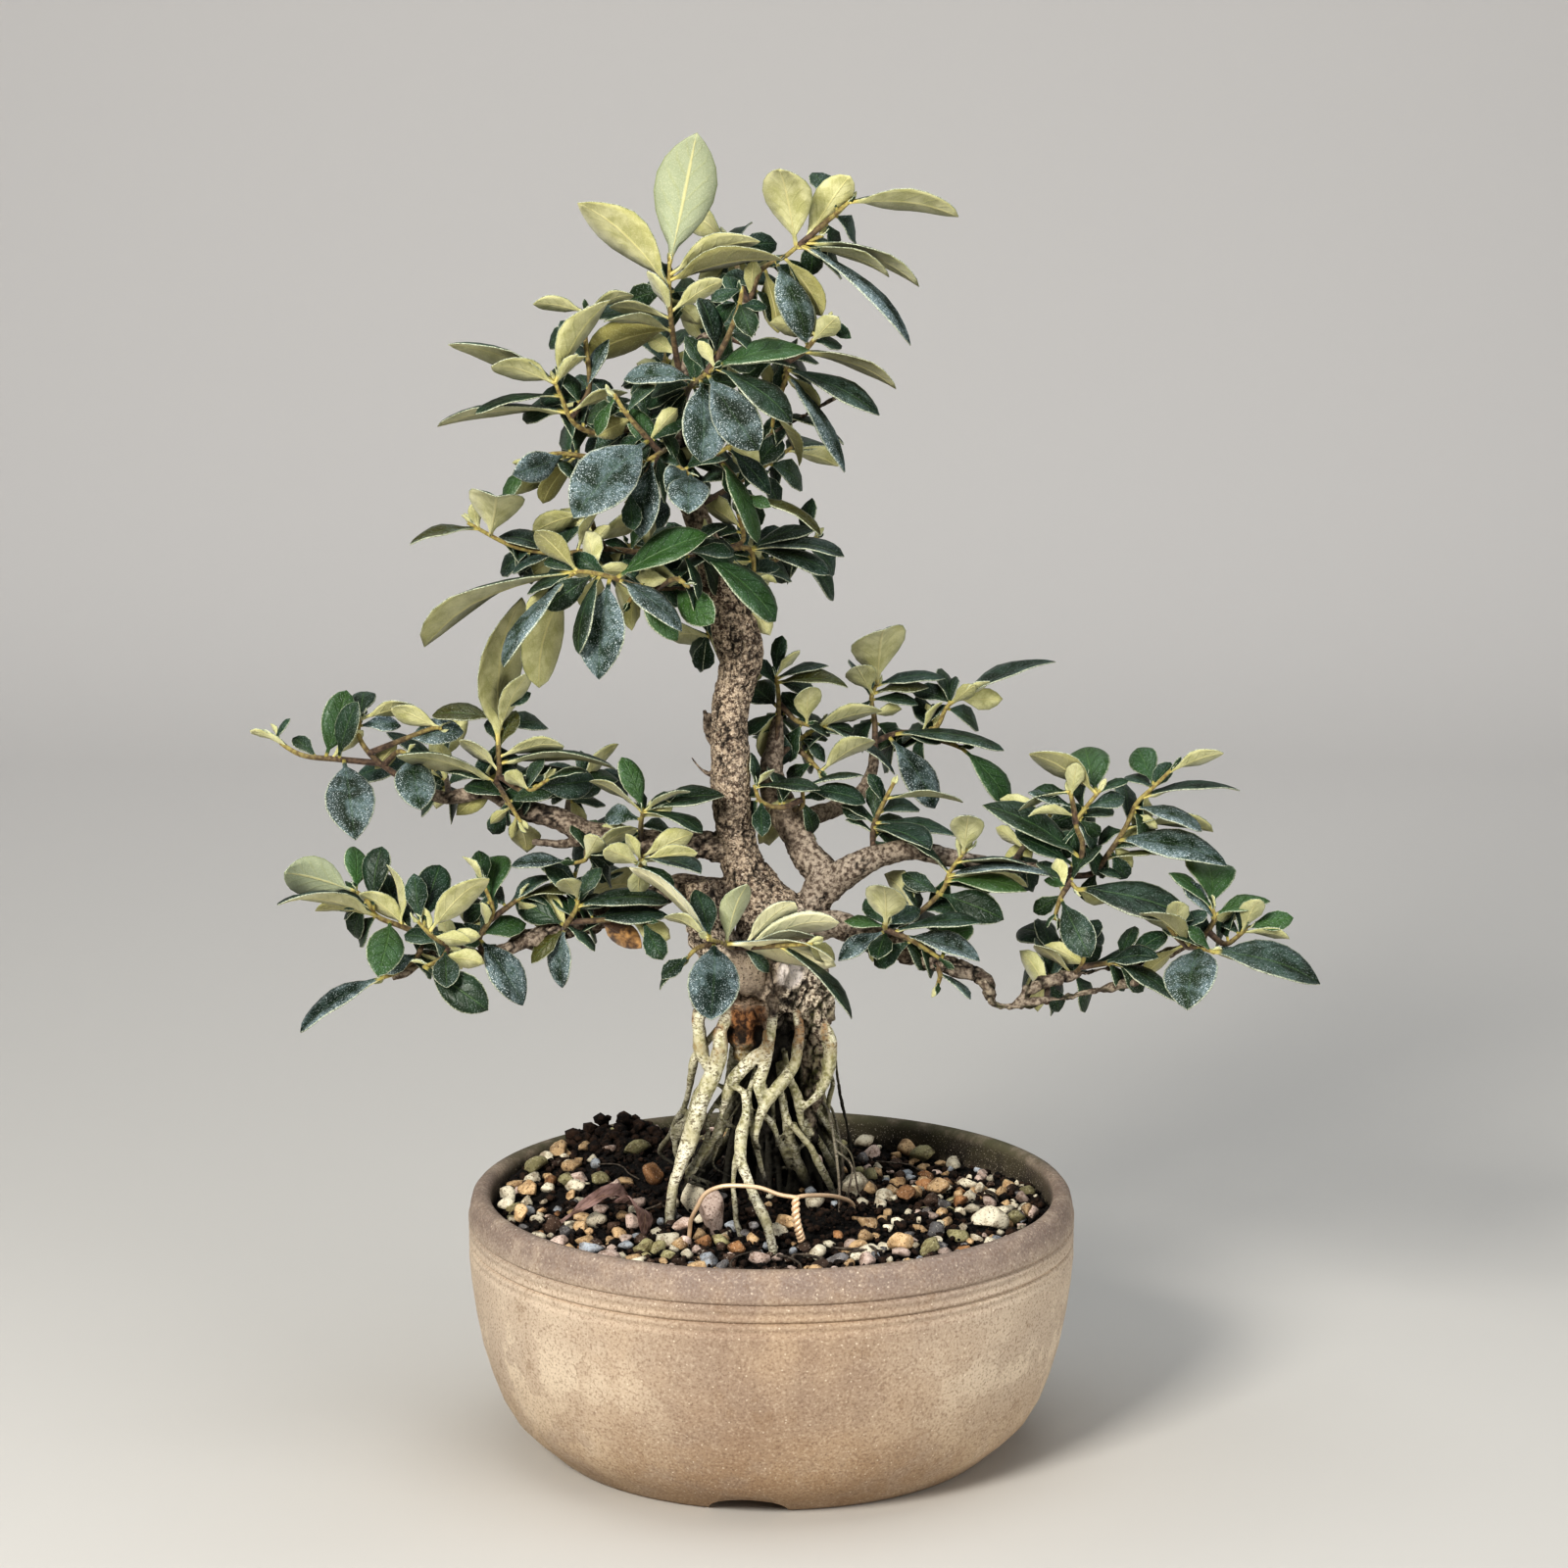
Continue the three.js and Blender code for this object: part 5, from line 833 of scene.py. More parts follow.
def repeat(name, template, shapes):
    """One object with a copy of the template for each array of vertex places, in metres."""
    source = template.data
    shapes = np.asarray(shapes)
    copies, vertices = len(shapes), len(source.vertices)
    corners = np.empty(len(source.loops), np.int32)
    source.loops.foreach_get("vertex_index", corners)
    starts = np.empty(len(source.polygons), np.int32)
    source.polygons.foreach_get("loop_start", starts)
    slots = np.empty(len(source.polygons), np.int32)
    source.polygons.foreach_get("material_index", slots)
    mesh = bpy.data.meshes.new(name)
    mesh.vertices.add(copies * vertices)
    mesh.vertices.foreach_set("co", shapes.astype(np.float32).ravel())
    mesh.loops.add(copies * len(corners))
    each = np.arange(copies)[:, None]
    mesh.loops.foreach_set("vertex_index", (each * vertices + corners).ravel().astype(np.int32))
    mesh.polygons.add(copies * len(starts))
    mesh.polygons.foreach_set("loop_start", (each * len(corners) + starts).ravel().astype(np.int32))
    mesh.polygons.foreach_set("material_index", np.tile(slots, copies))
    if source.uv_layers:
        uvs = np.empty(len(corners) * 2, np.float32)
        source.uv_layers[0].data.foreach_get("uv", uvs)
        mesh.uv_layers.new(name="UVMap").data.foreach_set("uv", np.tile(uvs, copies))
    mesh.update(calc_edges=True)
    obj = bpy.data.objects.new(name, mesh)
    scene.collection.objects.link(obj)
    return obj


def finish_piece(obj, materials, slot, *nodes):
    """Smooth shading, materials, and the piece's place in the frame."""
    active(obj)
    bpy.ops.object.shade_smooth()
    if materials:
        obj.data.materials.clear()
        for material in materials:
            obj.data.materials.append(material)
    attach(obj, "root")
    if nodes:
        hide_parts(*nodes)
    return obj


# Materials.

def colour(red, green, blue):
    """A screen colour from 0 to 255 as Blender's own values."""
    values = []
    for level in (red, green, blue):
        share = level / 255
        values.append(share / 12.92 if share <= 0.04045 else ((share + 0.055) / 1.055) ** 2.4)
    return (*values, 1.0)


class Signal:
    """A number that varies over a surface; arithmetic on it adds Math nodes."""

    def __init__(self, finish, socket):
        self.finish = finish
        self.socket = socket

    def maths(self, operation, *values):
        return self.finish.node("ShaderNodeMath", {"operation": operation}, dict(enumerate(values)))

    def __add__(self, other):
        return self.maths("ADD", self, other)

    def __sub__(self, other):
        return self.maths("SUBTRACT", self, other)

    def __rsub__(self, other):
        return self.maths("SUBTRACT", other, self)

    def __mul__(self, other):
        return self.maths("MULTIPLY", self, other)

    def __abs__(self):
        return self.maths("ABSOLUTE", self)

    def fraction(self):
        return self.maths("FRACT", self)

    def ramp(self, low, high, start=0.0, end=1.0):
        """An easy slope from start at low to end at high."""
        settings = {"interpolation_type": "SMOOTHSTEP"}
        sockets = {"Value": self, "From Min": low, "From Max": high, "To Min": start, "To Max": end}
        return self.finish.node("ShaderNodeMapRange", settings, sockets)

    __radd__ = __add__
    __rmul__ = __mul__


class Finish:
    """A material under construction."""

    def __init__(self, name, **fixed):
        self.material = bpy.data.materials.new(name)
        self.material.use_nodes = True
        self.tree = self.material.node_tree
        self.shader = self.tree.nodes["Principled BSDF"]
        for socket, value in fixed.items():
            self.shader.inputs[socket.replace("_", " ")].default_value = value

    def connect(self, socket, value):
        if isinstance(value, Signal):
            self.tree.links.new(value.socket, socket)
        else:
            socket.default_value = value

    def node(self, kind, settings, sockets, output=0):
        made = self.tree.nodes.new(kind)
        for key, value in settings.items():
            setattr(made, key, value)
        for key, value in sockets.items():
            self.connect(made.inputs[key], value)
        return Signal(self, made.outputs[output])

    def place(self):
        return self.node("ShaderNodeTexCoord", {}, {}, "Object")

    def blade_place(self):
        """Shares along and across a leaf."""
        where = self.node("ShaderNodeUVMap", {"uv_map": "UVMap"}, {})
        along = self.node("ShaderNodeSeparateXYZ", {}, {"Vector": where}, "X")
        across = self.node("ShaderNodeSeparateXYZ", {}, {"Vector": where}, "Y")
        return along, across

    def axis(self, name):
        """Distance along the row's X, Y or Z, in metres."""
        return self.node("ShaderNodeSeparateXYZ", {}, {"Vector": self.place()}, name)

    def painted(self, name):
        return self.node("ShaderNodeAttribute", {"attribute_name": name}, {}, "Color")

    def channels(self, name):
        """The three channels of a painted colour."""
        sockets = {"Color": self.painted(name)}
        return [self.node("ShaderNodeSeparateColor", {}, sockets, part) for part in ("Red", "Green", "Blue")]

    def clouds(self, size, detail=3, stretch=None, roughness=0.55):
        """Noise from 0 to 1 with lumps of about this many millimetres."""
        where = self.place()
        if stretch:
            where = self.node("ShaderNodeMapping", {}, {"Vector": where, "Scale": stretch})
        sockets = {"Vector": where, "Scale": 1 / (size * MM), "Detail": detail, "Roughness": roughness}
        return self.node("ShaderNodeTexNoise", {}, sockets)

    def cells(self, size):
        """Distance from scattered points that lie about this many millimetres apart."""
        sockets = {"Vector": self.place(), "Scale": 1 / (size * MM)}
        return self.node("ShaderNodeTexVoronoi", {"feature": "F1"}, sockets, "Distance")

    def mix(self, share, first, second, blend="MIX"):
        """first where share is 0, second where it is 1; each a signal or a screen colour."""
        first, second = (tone if isinstance(tone, Signal) else colour(*tone) for tone in (first, second))
        settings = {"data_type": "RGBA", "blend_type": blend, "clamp_factor": True}
        return self.node("ShaderNodeMix", settings, {0: share, 6: first, 7: second}, 2)

    def layered(self, base, *layers):
        """The base with each (share, tone) laid over it in turn."""
        for share, tone in layers:
            base = self.mix(share, base, tone)
        return base

    def done(self, base, roughness, height=None, depth=0.2, strength=0.6):
        """Feeds the shader; height is a relief of this many millimetres."""
        self.connect(self.shader.inputs["Base Color"], base)
        self.connect(self.shader.inputs["Roughness"], roughness)
        if height is not None:
            sockets = {"Strength": strength, "Distance": depth * MM, "Height": height}
            normal = self.node("ShaderNodeBump", {}, sockets)
            self.connect(self.shader.inputs["Normal"], normal)
        return self.material


def leaf_pattern(finish):
    """Masks on a leaf: stalk, midrib, side veins, and the share from midrib to margin."""
    along, across = finish.blade_place()
    from_middle = abs(across * 2 - 1)
    stalk = along.ramp(0.08, 0.15, 1, 0)
    midrib = from_middle.ramp(0.02, 0.08, 1, 0)
    waver = finish.clouds(3, 1)
    phase = ((along - from_middle * 0.22) * 8 + waver * 0.4).fraction()
    veins = abs(phase - 0.5).ramp(0.34, 0.5) * from_middle.ramp(0.98, 0.5)
    return stalk, midrib, veins, from_middle


def leaf_top_material():
    finish = Finish("leaf_upper_side", Specular_IOR_Level=0.3)
    stalk, midrib, veins, from_middle = leaf_pattern(finish)
    bloom, fresh, olive = finish.channels("leaf")
    broad = finish.clouds(8, 2)
    dust = finish.clouds(1.2, 4, roughness=0.7)
    hairs = finish.clouds(0.4, 2)
    outer = from_middle.ramp(0.15, 1)
    coat = broad.ramp(0.4, 0.58) * 0.6 + outer * 0.4
    frost = hairs.ramp(0.55, 0.66) * (bloom * (outer * 0.5 + 0.15) + 0.11)
    rim = from_middle.ramp(0.9, 1) * (hairs.ramp(0.4, 0.55) * 0.6 + 0.25)
    base = finish.layered(
        finish.mix(broad.ramp(0.35, 0.7), (14, 32, 24), (32, 58, 40)),
        (fresh * 0.85, (72, 108, 54)),
        (olive * 0.7, (92, 88, 40)),
        (veins * 0.3, (12, 28, 20)),
        (bloom * coat * dust.ramp(0.34, 0.58, 0.3, 1), (116, 130, 134)),
        (frost, (222, 230, 232)),
        (midrib * (0.35 - bloom * 0.25), (96, 124, 76)),
        (rim, (202, 206, 182)),
        (stalk, (168, 158, 96)),
        ((fresh * olive).ramp(0.5, 0.9), finish.mix(dust, (78, 54, 38), (160, 122, 84))),
    )
    relief = broad * 0.2 + dust * 0.35 - midrib * 0.8 - veins * 0.5
    return finish.done(base, bloom * 0.35 + 0.4, relief, depth=0.35)


def leaf_under_material():
    finish = Finish("leaf_felted_underside", Sheen_Weight=0.3, Sheen_Roughness=0.6)
    stalk, midrib, veins, from_middle = leaf_pattern(finish)
    cream_and_painted_light, fresh, olive = finish.channels("leaf")
    patches = finish.clouds(5, 3)
    felt = finish.clouds(0.35, 3)
    base = finish.layered(
        finish.mix(patches.ramp(0.3, 0.7), (176, 174, 116), (214, 211, 162)),
        # Much paler cream where the red channel is high: painted light on the rosette's lit undersides, and
        # the pale undersides of bloomed leaves.
        (cream_and_painted_light.ramp(0.5, 0.8), (250, 245, 202)),
        # Darker olive: partly the leaf's own olive, partly painted shade on undersides in shade.
        (olive * 0.85, (132, 126, 68)),
        (fresh * 0.9, (152, 162, 138)),
        (veins * 0.22, (158, 160, 100)),
        (felt.ramp(0.5, 0.7) * 0.3, (226, 222, 182)),
        (felt.ramp(0.3, 0.45, 1, 0) * 0.3, (140, 138, 86)),
        (midrib * 0.6, (216, 208, 150)),
        (from_middle.ramp(0.91, 1) * 0.5, (112, 122, 72)),
        (stalk, (206, 192, 120)),
        ((fresh * olive).ramp(0.5, 0.9), finish.mix(patches.ramp(0.4, 0.6), (78, 54, 34), (188, 148, 96))),
    )
    relief = felt * 0.4 + veins * 0.3 + midrib * 0.8
    return finish.done(base, 0.88, relief, depth=0.35)


def stem_material():
    finish = Finish("young_stem", Sheen_Weight=0.2)
    youth, _, _ = finish.channels("leaf")
    grain = finish.clouds(1.2, 3)
    young = finish.mix(grain.ramp(0.35, 0.65), (164, 154, 92), (124, 106, 64))
    old = finish.mix(grain.ramp(0.35, 0.65), (100, 82, 66), (58, 44, 36))
    base = finish.mix(youth, old, young)
    return finish.done(base, 0.75, grain, depth=0.2)


def bark_material():
    finish = Finish("bark_and_roots")
    crack, root, twig = finish.channels("wood")
    # Damp moss, rust, and painted shade where the wood lies hidden among the roots.
    damp, rust, dark = finish.channels("stain_and_shade")
    crust, slab, scar = finish.channels("crust")
    coarse = finish.clouds(6, 4)
    medium = finish.clouds(1.3, 4)
    fine = finish.clouds(0.55, 3)
    pits = finish.clouds(1.1, 2, stretch=(1, 1, 2.2))
    rough = 1 - twig * 0.6
    bark = finish.layered(
        finish.mix(medium.ramp(0.38, 0.6), (72, 58, 48), (176, 160, 140)),
        (coarse.ramp(0.45, 0.7) * 0.35, (200, 184, 164)),
        (fine.ramp(0.34, 0.44, 1, 0) * 0.6, (226, 214, 196)),
        (crust * medium.ramp(0.42, 0.54) * 0.85, (226, 214, 196)),
        (slab * fine.ramp(0.3, 0.5, 0.6, 1), (210, 194, 174)),
        (twig * 0.9, finish.mix(medium.ramp(0.35, 0.65), (88, 76, 66), (150, 138, 124))),
        (fine.ramp(0.54, 0.64) * rough * 0.6, (70, 54, 43)),
        (pits.ramp(0.58, 0.66) * rough * 0.85, (44, 32, 25)),
        (crack, (22, 16, 12)),
        (scar * medium.ramp(0.3, 0.5, 0.5, 1) * 0.9, (226, 218, 214)),
    )
    root_skin = finish.layered(
        finish.mix(coarse.ramp(0.3, 0.7), (192, 186, 154), (234, 230, 210)),
        (medium.ramp(0.52, 0.64) * 0.5, (134, 122, 84)),
        (pits.ramp(0.53, 0.59) * coarse.ramp(0.38, 0.52) * 0.7, (88, 70, 52)),
        (fine.ramp(0.66, 0.7) * 0.8, (70, 56, 44)),
    )
    moss = finish.mix(fine.ramp(0.35, 0.65), (58, 66, 26), (132, 134, 66))
    scab = finish.mix(medium.ramp(0.4, 0.6), (82, 54, 36), (158, 116, 78))
    base = finish.layered(
        bark,
        (root, root_skin),
        (damp * medium.ramp(0.38, 0.58), moss),
        (rust * coarse.ramp(0.2, 0.5, 0.6, 1), scab),
        # Painted shade.
        (dark, (20, 16, 11)),
    )
    relief = medium * 0.5 + fine * 0.5 - pits.ramp(0.6, 0.72) * 0.5
    return finish.done(base, 0.85, relief, depth=0.7)


def clay_material():
    finish = Finish("unglazed_clay")
    side, back, height = (finish.axis(name) for name in "XYZ")
    inside, _, _ = finish.channels("clay")
    broad = finish.clouds(45, 3)
    mottle = finish.clouds(8, 4)
    blotch = finish.clouds(16, 5, roughness=0.65)
    grain = finish.clouds(0.8, 4)
    grit = finish.clouds(0.45, 2)
    specks = finish.cells(2.6)
    # Paler left and right flanks: painted light on the sides of the pot.
    painted_light_flanks = side.ramp(-0.09, -0.01, 1, 0) + side.ramp(0.01, 0.08)
    salt = blotch.ramp(0.48, 0.55) * painted_light_flanks * height.ramp(0.035, 0.062, 1, 0.25)
    foot = height.ramp(0.006, 0.045, 1, 0) * mottle.ramp(0.3, 0.6, 0.3, 1)
    lip = height.ramp(0.062, 0.0745) * mottle.ramp(0.25, 0.6, 0.5, 0.95)
    algae = back.ramp(0.0, 0.05) * height.ramp(0.066, 0.074) * mottle.ramp(0.3, 0.6, 0.5, 0.95)
    # Dark inside wall above the soil: grime and painted shade, with pale specks.
    grime_and_shade = finish.mix(mottle.ramp(0.35, 0.65), (30, 26, 20), (74, 68, 52))
    base = finish.layered(
        finish.mix(broad.ramp(0.35, 0.65), (152, 134, 117), (170, 150, 128)),
        (mottle.ramp(0.45, 0.7) * 0.4, (140, 120, 104)),
        # Painted light on the flanks.
        (painted_light_flanks * 0.6, (210, 196, 178)),
        (salt * 0.65, (224, 210, 188)),
        (blotch.ramp(0.4, 0.3) * 0.4, (136, 112, 88)),
        (foot * 0.5, (156, 128, 94)),
        (lip, (136, 122, 113)),
        (grain.ramp(0.5, 0.66) * 0.5, (122, 100, 82)),
        (grain.ramp(0.32, 0.46, 1, 0) * 0.35, (206, 190, 170)),
        (grit.ramp(0.64, 0.7) * 0.6, (96, 76, 62)),
        (specks.ramp(0.07, 0.12, 1, 0) * 0.5, (234, 222, 202)),
        (algae, (84, 82, 60)),
        (inside, finish.mix(grit.ramp(0.62, 0.68), grime_and_shade, (196, 186, 170))),
    )
    return finish.done(base, 0.8, grain * 0.7 + mottle * 0.3, depth=0.4)


def soil_material(name, dark, light):
    finish = Finish(name)
    lumps = finish.clouds(3.5, 4)
    grit = finish.clouds(0.8, 3)
    base = finish.mix(lumps.ramp(0.38, 0.68), dark, light)
    base = finish.mix(grit.ramp(0.62, 0.72) * 0.5, base, (104, 82, 62))
    return finish.done(base, 0.95, lumps + grit, depth=0.9, strength=0.9)


def stone_material():
    finish = Finish("gravel")
    broad = finish.clouds(3, 3)
    grit = finish.clouds(0.6, 3)
    base = finish.layered(
        finish.mix(broad.ramp(0.45, 0.7) * 0.6, finish.painted("stone"), (130, 104, 78), "MULTIPLY"),
        (grit.ramp(0.57, 0.66) * 0.7, (58, 44, 34)),
        (grit.ramp(0.3, 0.42, 1, 0) * 0.4, (230, 224, 210)),
    )
    return finish.done(base, 0.8, broad * 0.4 + grit * 0.6, depth=0.35)


def wire_material():
    finish = Finish("copper_toned_wire", Metallic=0.3)
    grain = finish.clouds(1.5, 2)
    base = finish.mix(grain, (244, 220, 190), (222, 190, 156))
    return finish.done(base, grain * 0.2 + 0.3, grain, depth=0.05)


def dry_material():
    finish = Finish("dead_leaf")
    _, midrib, veins, _ = leaf_pattern(finish)
    patches = finish.clouds(4, 4)
    base = finish.layered(
        finish.mix(patches.ramp(0.35, 0.65), (148, 124, 118), (92, 70, 62)),
        (veins * 0.5, (150, 128, 112)),
        (midrib * 0.6, (160, 134, 110)),
    )
    return finish.done(base, 0.85, patches + veins * 0.6, depth=0.5)


def screen_material():
    finish = Finish("drain_net")
    grain = finish.clouds(0.8, 2)
    base = finish.mix(grain, (24, 25, 28), (44, 45, 48))
    return finish.done(base, 0.6, grain, depth=0.1)


# Camera, floor and light.

def make_camera():
    bpy.ops.object.camera_add(rotation=(math.radians(90 - CAMERA_PITCH), 0, 0))
    camera = bpy.context.object
    camera.location = in_row(CAMERA_PLACE)
    camera.data.lens = LENS
    camera.data.sensor_width = SENSOR
    camera.data.clip_start = 0.05
    camera.data.clip_end = 30
    scene.camera = camera


def make_floor():
    """A pale sweep: the floor runs back and curves up into a wall far behind the pot."""
    bend = SWEEP_FLOOR[-1][0]
    profile = list(SWEEP_FLOOR)
    for step in range(1, SWEEP_STEPS + 1):
        turn = math.radians(90 * step / SWEEP_STEPS)
        profile.append((bend + SWEEP_CURVE * math.sin(turn), SWEEP_CURVE - SWEEP_CURVE * math.cos(turn)))
    profile.append((bend + SWEEP_CURVE, WALL_TOP))
    bpy.ops.mesh.primitive_grid_add(x_subdivisions=1, y_subdivisions=len(profile) - 1, size=2)
    sweep = bpy.context.object
    sweep.name = "floor_sweep"
    places = places_of(sweep)
    rows = np.rint((places[:, 1] + 1) / 2 * (len(profile) - 1)).astype(int)
    across = places[:, 0] * SWEEP_HALF_WIDTH
    set_places(sweep, np.column_stack([across, np.array(profile)[rows]]))
    bpy.ops.object.shade_smooth()
    finish = Finish("pale_paper")
    paper = finish.mix(finish.axis("Y").ramp(0.2, 1.7), (194, 191, 185), (236, 232, 226))
    sweep.data.materials.append(finish.done(paper, 0.9))


def soft_light(name, place, size, power, tint):
    bpy.ops.object.light_add(type="AREA")
    light = bpy.context.object
    light.name = name
    light.data.size = size
    light.data.energy = power
    light.data.color = tint
    light.location = place
    aim = np.array(LIGHT_TARGET) - np.array(place)
    yaw = math.atan2(aim[1], aim[0])
    pitch = math.atan2(aim[2], math.hypot(aim[0], aim[1]))
    light.rotation_euler = (math.pi / 2 + pitch, 0, yaw - math.pi / 2)


def make_light():
    world = bpy.data.worlds.new("soft_daylight")
    world.use_nodes = True
    sky = world.node_tree.nodes["Background"]
    sky.inputs["Color"].default_value = SKY_TINT
    sky.inputs["Strength"].default_value = SKY_STRENGTH
    scene.world = world
    for name, (place, size, power, tint) in LIGHTS.items():
        soft_light(name, place, size, power, tint)
    scene.view_settings.view_transform = "Standard"
    scene.view_settings.look = "High Contrast"


# Pot, screen, soil and gravel.

def spun(name, profile, steps, closed):
    """A profile of (radius, height) in millimetres turned round the pot's axis."""
    bpy.ops.mesh.primitive_circle_add(vertices=len(profile), radius=1)
    obj = bpy.context.object
    obj.name = name
    heights = np.array(profile, float)
    places = np.column_stack([heights[:, 0], np.zeros(len(heights)), heights[:, 1]])
    set_places(obj, in_row(places))
    bpy.ops.object.mode_set(mode="EDIT")
    if not closed:
        bpy.ops.mesh.select_all(action="DESELECT")
        bpy.ops.object.mode_set(mode="OBJECT")
        for edge in obj.data.edges:
            edge.select = set(edge.vertices) == {0, len(profile) - 1}
        bpy.ops.object.mode_set(mode="EDIT")
        bpy.ops.mesh.select_mode(type="EDGE")
        bpy.ops.mesh.delete(type="EDGE_FACE")
        bpy.ops.mesh.select_mode(type="VERT")
    bpy.ops.mesh.select_all(action="SELECT")
    bpy.ops.mesh.spin(steps=steps, angle=FULL_TURN, center=tuple(POT_AXIS), axis=(0, 0, 1))
    bpy.ops.mesh.select_all(action="SELECT")
    bpy.ops.mesh.remove_doubles(threshold=1e-6)
    bpy.ops.mesh.normals_make_consistent(inside=False)
    bpy.ops.object.mode_set(mode="OBJECT")
    return obj


def groove_profile():
    """The wall between the belly and the lip, with its grooves and soft dips."""
    points = []
    for height in np.arange(58.4, 70.8, 0.4):
        cut = sum(math.exp(-(((height - middle) / GROOVE_WIDTH) ** 2)) for middle in GROOVES)
        dip = sum(math.exp(-(((height - middle) / DIP_WIDTH) ** 2)) for middle in DIPS)
        points.append((WALL_RADIUS - GROOVE_DEPTH * cut - DIP_DEPTH * dip, height))
    return points


def make_pot(material):
    profile = [*POT_OUTSIDE, *groove_profile(), *POT_LIP, *POT_INSIDE]
    pot = spun("clay_pot", profile, POT_STEPS, closed=True)
    cutters = []
    for notch in range(NOTCHES):
        clock = math.radians(FIRST_NOTCH_CLOCK + 360 / NOTCHES * notch)
        middle = in_row((NOTCH_CENTRE * math.cos(clock), NOTCH_CENTRE * math.sin(clock), 0))
        bpy.ops.mesh.primitive_cylinder_add(
            vertices=48, radius=1, depth=NOTCH_LENGTH * MM, location=middle
        )
        cutter = bpy.context.object
        cutter.rotation_euler = (math.pi / 2, 0, clock + math.pi / 2)
        cutter.scale = (NOTCH_HALF_WIDTH * MM, NOTCH_HEIGHT * MM, 1)
        bpy.ops.object.transform_apply(location=True, rotation=True, scale=True)
        cutters.append(cutter)
    for cutter in cutters:
        active(pot)
        cut = pot.modifiers.new("notch", "BOOLEAN")
        cut.operation = "DIFFERENCE"
        cut.solver = "EXACT"
        cut.object = cutter
        bpy.ops.object.modifier_apply(modifier="notch")
        bpy.data.objects.remove(cutter)
    places = places_of(pot)
    outward = (places - POT_AXIS) * (1, 1, 0)
    outward /= np.linalg.norm(outward, axis=1)[:, None]
    spots = (places - POT_AXIS) / MM
    x, y, z = spots.T
    wobble = (cloud(spots, 38) - 0.5) * 0.5 + (cloud(spots, 9, 1) - 0.5) * 0.12
    standing = smooth(z, 1, 8)
    set_places(pot, places + outward * (wobble * standing * MM)[:, None])
    # The inside wall above the soil, which the clay material paints dark with grime and painted shade.
    inside = smooth(np.hypot(x, y), 84.4, 82.6) * smooth(z, 76.2, 74.6) * smooth(z, 60, 64)
    paint(pot, "clay", np.column_stack([inside, inside, inside]))
    finish_piece(pot, [material], "clay", "pot")
    bpy.ops.object.shade_smooth_by_angle(angle=math.radians(50))


def make_soil(material):
    top = [(SOIL_RADIUS * share, SOIL_LEVEL) for share in np.linspace(1, 0, SOIL_RINGS)]
    soil = spun("soil", [*SOIL_UNDERSIDE, *top], SOIL_STEPS, closed=False)
    x, y, z = ((places_of(soil) - POT_AXIS) / MM).T
    flat = np.column_stack([x, y, 0 * x])
    crumbs = (1 - smooth(plates(flat, 2.6), 0.0, 0.5)) * -0.8 + cloud(flat, 6, 2) * 2.2 - 1.4
    crumbs = crumbs + mound(x, y, *PEAT_PATCH) * (cloud(flat, 3.2, 3) * 3.2 - 1)
    z = np.where(z > SOIL_LEVEL - 1, soil_height(x, y) + crumbs, z)
    set_places(soil, in_row(np.column_stack([x, y, z])))
    finish_piece(soil, [material], "soil", "soil_and_gravel")


def lump_template(detail):
    bpy.ops.mesh.primitive_ico_sphere_add(subdivisions=detail, radius=1)
    return bpy.context.object


def lump(directions, x, y, z, size, seed, chips=0):
    """One worn stone or crumb: a dented ellipsoid with chipped faces, turned at random."""
    dents = 1 + 0.6 * (cloud(directions * 1.1 + seed * 7.3, 0.9) - 0.5)
    shape = directions * dents[:, None]
    for chip in range(chips):
        face = unit(np.array([draw(seed + chip + part) - 0.5 for part in (0.13, 0.29, 0.41)]))
        over = np.maximum(0, shape @ face - 0.42 - 0.3 * draw(seed + chip))
        shape = shape - np.outer(over, face)
    shape = shape * np.array(size) / 2
    turn = FULL_TURN * draw(seed + 0.5)
    tilt = 0.5 * (draw(seed + 0.7) - 0.5)
    spin = np.array([
        [math.cos(turn), -math.sin(turn), 0],
        [math.sin(turn), math.cos(turn), 0],
        [0, 0, 1],
    ])
    lean = np.array([
        [1, 0, 0],
        [0, math.cos(tilt), -math.sin(tilt)],
        [0, math.sin(tilt), math.cos(tilt)],
    ])
    return shape @ (spin @ lean).T + (x, y, z)


def stone_tint(kind, seed):
    base = np.array(colour(*STONE_COLOURS[kind])[:3])
    return base * (0.55 + 0.6 * draw(seed + 0.3))


def scattered(reach, first, second):
    """A seeded place within reach of the pot's axis, and its distance from the axis."""
    radius = reach * math.sqrt(draw(first))
    clock = FULL_TURN * draw(second)
    return radius * math.cos(clock), radius * math.sin(clock), radius


def gravel_spots():
    """Seeded places for the loose gravel, thin in the peaty corner and among the roots."""
    spots = []
    for k in range(GRAVEL_TRIES):
        x, y, radius = scattered(81.5, k * 1.7 + 3, k * 2.3 + 11)
        size = 2.8 + 4.4 * draw(k * 3.1 + 5) ** 1.4
        chance = 0.12 + 0.75 * min(1.0, max(0.0, (radius - 24) / 40))
        for gap_x, gap_y, spread, share in GRAVEL_GAPS:
            chance = chance - share * mound(x, y, gap_x, gap_y, spread)
        if draw(k * 4.7 + 2) > chance or radius + size / 2 > WALL_REACH:
            continue
        touching = (
            math.hypot(x - other_x, y - other_y) < (width + size) * GRAVEL_SPACING
            for other_x, other_y, width, *_ in spots[-700:]
        )
        if any(touching):
            continue
        height = size * (0.6 + 0.3 * draw(k + 0.9))
        kind = GRAVEL_MIX[int(len(GRAVEL_MIX) * draw(k * 5.3))]
        spots.append((x, y, size, height, kind))
    return spots


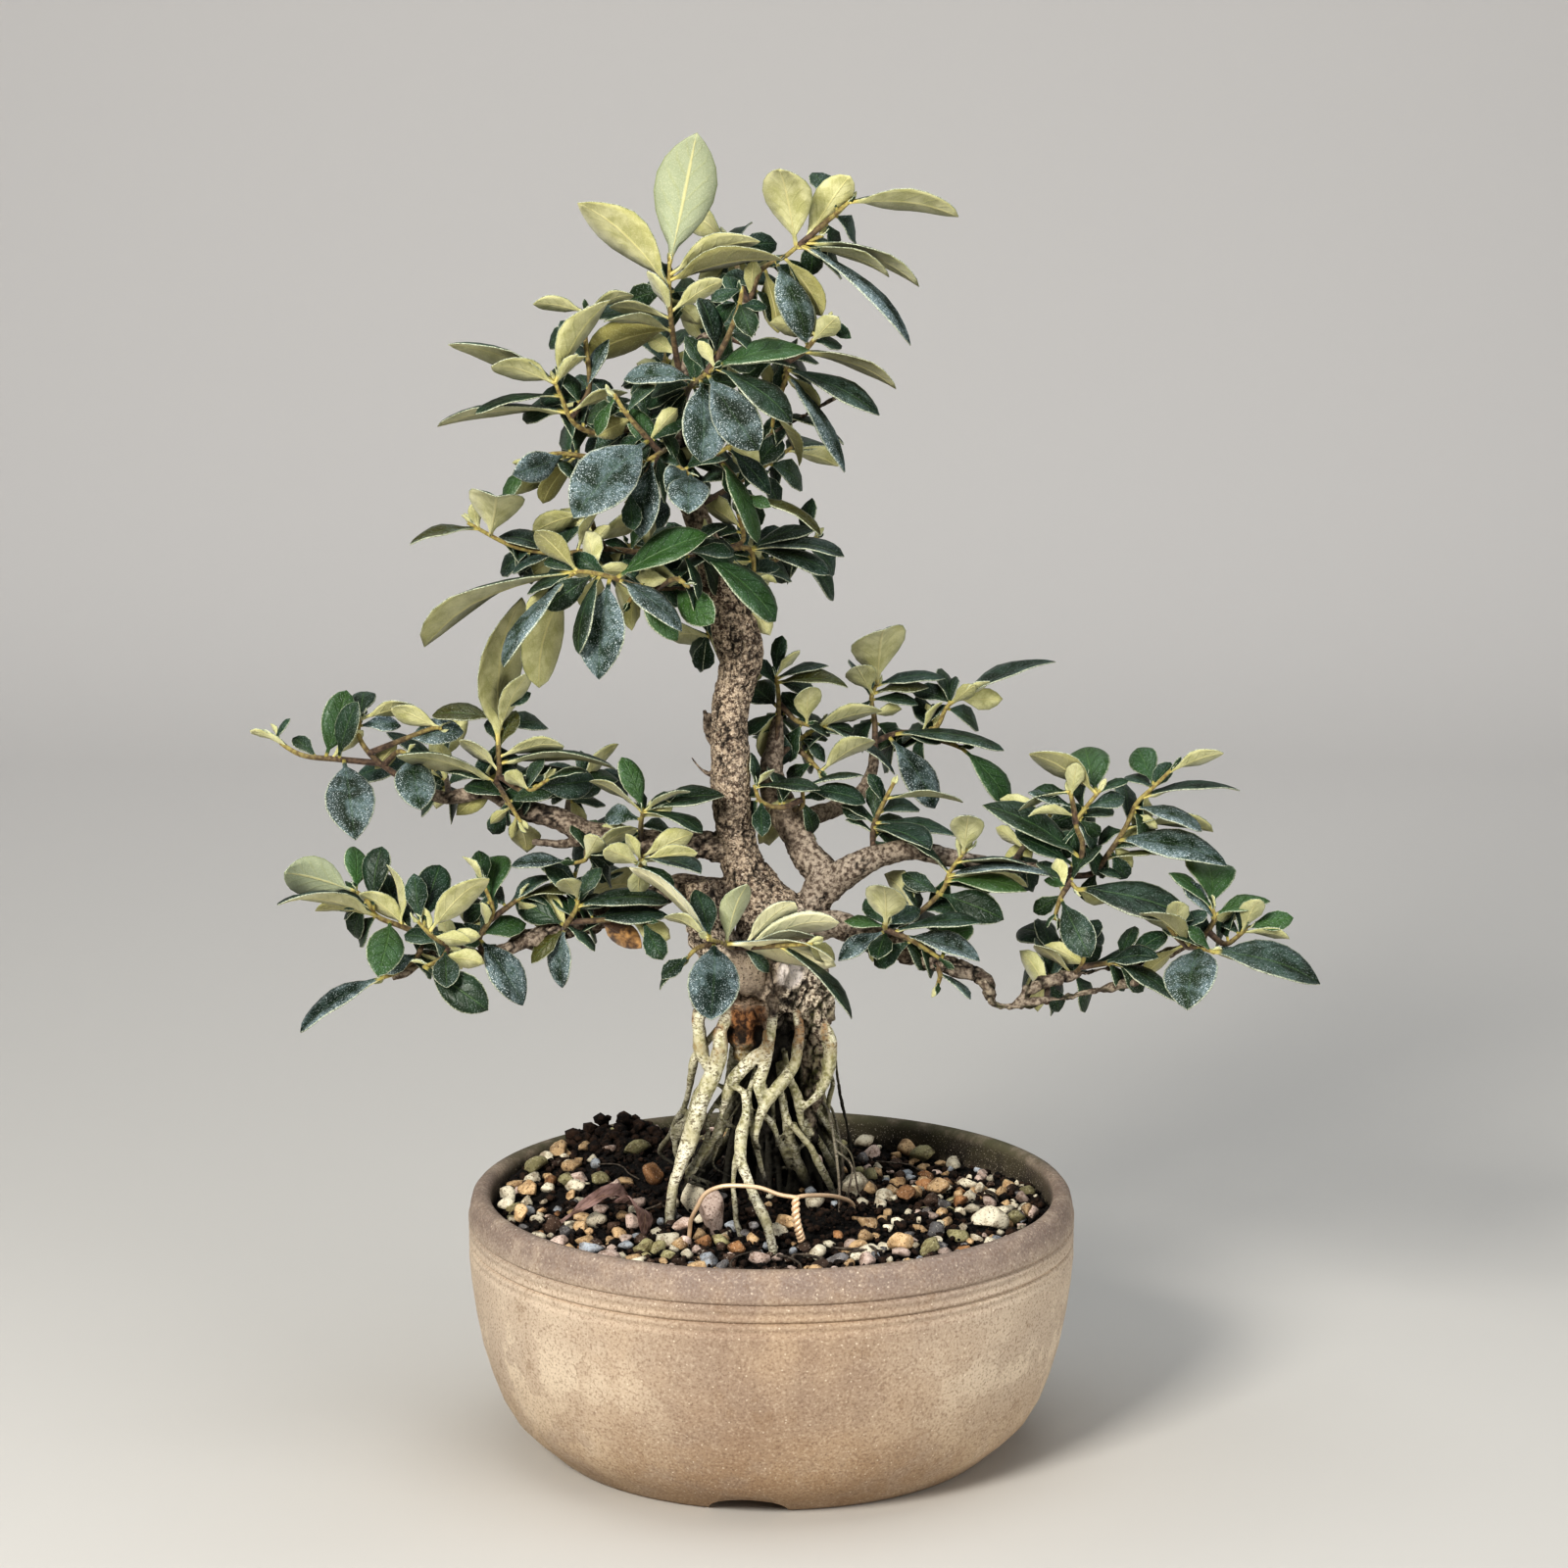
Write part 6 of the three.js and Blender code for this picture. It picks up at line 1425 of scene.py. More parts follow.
def make_gravel(material):
    for label, detail, stones, first in (
        ("gravel_large", 3, STONES, 100),
        ("gravel_small", 2, gravel_spots(), 300),
    ):
        template = lump_template(detail)
        directions = places_of(template)
        shapes, tints = [], []
        for seed, (x, y, width, height, kind) in enumerate(stones, first):
            spot = np.array([x, y, soil_height(x, y)])
            lifted = height * 0.28
            if label == "gravel_large":
                spot = spot + (EYE - spot) * lifted / (EYE[2] - spot[2])
                spot[:2] *= min(1, (WALL_REACH - width / 2) / np.linalg.norm(spot[:2]))
            x, y = spot[:2]
            z = soil_height(x, y) + lifted
            depth = (width + height) / 2
            size = (width * 1.12, depth * 1.05, height * 1.12)
            shapes.append(in_row(lump(directions, x, y, z, size, seed, chips=7)))
            tints.append(np.tile(stone_tint(kind, seed), (len(directions), 1)))
        piece = repeat(label, template, shapes)
        paint(piece, "stone", np.vstack(tints))
        finish_piece(piece, [material], "soil", "soil_and_gravel")
        bpy.data.objects.remove(template)


def make_crumbs(material):
    template = lump_template(1)
    directions = places_of(template)
    shapes = []
    for k in range(CRUMBS):
        x, y, _ = scattered(81.6, k * 1.3 + 0.2, k * 2.9 + 0.4)
        size = 1.0 + 2.4 * draw(k * 3.7 + 0.1) ** 2
        z = soil_height(x, y) + 0.8 * draw(k + 0.55)
        shapes.append(in_row(lump(directions, x, y, z, (size, size * 0.8, size * 0.7), k * 0.37)))
    heap_x, heap_y, spread, rise = PEAT_HEAP
    for k in range(HEAP_CRUMBS):
        away, turn = math.sqrt(draw(k + 0.31)), FULL_TURN * draw(k + 0.62)
        x = heap_x + 1.3 * spread * away * math.cos(turn)
        y = heap_y + 0.7 * spread * away * math.sin(turn)
        inside = min(1, 79 / math.hypot(x, y))
        x, y = x * inside, y * inside
        z = soil_height(x, y) + rise * (1 - away**2) * draw(k + 0.93)
        size = 2.4 + 3 * draw(k + 0.17)
        shapes.append(in_row(lump(directions, x, y, z, (size, size * 0.9, size * 0.8), k * 0.53)))
    crumbs = repeat("soil_crumbs", template, shapes)
    finish_piece(crumbs, [material], "soil", "soil_and_gravel")
    bpy.data.objects.remove(template)


# Wood.

def root_points(points):
    """A root with its hidden start, and its end in the soil or behind other roots."""
    points = [(x, y, z, radius + ROOT_BARK) for x, y, z, radius in points]
    start_x, start_y, start_z, start_radius = points[0]
    x, y, z, radius = points[-1]
    start = (start_x * 0.7, start_y * 0.7, start_z + 7, start_radius)
    end = (x * 0.72, y * 0.72, z - 4, radius * 0.7)
    if z < SOIL_REACH:
        end = (x * 1.03, y * 1.03, z - ROOT_DEPTH, radius * 0.8)
    return [start, *points, end]


def back_roots():
    """Roots round the hidden back of the base."""
    roots = []
    for k in range(BACK_ROOTS):
        clock = math.radians(30 + 130 * k / (BACK_ROOTS - 1))
        spread = 18 + 14 * math.sin(clock) + 6 * draw(k + 7)
        sway = 0.35 * (draw(k + 11) - 0.5)
        points = []
        for radius, turn, height, thick in (
            (9, 0, 132, 2.6), (13, sway / 2, 112, 2.1), (17, -sway, 94, 1.6), (spread, sway, 0, 1.2),
        ):
            x = 1 + radius * math.cos(clock + turn)
            y = radius * math.sin(clock + turn)
            points.append((x, y, height or soil_height(x, y), thick))
        roots.append(points)
    return roots


def inner_roots():
    """Thin roots that fill the inside of the root cone, behind the ones that show, painted dark as shade."""
    roots = []
    for k in range(INNER_ROOTS):
        clock = FULL_TURN * (k * 0.381966 % 1)
        top = 4 + 4 * draw(k + 31)
        foot = 8 + 13 * draw(k + 41)
        sway = 0.9 * (draw(k + 51) - 0.5)
        points = []
        for share in (0, 0.35, 0.7, 1):
            radius = top + (foot - top) * share**1.3
            turn = clock + sway * math.sin(3 * share + k)
            x = radius * math.cos(turn) + 2 * share
            y = radius * math.sin(turn) - 3 + 19 * share
            points.append((x, y, 126 + (70 - 126) * share, 1.4 - 0.4 * share))
        roots.append(points)
    return roots


def wood_lines():
    """Every centre line with its kind."""
    lines = []
    for name, points in WOOD.items():
        lines.append((smooth_line(points, 8), SLEEK_BARK if name in SLEEK else ROUGH_WOOD))
    for root in [*ROOTS, *back_roots()]:
        lines.append((smooth_line(root_points(root), 8), OUTER_ROOT))
    for root in inner_roots():
        lines.append((smooth_line(root, 6), INNER_ROOT))
    return lines


def nearest_on_lines(spots, lines):
    """For each spot: its place in its branch's own frame, that branch's radius and kind."""
    samples = []
    for number, (line, kind) in enumerate(lines):
        along, across, third = carried_frames(line[:, :3])
        steps = np.linalg.norm(np.diff(line[:, :3], axis=0), axis=1)
        travelled = np.concatenate([[0], np.cumsum(steps)]) + 137 * number
        kinds = np.full(len(line), kind)
        samples.append(np.column_stack([line, along, across, third, travelled, kinds]))
    samples = np.vstack(samples)
    local = np.empty((len(spots), 3))
    radius, kind = np.empty(len(spots)), np.empty(len(spots))
    for start in range(0, len(spots), 4000):
        part = spots[start : start + 4000]
        away = part[:, None, :] - samples[None, :, :3]
        distance = np.sqrt((away**2).sum(axis=2)) - samples[:, 3]
        chosen = samples[distance.argmin(axis=1)]
        offset = part - chosen[:, :3]
        rows = slice(start, start + len(part))
        local[rows, 0] = chosen[:, 13] + (offset * chosen[:, 4:7]).sum(axis=1)
        local[rows, 1] = (offset * chosen[:, 7:10]).sum(axis=1)
        local[rows, 2] = (offset * chosen[:, 10:13]).sum(axis=1)
        radius[rows] = chosen[:, 3]
        kind[rows] = chosen[:, 14]
    return local, radius, kind


def inside_roots(spots, lines):
    """How far each spot lies inside the cone of the outer roots, in millimetres."""
    outer = np.vstack([line for line, kind in lines if kind == OUTER_ROOT])
    depth = np.zeros(len(spots))
    for low in np.arange(64, 140, 4):
        near = outer[np.abs(outer[:, 2] - low - 2) < 5]
        rows = np.flatnonzero((spots[:, 2] >= low) & (spots[:, 2] < low + 4))
        middle = near[:, :2].mean(axis=0)
        ring = near[:, :2] - middle
        clock = np.arctan2(ring[:, 1], ring[:, 0])
        reach = np.hypot(ring[:, 0], ring[:, 1]) + near[:, 3]
        away = spots[rows, :2] - middle
        turn = np.arctan2(away[:, 1], away[:, 0])
        gap = np.abs((turn[:, None] - clock[None] + math.pi) % FULL_TURN - math.pi)
        nearby = np.where(gap < 0.4, reach[None], 0).max(axis=1)
        depth[rows] = nearby - np.hypot(away[:, 0], away[:, 1])
    return depth


def fused_wood(lines):
    """The tubes along the centre lines and the burr, fused into one skin."""
    parts = [tube("branch", line, 4) for line, _ in lines]
    for x, y, z, radius in BURR:
        spot = in_row((x, y, z))
        bpy.ops.mesh.primitive_ico_sphere_add(subdivisions=4, radius=radius * MM, location=spot)
        bpy.ops.object.transform_apply(location=True, rotation=True, scale=True)
        parts.append(bpy.context.object)
    wood = joined("wood_and_roots", parts)
    wood.data.remesh_voxel_size = VOXEL * MM
    bpy.ops.object.voxel_remesh()
    soften = wood.modifiers.new("soften", "SMOOTH")
    soften.factor = 0.5
    soften.iterations = 2
    bpy.ops.object.modifier_apply(modifier="soften")
    return wood


def make_wood(material):
    """The wood, with its relief in millimetres and the masks that its material reads."""
    lines = wood_lines()
    wood = fused_wood(lines)
    spots = (places_of(wood) - POT_AXIS) / MM
    x, y, z = spots.T
    local, radius, kind = nearest_on_lines(spots, lines)
    edge = 134 + 5 * (cloud(spots, 4, 11) - 0.5)
    is_root = smooth(kind, 0.5, 0.6) * smooth(z, edge + 2, edge - 2)
    is_bark = 1 - is_root
    base = smooth(z, 168, 146) * is_bark
    sleek = np.where(kind == SLEEK_BARK, 1, 0) * smooth(z, 150, 158)
    slab = smooth(x, -19, -15) * smooth(x, 2, -3) * smooth(y, -8, -12)
    slab = slab * smooth(z, 154, 149) * is_bark
    scar = smooth(np.hypot((x - 6) / 4.5, (z - 146) / 5.5), 1.1, 0.7) * smooth(y, -6, -9) * is_bark

    thick = smooth(radius, 1.2, 6)
    lumps = cloud(local * (0.6, 1, 1), 4.2, 5) - 0.5
    fine = cloud(local, 1.5, 6) - 0.5
    plate = np.where(base > 0.5, plates(local * (0.6, 1, 1), 4.2), plates(local * (0.8, 1, 1), 2.4))
    patchy = cloud(local, 5, 4) + 0.2 * base - 0.16 * sleek
    crack = (1 - smooth(plate, 0.02, 0.16)) * smooth(patchy, 0.45, 0.62)
    crack = crack * (1 - 0.85 * np.maximum(slab, scar))
    bark = lumps * (0.4 + 1.0 * thick) + fine * (0.35 + 0.4 * thick) - crack * (0.25 + 0.45 * thick)
    swells = (cloud(spots, 7.5, 7) - 0.5) * 3.4 + (cloud(spots, 3, 10) - 0.5) * 1.8 - crack * 0.6
    bark = bark + base * swells - 0.6 * scar
    knobs = (cloud(local * (0.5, 1, 1), 3.4, 8) - 0.5) * 1.1 + fine * 0.4
    move = bark * is_bark + knobs * is_root * np.clip(radius / 2.4, 0.3, 1)
    set_places(wood, places_of(wood) + normals_of(wood) * (move * MM)[:, None])

    twig = np.maximum(smooth(radius, 5.2, 3.2), sleek * 0.9) * is_bark
    below = smooth(z, 138, 126)
    depth = smooth(inside_roots(spots, lines), 1.5, 8) * below
    near_soil = smooth(z - soil_height(x, y), 15, 1)
    right = smooth(x, 2, 18) * smooth(z, 152, 132)
    lobe = smooth(x, 6, 10) * smooth(z, 92, 102) * smooth(y, 9, 3)
    outer = np.where(kind == OUTER_ROOT, 1, 0)
    # Painted shade: the wood is darker inside the root cone, on the inner roots and on the roots towards the
    # back.
    hidden = np.where(kind == INNER_ROOT, 0.85, 0) * below + depth * np.where(outer, 0.15, 0.95)
    hidden = hidden + outer * 0.4 * smooth(y, -14, 6) * below
    thin = outer * smooth(radius, 0.9, 0.5) * 0.6
    # dark is that painted shade, together with darker thin roots and darker wood near the soil.
    dark = np.clip(hidden * (1 - 0.85 * lobe) + thin + near_soil * 0.5, 0, 0.95)

    to_burr = [
        np.linalg.norm(spots - (burr_x, burr_y - 1, burr_z), axis=1) - burr_radius
        for burr_x, burr_y, burr_z, burr_radius in BURR
    ]
    to_burr = np.min(to_burr, axis=0) + 2.4 * (cloud(spots, 2.5, 13) - 0.5)
    burr = smooth(to_burr, 1.6, 0.2) * smooth(z, 138, 134)
    low_burr = burr * smooth(z, 127, 121)
    top = is_root * smooth(z, 117, 131) * smooth(cloud(spots, 3, 15), 0.42, 0.56)
    rust = np.maximum(burr - low_burr * 0.6, top * 0.75)

    green = is_root * smooth(x, -14, -6) * smooth(cloud(spots, 8, 16), 0.4, 0.6) * 0.45
    hollows = 0.3 + 0.7 * np.maximum(crack, lumps < -0.08)
    damp = np.clip(below * smooth(z, 84, 112) * 0.25 + right * 0.35 + depth * 0.2, 0, 0.9)
    damp = damp * np.where(is_root > 0.5, 1, hollows) * (1 - 0.4 * lobe)
    damp = np.maximum(np.maximum(damp, low_burr * 0.8), green * smooth(z, 82, 96))

    crust = np.maximum(base * 0.85, lobe * is_bark)
    paint(wood, "wood", np.column_stack([crack, is_root, twig]))
    # Second painted colour: damp moss, rust, and the painted shade.
    paint(wood, "stain_and_shade", np.column_stack([damp, rust, dark]))
    paint(wood, "crust", np.column_stack([crust, slab, scar]))
    finish_piece(wood, [material], "bark", "trunk_and_roots")


def hanging_rootlet(k):
    """A hair root that hangs from the root cone into the soil."""
    clock = FULL_TURN * (k * 0.618034 % 1 * 0.62 + 0.94)
    top_z = 80 + 40 * draw(k + 71)
    share = (126 - top_z) / 54
    radius = 9 + 20 * share
    x, y = radius * math.cos(clock), radius * math.sin(clock) - 2 + 6 * share
    foot = radius + 2 + 7 * draw(k + 81)
    bend = clock + 0.5 * (draw(k + 91) - 0.5)
    foot_x, foot_y = foot * math.cos(bend), foot * math.sin(bend)
    foot_z = soil_height(foot_x, foot_y)
    thick = 0.22 + 0.3 * draw(k + 101)
    middle_x = (x + foot_x) / 2 + 9 * (draw(k + 111) - 0.5)
    return [
        (x * 0.8, y * 0.8, top_z + 5, thick),
        (x, y, top_z, thick),
        (middle_x, (y + foot_y) / 2, (top_z + foot_z) / 2 - 4, thick * 0.9),
        (foot_x, foot_y, foot_z - 1, thick * 0.7),
    ]


def lying_rootlet(k):
    """A hair root that lies on the soil."""
    clock = FULL_TURN * draw(k + 121)
    radius = 34 + 38 * draw(k + 131)
    heading = FULL_TURN * draw(k + 141)
    reach = 8 + 16 * draw(k + 151)
    line = []
    for step in range(5):
        share = step / 4 - 0.5
        x = radius * math.cos(clock) + reach * share * math.cos(heading) + 3 * math.sin(4 * share + k)
        y = radius * math.sin(clock) + reach * share * math.sin(heading)
        inside = min(1, 80 / math.hypot(x, y))
        x, y = x * inside, y * inside
        z = soil_height(x, y) + 1.2 + 1.4 * math.cos(3 * share)
        line.append((x, y, z, 0.25 + 0.2 * draw(k + 161)))
    return line


def make_rootlets(material):
    """Fine hair roots that hang between the exposed roots and lie on the soil."""
    pieces = [tube("rootlet", smooth_line(hanging_rootlet(k), 5), 1) for k in range(HANGING_ROOTLETS)]
    pieces += [tube("litter", smooth_line(lying_rootlet(k), 4), 1) for k in range(LYING_ROOTLETS)]
    rootlets = joined("fine_rootlets", pieces)
    spots = (places_of(rootlets) - POT_AXIS) / MM
    shade = cloud(spots, 14, 9)
    up = smooth(spots[:, 2], 76, 90) * 0.5
    paint(rootlets, "wood", np.column_stack([shade * 0.5, up, 0 * shade + 1]))
    paint(rootlets, "stain_and_shade", np.column_stack([0 * shade, 0 * shade, 0.25 + 0.4 * shade]))
    finish_piece(rootlets, [material], "bark")


def make_wire(material):
    loop, arm, twist = (
        smooth_line([(*point, WIRE_RADIUS) for point in points], per_span)
        for points, per_span in ((WIRE_LOOP, 8), (WIRE_ARM, 8), (WIRE_TWIST, 26))
    )
    pieces = [tube("wire", loop, 3), tube("wire", arm, 3)]
    _, across, third = carried_frames(twist[:, :3])
    angles = np.linspace(0, FULL_TURN * WIRE_TWIST_TURNS, len(twist))[:, None]
    for start in (0, math.pi):
        around = across * np.cos(angles + start) + third * np.sin(angles + start)
        strand = twist.copy()
        strand[:, :3] += WIRE_RADIUS * 1.02 * around
        pieces.append(tube("wire", strand, 3))
    finish_piece(joined("wire_loop", pieces), [material], "wire", "training_wire")


# Leaves.

def leaf_template(lengthways, across):
    """A flat blade from -1 to 1 each way, closed and two-sided: material 0 above, 1 below."""
    bpy.ops.mesh.primitive_grid_add(x_subdivisions=lengthways, y_subdivisions=across, size=2)
    blade = bpy.context.object
    thicken = blade.modifiers.new("thicken", "SOLIDIFY")
    thicken.thickness = 0.02
    thicken.offset = 0
    thicken.material_offset = 1
    blade.data.materials.append(bpy.data.materials.new("above"))
    blade.data.materials.append(bpy.data.materials.new("below"))
    bpy.ops.object.modifier_apply(modifier="thicken")
    return blade


def along_stem(stem, percent):
    place = min(percent, 95) / 100 * (len(stem) - 1)
    start = min(int(place), len(stem) - 2)
    share = place - start
    return np.array(stem[start], float) * (1 - share) + np.array(stem[start + 1], float) * share


def own_lean(percent, clock, reach, width, lean=None):
    """How far a leaf leans towards the viewer by itself, in degrees."""
    if lean is not None:
        return lean
    length = max(reach, LEAF_PROPORTION * abs(width))
    towards = 1 if (width < 0) == (math.sin(math.radians(clock)) > 0) else -1
    tilt = math.degrees(math.acos(reach / length))
    return towards * min(MOST_LEAN, max(tilt, STRAY_LEAN * draw(percent + clock + reach)))


def leaf_frame(stem, leaf, lean, bend):
    """The leaf's base, directions, length and true width, in millimetres."""
    percent, clock, reach, width = leaf[:4]
    base = along_stem(stem, percent)
    view = unit(EYE - base)
    lean = math.radians(lean)
    most = math.radians(MOST_BEND)
    swung = max(-most, min(most, lean + math.radians(bend)))
    length = reach / math.cos(lean)
    turn = math.radians(clock)
    flat = np.array([math.cos(turn), 0, math.sin(turn)])
    along = unit(flat * math.cos(swung) + view * math.sin(swung))
    slender = LEAF_SLENDER + 0.08 * draw(percent - clock)
    true_width = min(max(abs(width), slender * length), LEAF_BROAD * length)
    facing = unit(view - along * (view @ along))
    upward = np.cross(along, facing)
    if upward[2] < -1e-6:
        upward = -upward
    roll = math.copysign(math.asin(min(1, abs(width) / true_width)), width or 1)
    top = facing * math.sin(roll) + upward * math.cos(roll)
    return base, along, top, length, true_width


def arch(share, length):
    """How high a leaf's arch stands over its chord."""
    return LEAF_ARCH * 4 * share * (1 - share) * length


def seated_bend(stem, leaf, lean, corners):
    """The bend that puts the leaf on its place among the solid's corners."""
    best, most = 0, 0
    for bend in BENDS:
        base, along, top, length, width = leaf_frame(stem, leaf, lean, bend)
        across = np.cross(along, top)
        marks = [base + along * length]
        for share, half in LEAF_ROWS:
            middle = base + along * share * length
            for side in (-1, 1):
                marks.append(middle + across * side * half * width + top * arch(share, length))
        gaps = np.linalg.norm(corners[None] - in_row(marks)[:, None], axis=2).min(axis=1)
        found = int((gaps < SEAT * MM).sum())
        if found > most:
            best, most = bend, found
    return best


def leaf_shape(flat, place, seed):
    """Vertex places in millimetres of one leaf on the flat template's coordinates."""
    base, along, top, length, width = place
    share = (flat[:, 0] + 1) / 2
    share = share - 0.07 * np.sin(FULL_TURN * share)
    across_share, face = flat[:, 1], np.sign(flat[:, 2])
    stalk_share = min(0.16, max(0.08, 2.6 / length + 0.03 * draw(seed)))
    t = np.clip((share - stalk_share) / (1 - stalk_share), 0, 1)
    rise, fall = 0.8 + 0.3 * draw(seed + 1), 0.62 + 0.3 * draw(seed + 2)
    peak = rise / (rise + fall)
    full = t**rise * (1 - t) ** fall / (peak**rise * (1 - peak) ** fall)
    stalk = 0.3 + 0.008 * length
    half = np.maximum(width / 2 * full, stalk * (1 - smooth(t, 0, 0.2)) + 0.1)
    blade_share = smooth(t, 0.0, 0.1)
    round_y = np.sin(across_share * math.pi / 2) * half
    y = round_y * (1 - blade_share) + across_share * half * blade_share
    fold = math.tan(math.radians(9 + 17 * draw(seed + 3)))
    rolled = 0.35 + 0.3 * draw(seed + 4)
    lift = arch(share, length)
    lift -= (0.02 + 0.22 * draw(seed + 5)) * length * np.maximum(0, share - 0.62) ** 1.6
    cup = (np.abs(y) * fold - rolled * np.abs(y) * across_share**2 * 0.6) * blade_share
    wave = np.sin(FULL_TURN * (1.6 * share + draw(seed + 6)) + 1.6 * np.sign(y))
    wave = 0.3 * wave * across_share**2 * full
    rib = np.exp(-((y / 0.6) ** 2))
    above = 0.12 - 0.16 * rib
    below = -0.16 - (0.62 - 0.45 * share) * rib
    thick = np.where(face > 0, above, below) * blade_share
    thick = thick + face * np.cos(across_share * math.pi / 2) * half * (1 - blade_share)
    over = cup + wave + thick
    twist = math.radians(24 * (draw(seed + 7) - 0.5)) * (share - 0.3)
    sway = 0.035 * (draw(seed + 8) - 0.5) * length * np.sin(math.pi * share)
    outward = y * np.cos(twist) - over * np.sin(twist) + sway
    upward = lift + y * np.sin(twist) + over * np.cos(twist)
    side = np.cross(top, along)
    return base + np.outer(share * length, along) + np.outer(outward, side) + np.outer(upward, top)


def leaf_tones(kind, seed, small):
    """Bloom, fresh green and olive of one leaf."""
    bloom = 0.03 + 0.3 * draw(seed + 9) ** 1.5
    fresh = 0.14 * draw(seed + 10)
    olive = 0.12 * draw(seed + 11)
    if kind == "b":
        bloom = 0.85 + 0.15 * draw(seed + 9)
    if kind == "g":
        bloom, fresh = 0.12, 0.5 + 0.3 * draw(seed + 10)
    if kind == "o":
        olive = 0.75 + 0.25 * draw(seed + 11)
    if kind in FIXED_TONES:
        bloom, fresh, olive = FIXED_TONES[kind]
    if small:
        fresh = fresh + 0.08
    return bloom, fresh, olive


def back_leaves(count, seed):
    """The seeded leaves of a back shoot."""
    leaves = []
    for k in range(count):
        mark = seed * 20 + k
        percent = 50 + 50 * (k + 1) / count
        clock = math.floor(mark * 137.5 % 360 + 0.5)
        reach = math.floor(13 + 9 * draw(mark + 0.1) + 0.5)
        width = math.floor(4 + 6 * draw(mark + 0.2) + 0.5) * (-1 if draw(mark + 0.3) < 0.4 else 1)
        lean = math.floor(-10 - 45 * draw(mark + 0.4) + 0.5)
        leaves.append((percent, clock, reach, width, "", lean))
    return leaves


def tip_leaves(stem, seed):
    """Two unfolding leaves at the very end of a stem."""
    end, before = np.array(stem[-1], float), np.array(stem[-2], float)
    ahead = unit(end - before)
    leaves = []
    for k in range(2):
        stray = np.array([draw(seed + k * 3 + i) - 0.5 for i in range(3)])
        along = unit(ahead + stray * 0.9 + (0, 0, 0.25))
        outward = unit(np.cross(along, np.cross(stray + (0.1, 0, 0), along)))
        length = 3.2 + 2.6 * draw(seed + k + 0.4)
        leaves.append(((end - 2 * ahead, along, outward, length, length * 0.36), seed + k))
    return leaves


def inner_leaves(stem, seed):
    """Seeded short leaves along a stem, behind the ones that show."""
    reach_along = sum(math.dist(here, there) for here, there in zip(stem, stem[1:]))
    leaves = []
    for k in range(round(reach_along / INNER_SPACING)):
        mark = seed * 3.7 + k * 1.9
        percent = 12 + 76 * draw(mark)
        clock = 360 * draw(mark + 0.2)
        reach = 8 + 6 * draw(mark + 0.4)
        width = reach * (0.4 + 0.15 * draw(mark + 0.6)) * (1 if draw(mark + 0.8) < 0.85 else -1)
        leaves.append((percent, clock, reach, width, "", -18 - 42 * draw(mark + 0.9)))
    return leaves


def make_shoot(node, stems, templates, materials, number):
    """One leafy shoot: its large leaves, its small ones, and its stems."""
    corners = places_of(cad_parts[node])
    flats = [places_of(template) for template in templates]
    shapes, tones, stalks = ([], []), ([], []), []
    for index, (stem, leaves) in enumerate(stems):
        placed = []
        for leaf in leaves:
            lean = own_lean(*leaf[:4], leaf[5] if len(leaf) > 5 else None)
            small = max(leaf[2], LEAF_PROPORTION * abs(leaf[3])) < SMALL_LEAF
            bend = 0 if small else seated_bend(stem, leaf, lean, corners)
            seed = leaf[0] * 0.37 + leaf[1] * 0.11 + leaf[2] * 0.73 + number
            kind = leaf[4] if len(leaf) > 4 else ""
            tone = leaf_tones(kind, seed, small)
            placed.append((leaf_frame(stem, leaf, lean, bend), seed, tone, small))
        for leaf in inner_leaves(stem, number * 7 + index) if node not in OPEN_SHOOTS else []:
            seed = leaf[0] + leaf[1]
            placed.append((leaf_frame(stem, leaf, leaf[5], 0), seed, leaf_tones("", seed, True), True))
        for place, seed in tip_leaves(stem, number * 17 + index * 5):
            placed.append((place, seed, (0.1, 0.25, 0.1), True))
        for place, seed, tone, small in placed:
            flat = flats[small]
            shapes[small].append(in_row(leaf_shape(flat, place, seed)))
            tones[small].append(np.tile(tone, (len(flat), 1)))
        thick, thin = STEM_RADIUS
        radii = np.linspace(thick, thin, len(stem))
        line = smooth_line([(*point, radius) for point, radius in zip(stem, radii)], 5)
        stalk = tube("stem", line, 2)
        spots = (places_of(stalk) - POT_AXIS) / MM
        nearest = np.linalg.norm(spots[:, None] - line[None, :, :3], axis=2).argmin(axis=1)
        young = smooth(nearest / len(line), 0.1, 0.9)
        paint(stalk, "leaf", np.column_stack([young, young, young]))
        stalk.data.materials.append(materials[2])
        stalks.append(stalk)
    pieces = []
    for template, shape, tone in zip(templates, shapes, tones):
        if not shape:
            continue
        blades = repeat("blades", template, shape)
        for material in materials[:2]:
            blades.data.materials.append(material)
        paint(blades, "leaf", np.vstack(tone))
        pieces.append(blades)
    shoot = joined("leafy_" + node, [*pieces, *stalks])
    finish_piece(shoot, None, "leaf", node)


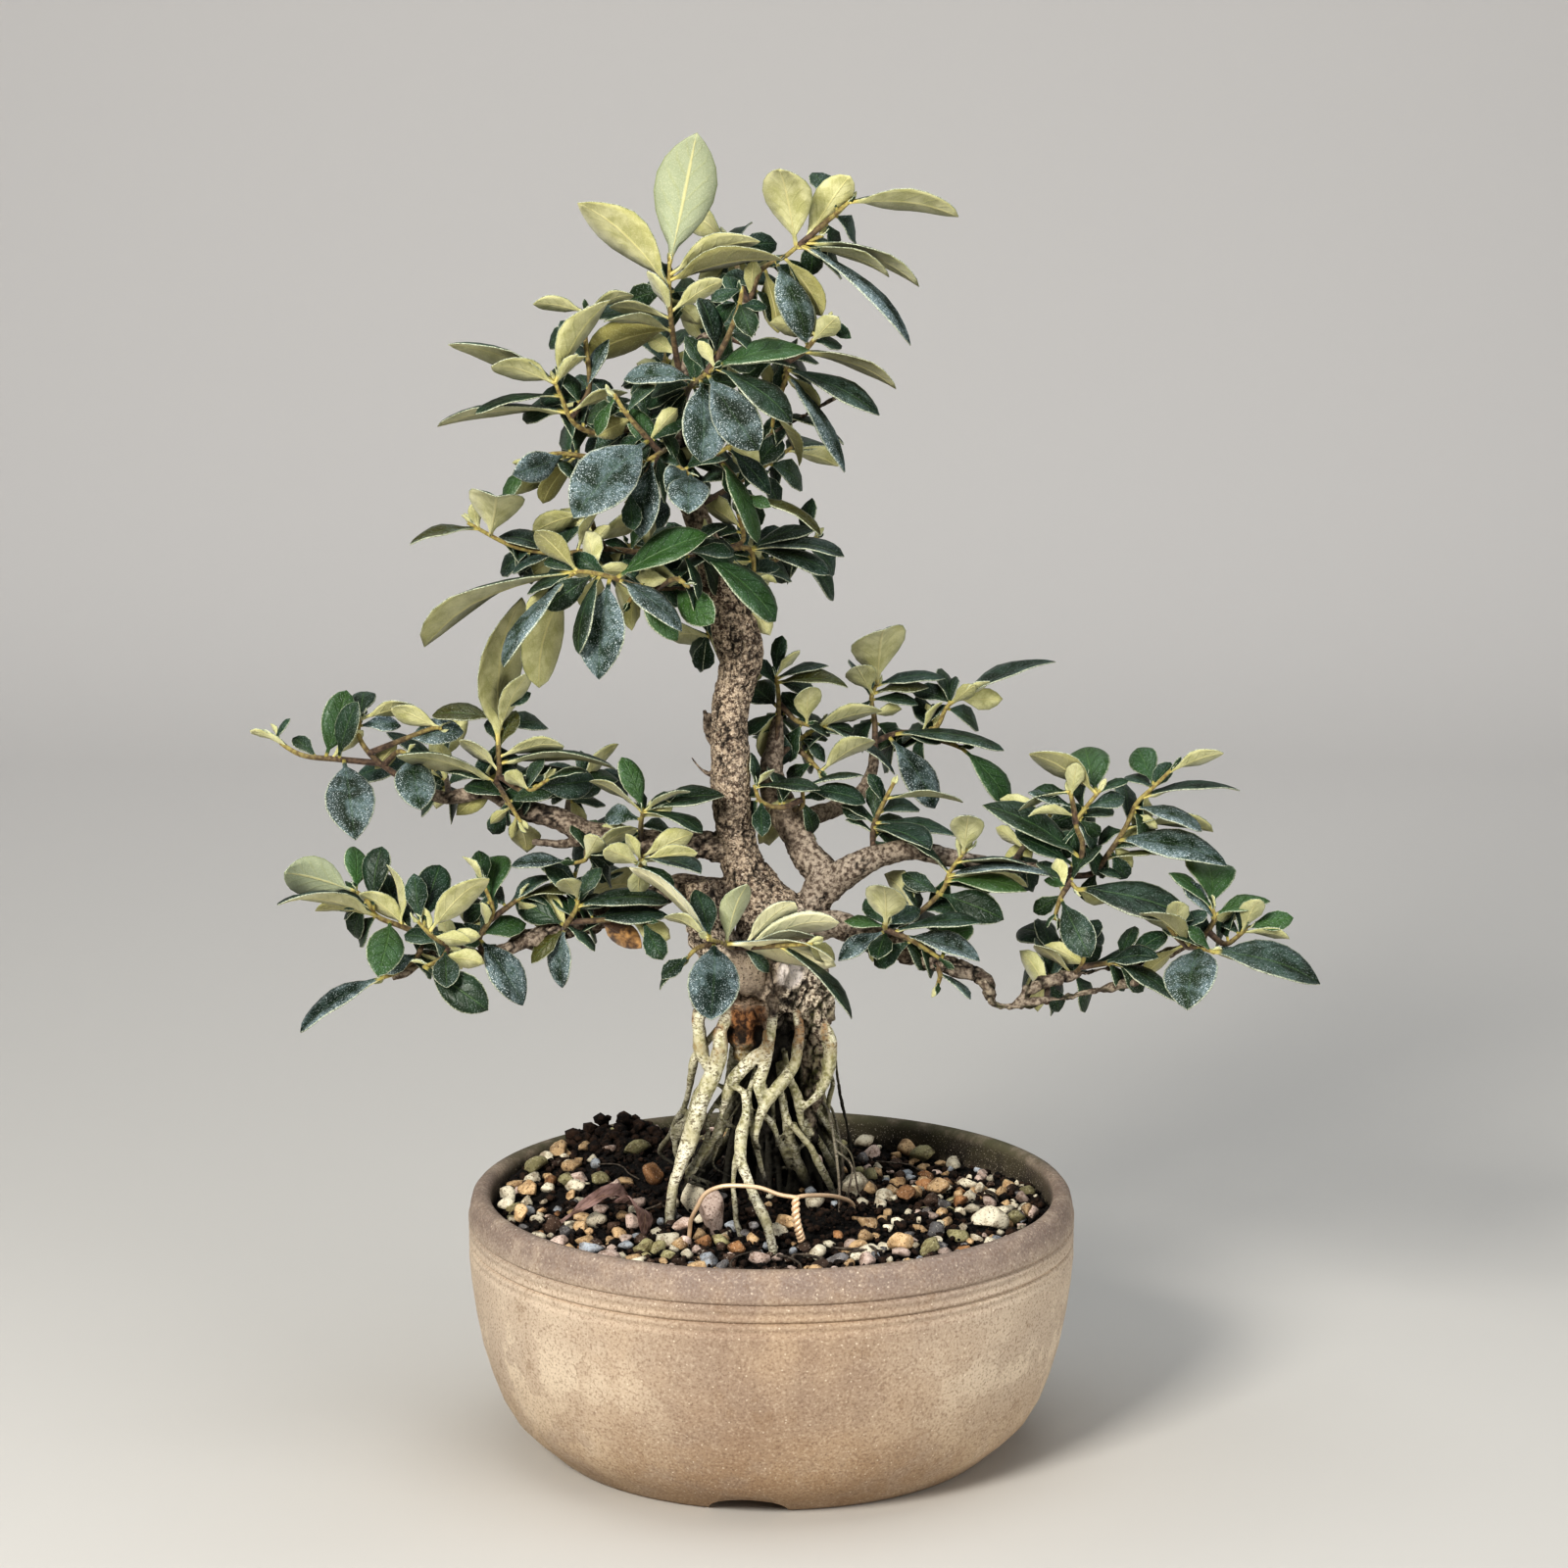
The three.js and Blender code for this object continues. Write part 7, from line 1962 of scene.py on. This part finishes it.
def make_shoots(templates, materials):
    number = 1
    for node, stems in SHOOTS.items():
        make_shoot(node, stems, templates, materials, number)
        number += 1
    for index, (node, (stem, count)) in enumerate(BACK_SHOOTS.items()):
        make_shoot(node, [(stem, back_leaves(count, index + 1))], templates, materials, number)
        number += 1


def make_dry_leaves(template, material):
    """Dead leaves, curled across and arched along, with crumpled blades."""
    flat = places_of(template)
    origin, ahead, up = np.zeros(3), np.array([1.0, 0, 0]), np.array([0, 0, 1.0])
    for number, (node, (start, end, width, roll, curl)) in enumerate(DRY_LEAVES.items()):
        start, end = np.array(start, float), np.array(end, float)
        length = np.linalg.norm(end - start)
        blade = leaf_shape(flat, (origin, ahead, up, length, width), 3 + number)
        along, y, z = blade.T
        bend = math.radians(curl) / width
        y, z = np.sin(y * bend) / bend * (1 - z * bend), z + (1 - np.cos(y * bend)) / bend
        z = z + 3.2 * np.sin(math.pi * along / length) + 2.6 * (cloud(blade, 4.5, 12) - 0.5)
        direction = (end - start) / length
        side = unit(np.cross(up, direction))
        top = np.cross(direction, side)
        turn = math.radians(roll)
        side, top = (
            side * math.cos(turn) + top * math.sin(turn),
            top * math.cos(turn) - side * math.sin(turn),
        )
        shape = start + np.outer(along, direction) + np.outer(y, side) + np.outer(z, top)
        piece = repeat("fallen_" + node, template, [in_row(shape)])
        finish_piece(piece, [material, material], "dry_leaf", node)


make_camera()
make_floor()
make_light()
make_pot(clay_material())
make_soil(soil_material("damp_soil", (6, 5, 4), (30, 22, 17)))
make_gravel(stone_material())
make_crumbs(soil_material("soil_crumb", (14, 10, 8), (66, 48, 36)))
wood_finish = bark_material()
make_wood(wood_finish)
make_rootlets(wood_finish)
make_wire(wire_material())
large_blade, small_blade = leaf_template(*LARGE_BLADE), leaf_template(*SMALL_BLADE)
make_shoots([large_blade, small_blade], [leaf_top_material(), leaf_under_material(), stem_material()])
make_dry_leaves(large_blade, dry_material())
bpy.data.objects.remove(large_blade)
bpy.data.objects.remove(small_blade)
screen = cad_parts["drain_screen"].data
screen.materials.clear()
screen.materials.append(screen_material())
